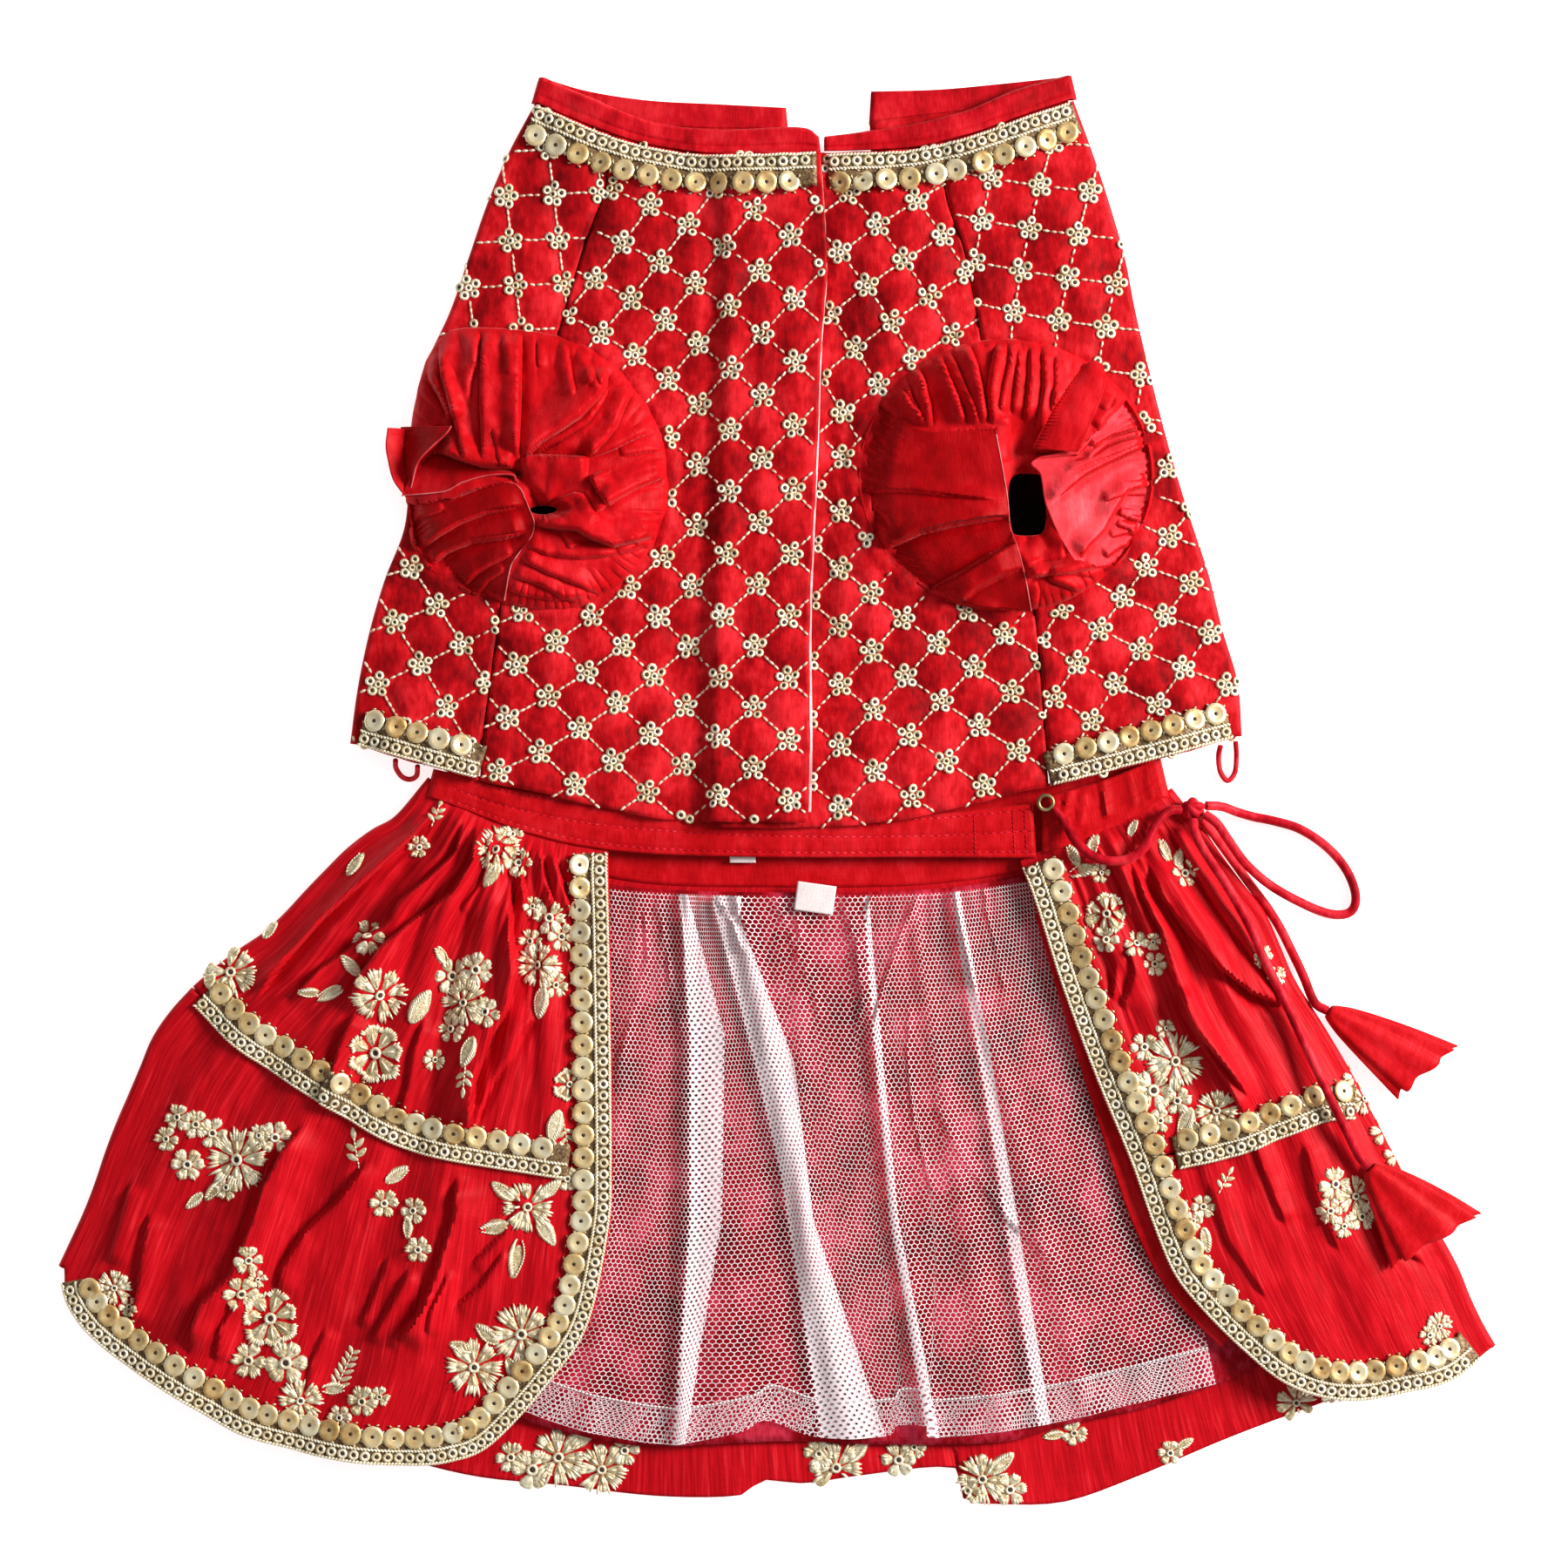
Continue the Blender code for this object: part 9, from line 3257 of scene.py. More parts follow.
@dataclass
class Lace:
    """The gold lace: a braid with a row of rings between two cords, and a row of sequins inside it."""

    finishes: Finishes
    ring_pitch: float = 3.1
    sequin_pitch: float = 6.2
    inset: float = 0.5
    width: float = 8.9
    rise: float = 0.75

    def lay(self, node: str, line: Points, surface: Surface, to_left: bool, start: float,
            end: float) -> None:
        """Lays one lace along an edge.

        Args:
            node: The CAD node that it replaces.
            line: The edge, as points in plan.
            surface: What it is laid on.
            to_left: Whether it lies on the left of the line.
            start: The share of the line where it starts.
            end: The share where it ends.
        """
        route = Route(line)
        side = 1 if to_left else -1
        length = route.length * (end - start)

        def spot(share: float, inset: float) -> tuple[Vector, Vector, float]:
            """A place on the lace, on the cloth below it.

            Args:
                share: The share of the lace's length.
                inset: How far in from its edge it is.

            Returns:
                The place, the cloth's normal and the lace's heading in degrees.
            """
            place = route.at(share) + side * route.left_of(share) * inset
            ahead = route.left_of(share)
            heading = math.degrees(math.atan2(-ahead.x, ahead.y))
            hit = surface.land(place.x, place.y)
            height = hit.point.z if hit and hit.point.z > 1.4 else surface.top(place.x, place.y, 2.2, 0.0)
            normal = hit.normal if hit and hit.normal.z > 0.6 else Vector((0, 0, 1))
            return raised(place, height), normal, heading

        def column(share: float) -> Callable[[float], Vector]:
            """A column of the ribbon.

            Args:
                share: The share of the lace's length.

            Returns:
                The column's points, by the share of the ribbon's width.
            """
            inward = side * route.left_of(share)

            def at(part: float) -> Vector:
                """A point of the column.

                Args:
                    part: The share of the ribbon's width.

                Returns:
                    The point in millimetres.
                """
                wave = 0.5 * math.sin(share * length / self.ring_pitch * 2 * math.pi) * (part > 0.9)
                inset = self.inset + part * (self.width + wave)
                plan = route.at(share) + inward * inset
                height = surface.top(plan.x, plan.y, 1.4, 0.0)
                return raised(plan, height + self.rise - 0.2 * dent(part, 0.08))
            return at

        count = max(12, round(length / 1.4))
        columns = [column(s) for s in even(count, start, end)]
        sheet = Sheet(f"{node}_ribbon", columns, 10, self.finishes.ground, 0.55, turned=not to_left)
        made = sheet.build()
        if made.data.polygons[len(made.data.polygons) // 2].normal.z < 0:
            made.data.flip_normals()
        ready(made, Slot.LACE, node)
        sheet.declare([n for n in surface.trees])
        own = Surface(made)

        def put_on(scatter: Scatter, share: float, inset: float, lift: float, turn: float,
                   size: tuple[float, float, float], tone: float) -> None:
            """Lays one shape on the ribbon.

            Args:
                scatter: What takes the shape.
                share: The share of the lace's length.
                inset: How far in from its edge it is.
                lift: How far above the ribbon it is.
                turn: The turn from the lace's heading, in degrees.
                size: The length, width and height.
                tone: The shade, from 0 to 1.
            """
            place, normal, heading = spot(share, inset)
            hit = own.land(place.x, place.y)
            base = hit.point if hit else place + Vector((0, 0, 0.3))
            normal = hit.normal if hit and hit.normal.z > 0.5 else normal
            scatter.put(base + normal * lift, normal, heading + turn, size, tone)

        rings = Scatter(f"{node}_rings", unit_ring(9, 0.34, 4), self.finishes.ring)
        cords = Scatter(f"{node}_cords", unit_stitch(), self.finishes.thread)
        edging = Scatter(f"{node}_edging", unit_stitch(), self.finishes.ring)
        sequins = Scatter(f"{node}_sequins", unit_sequin(), self.finishes.sequin)
        # Near-black dots in the holes of the rings and sequins: painted shade.
        hole_shade_dots = Scatter(f"{node}_centres", unit_stitch(), self.finishes.shade)
        for index in range(int(length / self.ring_pitch)):
            share = start + (index + 0.5) * self.ring_pitch / route.length
            put_on(rings, share, 2.45, 0.35, 0, (1.5, 1.5, 1.3), 0.35 + 0.6 * steady(index + length))
            put_on(hole_shade_dots, share, 2.45, 0.3, 0, (1.5, 1.5, 0.6), 0.3)
        for index in range(int(length / 0.95)):
            share = start + (index + 0.5) * 0.95 / route.length
            for inset, lean in ((0.7, 32), (4.35, -32)):
                put_on(edging, share, inset, 0.35, lean, (1.6, 0.8, 0.9),
                       0.5 + 0.5 * steady(index * 1.3 + inset))
        for index in range(int(length / self.sequin_pitch)):
            share = start + (index + 0.5) * self.sequin_pitch / route.length
            seed = index * 2.7 + length
            put_on(sequins, share, 8.0, 0.5, 40 * steady(seed), (3.1, 3.1, 2.4), steady(seed + 1))
            put_on(hole_shade_dots, share, 8.0, 0.6, 0, (1.15, 1.15, 0.7), 0.3)
            for turn in range(0, 360, 45):
                angle = math.radians(turn + 20)
                around = share + 3.25 * math.cos(angle) / route.length
                put_on(cords, around, 8.0 + 3.3 * math.sin(angle), 0.1, turn + 110, (1.2, 0.6, 0.6),
                       0.2 + 0.6 * steady(seed + turn))
        for scatter in (rings, cords, edging, sequins, hole_shade_dots):
            scatter.build(Slot.LACE)

    def build(self, choli: Surface, skirt: Surface) -> None:
        """Lays every lace of the garment.

        Args:
            choli: The choli's panels.
            skirt: The skirt's tiers.
        """
        for side, line, ends in (("left", NECK_SEAM_LEFT, (0.015, 0.985)),
                                 ("right", NECK_SEAM_RIGHT, (0.03, 0.985))):
            self.lay(f"neck_lace_{side}", [(x, y - 0.3) for x, y in line], choli, False, *ends)
        self.lay("hem_lace_left", HEM_SIDE_LEFT, choli, True, 0.06, 0.99)
        self.lay("hem_lace_right", HEM_SIDE_RIGHT, choli, False, 0.05, 0.99)
        left_edge = YOKE_FRONT_LEFT[:-1] + FLOUNCE_FRONT_LEFT[:-1] + FRONT_HEM_LEFT[::-1]
        right_edge = YOKE_FRONT_RIGHT[:-1] + FLOUNCE_FRONT_RIGHT[:-1] + FRONT_HEM_RIGHT[::-1]
        self.lay("border_lace_left", left_edge, skirt, False, 0.0, 0.985)
        self.lay("border_lace_right", right_edge, skirt, True, 0.004, 0.975)
        for side, line, ends in (("left", TIER_LEFT, (0.004, 0.90)), ("right", TIER_RIGHT, (0.06, 0.80))):
            self.lay(f"seam_lace_{side}", [(x, y - 5.0) for x, y in line], skirt, side == "left", *ends)


@dataclass
class Closures:
    """The hook tape, waist tape, eyelet and size tag."""

    finishes: Finishes

    def build(self, right_panel: Surface, net: Surface) -> None:
        """Builds the small cloth pieces.

        Args:
            right_panel: The right belly panel.
            net: The net.
        """
        route = Route(PLACKET)

        def column(across: float) -> Callable[[float], Vector]:
            """A column of the hook tape.

            Args:
                across: The share of the way across.

            Returns:
                The column's points, by the share down.
            """
            def at(share: float) -> Vector:
                """A point of the column."""
                plan = route.at(0.02 + 0.965 * share) + Vector((0.1 + 0.7 * share - 11 * across, 0))
                return raised(plan, right_panel.top(plan.x, plan.y, 0.8) + 0.95)
            return at

        sheet = Sheet("hook_tape", [column(a) for a in even(6)], 90, self.finishes.hooks, 0.5, turned=True)
        made = sheet.build()
        if made.data.polygons[100].normal.z < 0:
            made.data.flip_normals()
        ready(made, Slot.TAPE, "closure_tape")
        sheet.declare(["belly_panel_right"])
        tape = WAIST_TAPE
        self.small_sheet("waist_tape_cloth", "waist_tape", tape["x"], tape["y"] + 2.6, 0.9 * tape["width"],
                         2 * tape["length"], 0.0, BAND + 1.2, ["red_waistband"])
        height = max(net.top(TAG["x"] + dx, TAG["y"] + dy, 3) for dx in (-4, 0, 4) for dy in (-3, 3))
        self.small_sheet("bare_size_tag", "size_tag", TAG["x"], TAG["y"] + 1.0, 0.94 * TAG["width"],
                         0.88 * TAG["length"],
                         TAG["turn"], height + 0.7, ["white_net_layer"])
        self.build_eyelet()

    def small_sheet(self, name: str, node: str, x: float, y: float, width: float, length: float, turn: float,
                    height: float, rests_on: list[str]) -> None:
        """A small flat piece of tape.

        Args:
            name: The piece's name.
            node: The CAD node that it replaces.
            x: Its middle.
            y: Its middle.
            width: Its width.
            length: Its length.
            turn: Its turn in degrees.
            height: The level of its upper face.
            rests_on: What it lies on.
        """
        swing = Matrix.Rotation(math.radians(turn), 2)

        def column(across: float) -> Callable[[float], Vector]:
            """A column of the small sheet.

            Args:
                across: The share of the way across.

            Returns:
                The column's points, by the share down.
            """
            def at(down: float) -> Vector:
                """A point of the column.

                Args:
                    down: The share of the way down.

                Returns:
                    The point in millimetres.
                """
                plan = swing @ Vector(((across - 0.5) * width, (0.5 - down) * length)) + Vector((x, y))
                ends = abs(across - 0.5) * 2
                return raised(plan, height - 0.12 * ends ** 4 - 0.1 * wobble(plan.x, plan.y, 5, 1.0) ** 2)
            return at

        sheet = Sheet(name, [column(a) for a in even(20)], 16, self.finishes.tape, 0.45, turned=False)
        made = sheet.build()
        if made.data.polygons[100].normal.z < 0:
            made.data.flip_normals()
        ready(made, Slot.TAPE, node)
        sheet.declare(rests_on)

    def build_eyelet(self) -> None:
        """The brass eyelet that the tie comes out of."""
        mesh = unit_ring(36, EYELET["wire"] / (EYELET["ring"] + EYELET["wire"]), 10)
        size = (EYELET["ring"] + EYELET["wire"]) * MM
        bmesh.ops.scale(mesh, vec=(size, size, size), verts=mesh.verts[:])
        bmesh.ops.translate(mesh, vec=Vector((EYELET["x"], EYELET["y"], EYELET["z"])) * MM,
                            verts=mesh.verts[:])
        ready(add_object("brass_eyelet", mesh, self.finishes.brass), Slot.METAL, "eyelet")


# The tie, its knot and tassels, and the hem loops


def knot_exit(heading: float, rise: float) -> tuple[float, ...]:
    """The point just off the knot where a cord leaves it in this direction.

    Args:
        heading: The direction in plan, in degrees.
        rise: The angle upwards, in degrees.

    Returns:
        The point in millimetres.
    """
    turn, tilt = math.radians(heading), math.radians(rise)
    aim = Vector((math.cos(turn) * math.cos(tilt), math.sin(turn) * math.cos(tilt), math.sin(tilt)))
    return tuple(Vector((KNOT["x"], KNOT["y"], KNOT["z"])) + aim * (KNOT["radius"] + END_GAP))


def tassel_turn(bell: dict) -> Matrix:
    """The rotation that points a bell from its neck to its mouth."""
    return (Matrix.Rotation(math.radians(bell["heading"]), 3, "Z")
            @ Matrix.Rotation(math.radians(-bell["pitch"]), 3, "Y"))


def tassel_ends(name: str) -> list[tuple[float, ...]]:
    """The last two points of a tail, in line with its tassel's neck.

    Args:
        name: The tassel's name.

    Returns:
        The two points, the one at the neck last.
    """
    bell = TASSELS[name]
    neck, along = Vector((bell["x"], bell["y"], bell["z"])), tassel_turn(bell) @ Vector((1, 0, 0))
    return [tuple(neck - along * 4.5), tuple(neck - along * END_GAP)]


@dataclass
class Tie:
    """The drawstring: four free lengths of cord, their knot and two cloth tassels."""

    finishes: Finishes
    gathers: int = 9

    def build(self) -> None:
        """Builds the cords, then what is on them."""
        exits = {name: knot_exit(**aim) for name, aim in KNOT_EXITS.items()}
        tassels = {name: self.build_tassel(name) for name in TASSELS}
        routes = {
            "dip": ([*CORD_DIP, exits["dip"]], "knot", ()),
            "loop": ([exits["loop_out"], *CORD_LOOP, exits["loop_back"]], "knot", ()),
            "tail_long": ([exits["tail_long"], *CORD_TAIL_LONG, *tassel_ends("long")], "fitting",
                          (tassels["long"],)),
            "tail_short": ([exits["tail_short"], *CORD_TAIL_SHORT, *tassel_ends("short")], "fitting",
                           (tassels["short"],)),
        }
        for name, (points, far_end, pieces) in routes.items():
            route = Route(points)
            made = tube(f"tie_{name}", route, CORD_RADIUS, self.finishes.cord, 1.2)
            ready(made, Slot.CORD, f"tie_cord_{name}")
            tuple(Vector(points[0]) * MM)
            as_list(pieces)
        self.build_knot()

    def build_knot(self) -> None:
        """The knot, as three turns of the cord drawn tight."""
        middle = Vector((KNOT["x"], KNOT["y"], KNOT["z"]))
        wire = 1.25
        reach = KNOT["radius"] - wire
        turns = []
        for heading, lean in ((20, 62), (95, 48), (150, 75)):
            swing = (Matrix.Rotation(math.radians(heading), 3, "Z")
                     @ Matrix.Rotation(math.radians(lean), 3, "X"))
            ring = []
            for index in range(28):
                angle = 2 * math.pi * index / 28
                ring.append(middle + swing @ Vector((math.cos(angle) * reach, math.sin(angle) * reach * 0.92,
                                                     0.35 * math.sin(2 * angle))))
            turns.append(ring)
        data = bpy.data.curves.new("tie_knot_turns", "CURVE")
        data.dimensions = "3D"
        data.bevel_depth = wire * MM
        data.bevel_resolution = 3
        for ring in turns:
            spline = data.splines.new("POLY")
            spline.points.add(len(ring) - 1)
            spline.use_cyclic_u = True
            for point, place in zip(spline.points, ring):
                point.co = (*(place * MM), 1)
        data.materials.append(self.finishes.cord)
        curve = bpy.data.objects.new("tie_knot_curve", data)
        bpy.context.scene.collection.objects.link(curve)
        bpy.context.view_layer.update()
        graph = bpy.context.evaluated_depsgraph_get()
        mesh = bpy.data.meshes.new_from_object(curve.evaluated_get(graph), depsgraph=graph)
        mesh.shade_smooth()
        bpy.data.objects.remove(curve)
        made = bpy.data.objects.new("cord_knot", mesh)
        bpy.context.scene.collection.objects.link(made)
        ready(made, Slot.CORD, "tie_knot")

    def build_tassel(self, name: str) -> bpy.types.Object:
        """A flattened cloth bell, gathered at its neck, with a hollow mouth.

        Args:
            name: Which of the two.

        Returns:
            The object.
        """
        bell = TASSELS[name]
        turn = tassel_turn(bell)
        origin = Vector((bell["x"], bell["y"], bell["z"]))

        def point(angle: float, along: float) -> Vector:
            """A point of the tassel's face.

            Args:
                angle: The angle round its axis, in radians.
                along: The share of the way from the neck to the mouth.

            Returns:
                The point in millimetres.
            """
            half = bell["neck"] + (bell["mouth"] - bell["neck"]) * along ** 0.75
            thick = bell["neck"] + (bell["thick"] - bell["neck"]) * along
            wave = math.cos(self.gathers * angle + 1.5 * math.sin(angle * 2))
            gather = 1 + wave * (0.14 * smooth_step(along * 6) + 0.04 * along)
            skew = 0.10 * bell["length"] * math.cos(angle) * along ** 3
            length = bell["length"] * along * (1 + 0.02 * wave * along) + skew
            lip = 1 - 0.10 * smooth_step((along - 0.93) / 0.07)
            up = thick * math.sin(angle) * (1 + 0.6 * (gather - 1)) * lip
            return (origin
                    + turn @ Vector((length * 0.985, half * math.cos(angle) * (0.95 + 0.5 * (gather - 1)),
                                     up)))

        count = 108
        columns = [lambda along, a=2 * math.pi * i / count: point(a, along) for i in range(count + 1)]
        sheet = Sheet(f"cloth_tassel_{name}", columns, 32, self.finishes.plain, 0.6, turned=False,
                      closed=True)
        made = sheet.build()
        inside = origin + turn @ Vector((bell["length"] * 0.5, 0, 0))
        face = made.data.polygons[len(made.data.polygons) // 2]
        if face.normal.dot(face.center / MM - inside) < 0:
            made.data.flip_normals()
        return ready(made, Slot.PLAIN, f"tassel_{name}")


def hem_root(side: str, x: float) -> tuple[float, float, float]:
    """Where a cord of a hem loop leaves the choli's upper layer, just under its edge.

    Args:
        side: The garment's side.
        x: The root's x.

    Returns:
        The point in millimetres.
    """
    hem = {"left": HEM_SIDE_LEFT, "right": HEM_SIDE_RIGHT}[side]
    plan = Vector(stretch(hem, x, x + 0.5)[0])
    across = (x - hem[0][0]) / (hem[-1][0] - hem[0][0])
    level = 2 * CHOLI_FOLD + (choli_top(plan) - 2 * CHOLI_FOLD) * smooth_step(across * 3)
    return plan.x, plan.y - LOOP_RADIUS - END_GAP, level - CHOLI_CLOTH / 2


def build_hem_loops(finishes: Finishes) -> None:
    """The cord loops on the choli's hem.

    Args:
        finishes: The finishes.
    """
    for side, loop in HEM_LOOPS.items():
        first, last = (hem_root(side, x) for x in loop["roots"])
        made = tube(f"hem_cord_loop_{side}", Route([first, *loop["route"], last]), 1.25 * LOOP_RADIUS,
                    finishes.cord,
                    0.6, 3)
        ready(made, Slot.CORD, f"hem_loop_{side}")


# Embroidery


@dataclass
class Embroidery:
    """The gold motifs of the skirt, each made from padded petals, rings and knots."""

    finishes: Finishes

    def sow(self, name: str, motifs: Sequence[tuple], surface: Surface, below: bool = False,
            mirrored: bool = False) -> None:
        """Embroiders a list of motifs.

        Args:
            name: The group's name.
            motifs: Rows of a kind, a place, a size and a turn.
            surface: The cloth.
            below: Whether they are on the face that lies on the surface.
            mirrored: Whether left and right change places.
        """
        self.surface, self.below = surface, below
        self.petals = Scatter(f"{name}_petals", unit_petal(0.0), self.finishes.thread)
        self.leaves = Scatter(f"{name}_leaves", unit_petal(1.0), self.finishes.thread)
        self.rings = Scatter(f"{name}_rings", unit_ring(10, 0.3, 4), self.finishes.ring)
        self.knots = Scatter(f"{name}_knots", unit_stitch(), self.finishes.ring)
        # Near-black dots in the rings' holes: painted shade.
        self.ring_shade_dots = Scatter(f"{name}_hearts", unit_stitch(), self.finishes.shade)
        for kind, x, y, size, turn in motifs:
            middle = Vector((-x if mirrored else x, y))
            getattr(self, Motif(kind).value)(middle, size, 180 - turn if mirrored else turn,
                                             x * 1.7 + y * 3.3)
        for scatter in (self.petals, self.leaves, self.rings, self.knots, self.ring_shade_dots):
            if scatter.rows:
                scatter.build(Slot.SILK)

    def put(self, scatter: Scatter, place: Vector, heading: float, size: tuple[float, float, float],
            tone: float,
            lift: float = 0.0, centred: bool = True) -> None:
        """Lays one shape on the cloth: not centred means that its middle is half its length ahead.

        Args:
            scatter: What takes the shape.
            place: The place in plan.
            heading: The direction in degrees.
            size: The length, width and height.
            tone: The shade, from 0 to 1.
            lift: How far above the cloth it is.
            centred: Whether the place is the shape's middle.
        """
        turn = math.radians(heading)
        ahead = Vector((math.cos(turn), math.sin(turn))) * size[0] / 2
        spot = place if centred else place + ahead
        hit = self.surface.land(spot.x, spot.y, self.below)
        if not hit or (self.below and hit.point.z > 0.6):
            return
        flat = 0.5 if self.below else 1.0
        scaled = (size[0], size[1], size[2] * flat)
        along = Vector((ahead.x, ahead.y, 0)).normalized()
        along = (along - hit.normal * along.dot(hit.normal)).normalized()
        base = hit.point if centred else hit.point - along * size[0] / 2
        scatter.put(base + hit.normal * lift * flat, hit.normal, heading, scaled, tone)

    def ring(self, middle: Vector, radius: float, seed: float) -> None:
        """A ring of thread, with painted shade in its hole."""
        self.put(self.rings, middle, 0, (radius, radius, radius), 0.6 + 0.4 * steady(seed), 0.5)
        # A near-black dot in the ring's hole: painted shade.
        self.put(self.ring_shade_dots, middle, 0, (radius * 0.95, radius * 0.95, 0.5), 0.2, 0.5)

    def fringe(self, middle: Vector, inner: float, outer: float, turns: tuple[float, float],
               seed: float) -> None:
        """Pale stitches that point outwards round a middle.

        Args:
            middle: The middle.
            inner: How far out the stitches start.
            outer: How far out they end.
            turns: The first and the last heading.
            seed: What the unevenness starts from.
        """
        count = max(3, round(math.radians(turns[1] - turns[0]) * outer / 0.85))
        for index in range(count):
            heading = turns[0] + (turns[1] - turns[0]) * (index + 0.5) / count
            heading += 6 * (steady(seed + index) - 0.5)
            way = heading_vector(heading)
            far = outer * (0.82 + 0.26 * steady(seed * 3 + index))
            self.put(self.knots, middle + way * (inner + far) / 2, heading, (far - inner, 0.8, 0.9),
                     0.3 + 0.7 * steady(seed + 5 * index), 0.3)

    def daisy(self, middle: Vector, size: float, turn: float, seed: float) -> None:
        """A large flower of pale padded petals with raised stitches, round a ring.

        Args:
            middle: The middle in plan.
            size: The width or length in millimetres.
            turn: The turn in degrees.
            seed: What its small irregularities come from.
        """
        reach = size / 2 * 1.2
        count = 8
        for index in range(count):
            heading = turn + 360 * (index + 0.25 * (steady(seed + index) - 0.5)) / count
            aim = heading_vector(heading)
            long = reach * (0.72 + 0.14 * steady(seed * index))
            wide = 2 * math.pi * reach * 0.62 / count * 0.98
            start = middle + aim * reach * 0.15
            self.put(self.petals, start, heading, (long, wide, 0.85), 0.35 + 0.6 * steady(seed + 3 * index),
                     0.0, False)
            half = 180 / count * 0.8
            self.fringe(middle, reach * 0.56, reach * 1.02, (heading - half, heading + half),
                        seed + 7 * index)
            self.put(self.knots, middle + aim * reach * 0.42, heading + 8, (reach * 0.34, 0.8, 0.9),
                     0.5 + 0.5 * steady(seed + 4 * index), 0.4)
        self.ring(middle, reach * 0.2, seed)

    def lily(self, middle: Vector, size: float, turn: float, seed: float) -> None:
        """A large flower of open, dark gold petals, each with a pale fringe along its tip and a midrib.

        Args:
            middle: The middle in plan.
            size: The width or length in millimetres.
            turn: The turn in degrees.
            seed: What its small irregularities come from.
        """
        reach = size / 2 * 1.22
        count = 7
        for index in range(count):
            heading = turn + 360 / count * index + 12 * (steady(seed + index) - 0.5)
            aim = heading_vector(heading)
            start = middle + aim * reach * 0.16
            long = reach * (0.7 + 0.14 * steady(seed * index + 2))
            self.put(self.petals, start, heading, (long, reach * 0.52, 0.8),
                     0.2 + 0.5 * steady(seed + index), 0.0,
                     False)
            self.put(self.knots, start + aim * long * 0.4, heading, (long * 0.6, 0.7, 0.9), 0.8, 0.4)
            heart = start + aim * long * 0.45
            self.fringe(heart, long * 0.26, long * 0.6, (heading - 62, heading + 62), seed + 5 * index)
        self.ring(middle, reach * 0.2, seed)

    def blossom(self, middle: Vector, size: float, turn: float, seed: float) -> None:
        """A small flower of plump pale petals about a ring.

        Args:
            middle: The middle in plan.
            size: The width or length in millimetres.
            turn: The turn in degrees.
            seed: What its small irregularities come from.
        """
        reach = size / 2 * 1.22
        count = 6
        for index in range(count):
            heading = turn + 60 * index + 16 * (steady(seed + index) - 0.5)
            aim = heading_vector(heading)
            self.put(self.petals, middle + aim * reach * 0.2, heading, (reach * 0.78, reach * 0.78, 0.85),
                     0.5 + 0.45 * steady(seed + index), 0.0, False)
            self.fringe(middle, reach * 0.55, reach * 1.02, (heading - 18, heading + 18), seed + index)
        self.ring(middle, max(0.75, reach * 0.3), seed)

    def leaf(self, middle: Vector, size: float, turn: float, seed: float) -> None:
        """A pointed leaf: dark gold, with slanted pale stitches down one side and along its middle.

        Args:
            middle: The middle in plan.
            size: The width or length in millimetres.
            turn: The turn in degrees.
            seed: What its small irregularities come from.
        """
        size *= 1.3
        aim = heading_vector(turn)
        side = Vector((-aim.y, aim.x)) * (1 if steady(seed) > 0.5 else -1)
        lean = 38 if aim.x * side.y - aim.y * side.x > 0 else -38
        start = middle - aim * size / 2
        self.put(self.leaves, start, turn, (size, size * 0.46, 0.8), 0.4 + 0.4 * steady(seed), 0.0, False)
        for index in range(max(3, round(size / 0.95))):
            share = 0.1 + 0.8 * (index + 0.5) / max(3, round(size / 0.95))
            half = 0.2 * size * math.sin(math.pi * share ** 0.85)
            self.put(self.knots, start + aim * size * share + side * half * 0.62, turn + lean,
                     (half + 0.7, 0.62, 0.8), 0.6 + 0.4 * steady(seed + index), 0.32)
            self.put(self.knots, start + aim * size * share - side * half * 0.9, turn, (1.1, 0.45, 0.7),
                     0.55 + 0.4 * steady(seed + 2 * index), 0.3)

    def spray(self, middle: Vector, size: float, turn: float, seed: float) -> None:
        """A short stem with five small leaves.

        Args:
            middle: The middle in plan.
            size: The width or length in millimetres.
            turn: The turn in degrees.
            seed: What its small irregularities come from.
        """
        aim = heading_vector(turn)
        start = middle - aim * size / 2
        for index in range(max(3, round(size / 1.1))):
            self.put(self.knots, start + aim * (index + 0.5) * 1.1, turn, (1.2, 0.5, 0.6), 0.7, 0.1)
        for index, (share, lean) in enumerate(((0.3, 55), (0.4, -55), (0.6, 50), (0.7, -50), (0.95, 0))):
            self.put(self.leaves, start + aim * size * share, turn + lean, (size * 0.42, size * 0.2, 0.6),
                     0.4 + 0.5 * steady(seed + index), 0.0, False)

    def fern(self, middle: Vector, size: float, turn: float, seed: float) -> None:
        """A stem with pairs of narrow leaves that grow shorter to its tip.

        Args:
            middle: The middle in plan.
            size: The width or length in millimetres.
            turn: The turn in degrees.
            seed: What its small irregularities come from.
        """
        aim = heading_vector(turn)
        start = middle - aim * size / 2
        for index in range(round(size / 1.1)):
            self.put(self.knots, start + aim * (index + 0.5) * 1.1, turn, (1.2, 0.5, 0.6), 0.7, 0.1)
        pairs = 6
        for index in range(pairs):
            share = (index + 0.6) / pairs
            for lean in (48, -48):
                self.put(self.leaves, start + aim * size * share, turn + lean,
                         (size * (0.34 - 0.16 * share), size * 0.1, 0.6),
                         0.4 + 0.5 * steady(seed + index + lean),
                         0.0, False)


# The camera and the surroundings


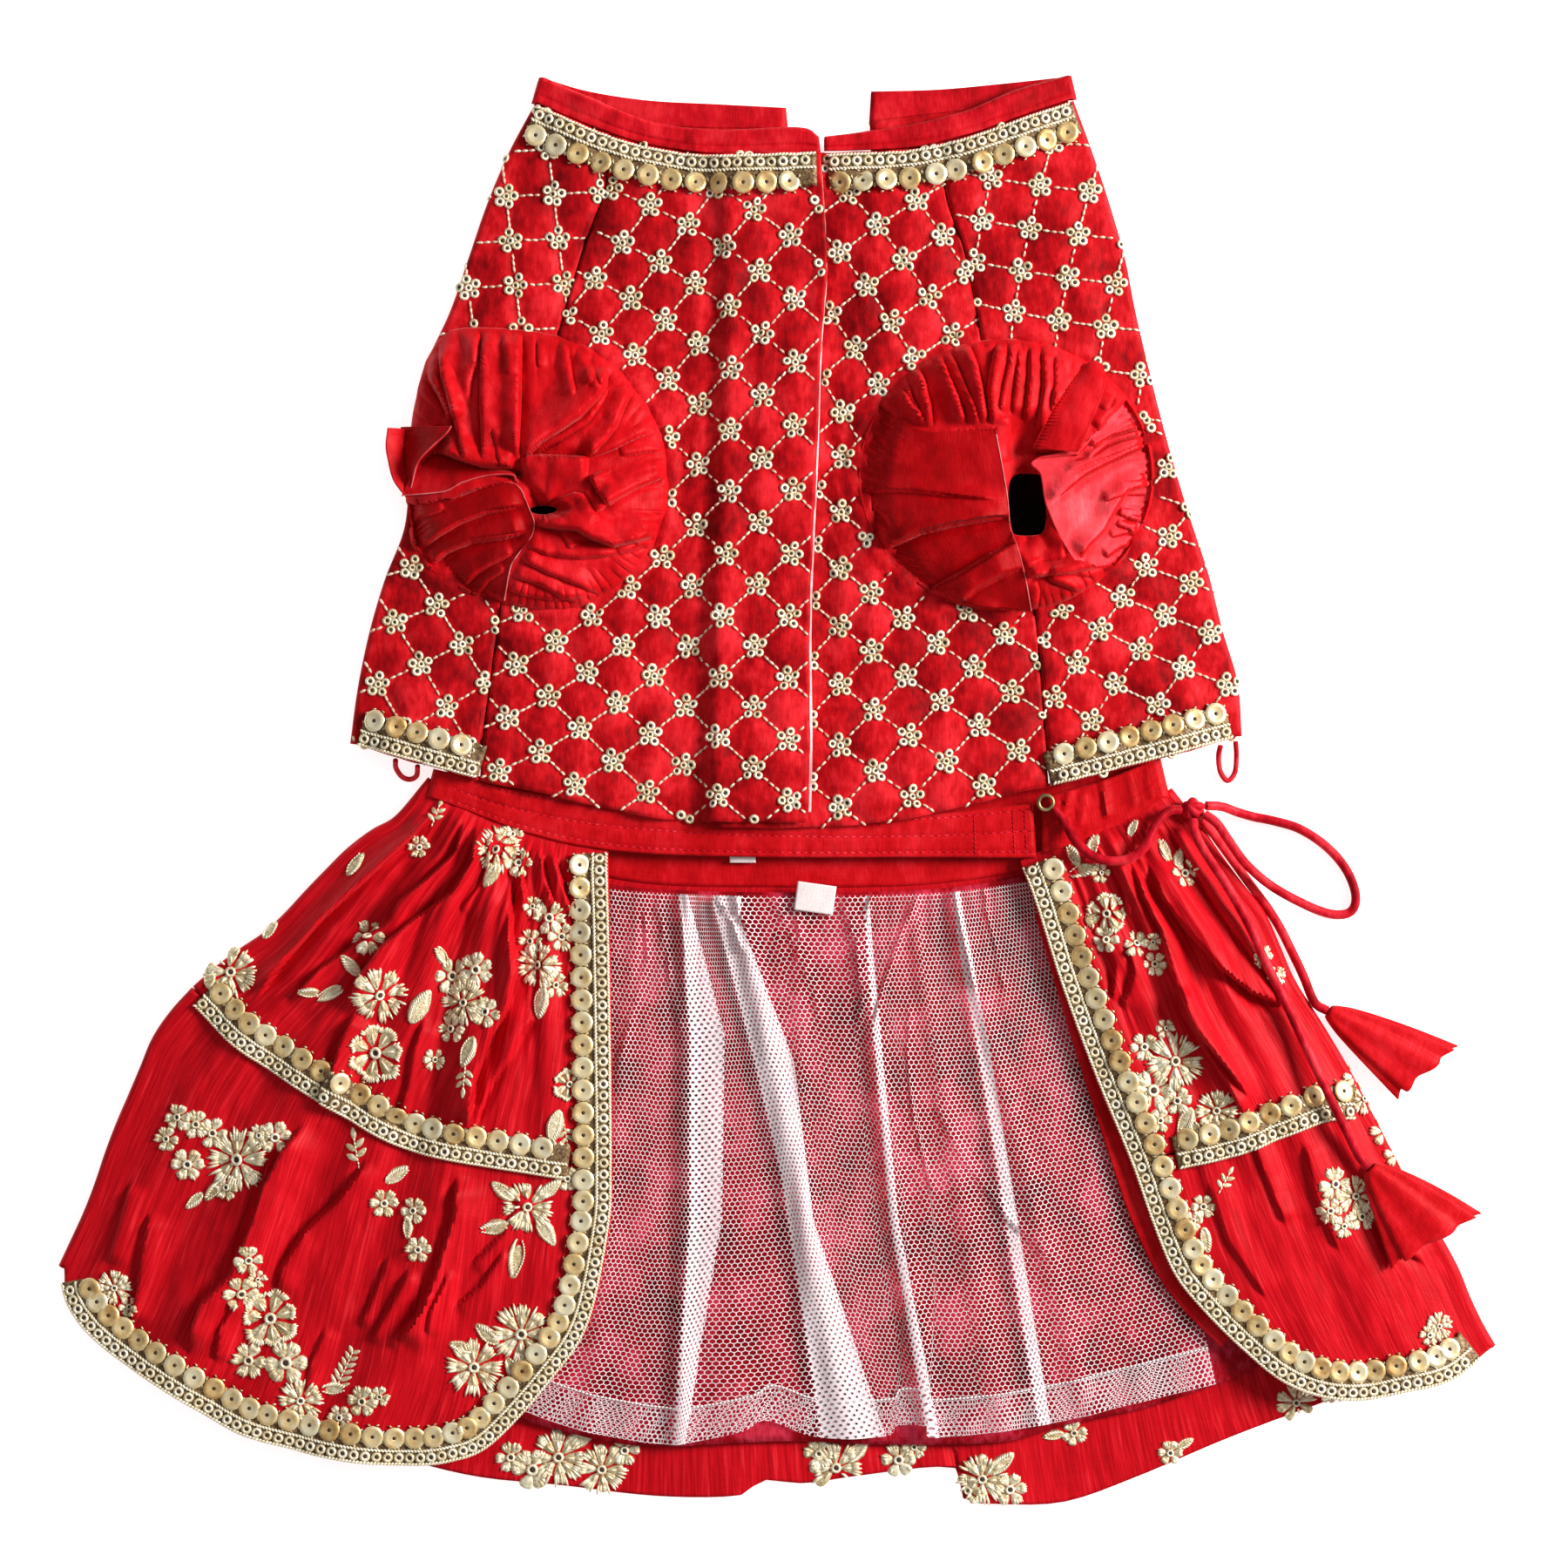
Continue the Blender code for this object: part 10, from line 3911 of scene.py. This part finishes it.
@dataclass
class Stage:
    """The camera, the light and the floor of the photograph."""

    distance: float = 1.025
    lens: float = 85.0
    key_power: float = 40.0
    fill: float = 0.34
    middle: tuple[float, float] = (0.00192, 0.00192)
    sensor: float = 36.0
    lamp_size: float = 0.6
    lamp_place: tuple[float, float, float] = (1.25, 0.4, 0.78)
    floor_half: float = 1.6
    floor_drop: float = 0.0006

    def build(self, finishes: Finishes) -> None:
        """Sets up the scene around the garment.

        Args:
            finishes: The finishes.
        """
        scene = bpy.context.scene
        scene.view_settings.view_transform = "Standard"
        self.add_camera(scene)
        self.add_light(scene)
        self.add_floor(finishes)

    def add_camera(self, scene: bpy.types.Scene) -> None:
        """Puts the camera straight above the garment, at the photograph's turn.

        Args:
            scene: The scene.
        """
        data = bpy.data.cameras.new("photo_camera")
        data.lens = self.lens
        data.sensor_width = self.sensor
        data.clip_start = 0.01
        camera = bpy.data.objects.new("photo_camera", data)
        camera.location = (*self.middle, self.distance)
        scene.collection.objects.link(camera)
        scene.camera = camera

    def add_light(self, scene: bpy.types.Scene) -> None:
        """A soft light from the upper right, and an even white sky.

        Args:
            scene: The scene.
        """
        data = bpy.data.lights.new("soft_key", "AREA")
        data.shape = "DISK"
        data.size = self.lamp_size
        data.energy = self.key_power
        data.color = (1.0, 0.985, 0.97)
        lamp = bpy.data.objects.new("soft_key", data)
        lamp.location = self.lamp_place
        lamp.rotation_euler = (-lamp.location).to_track_quat("-Z", "Y").to_euler()
        scene.collection.objects.link(lamp)
        sky = bpy.data.worlds.new("white_sky")
        sky.use_nodes = True
        back = sky.node_tree.nodes["Background"]
        back.inputs["Color"].default_value = (1.0, 1.0, 1.0, 1.0)
        back.inputs["Strength"].default_value = self.fill
        scene.world = sky

    def add_floor(self, finishes: Finishes) -> None:
        """The white surface that the garment lies on.

        Args:
            finishes: The finishes.
        """
        mesh = bmesh.new()
        bmesh.ops.create_grid(mesh, x_segments=2, y_segments=2, size=self.floor_half)
        bmesh.ops.translate(mesh, vec=(0, 0, -self.floor_drop), verts=mesh.verts[:])
        add_object("white_floor", mesh, finishes.floor)


def main() -> None:
    """Builds the whole picture of the garment."""
    logging.basicConfig(level=logging.INFO, format="%(message)s")
    finishes = Finishes()
    Stage().build(finishes)
    Tie(finishes).build()
    build_hem_loops(finishes)
    skirt = Skirt(finishes).build()
    Waistband(finishes).build()
    choli = Choli(finishes).build()
    for side in ARMHOLES:
        Sleeve(side, finishes).build()
    Lace(finishes).build(choli, skirt)
    objects = bpy.data.objects
    Closures(finishes).build(Surface(objects["belly_panel_right"]), Surface(objects["white_net_layer"]))
    motifs = Embroidery(finishes)
    motifs.sow("left_front", LEFT_MOTIFS, skirt)
    motifs.sow("right_front", RIGHT_MOTIFS, skirt)
    motifs.sow("back_hem", HEM_MOTIFS, skirt)
    motifs.sow("underside_left", RIGHT_MOTIFS, skirt, True, True)
    motifs.sow("underside_right", LEFT_MOTIFS, skirt, True, True)


if __name__ == "__main__":
    main()
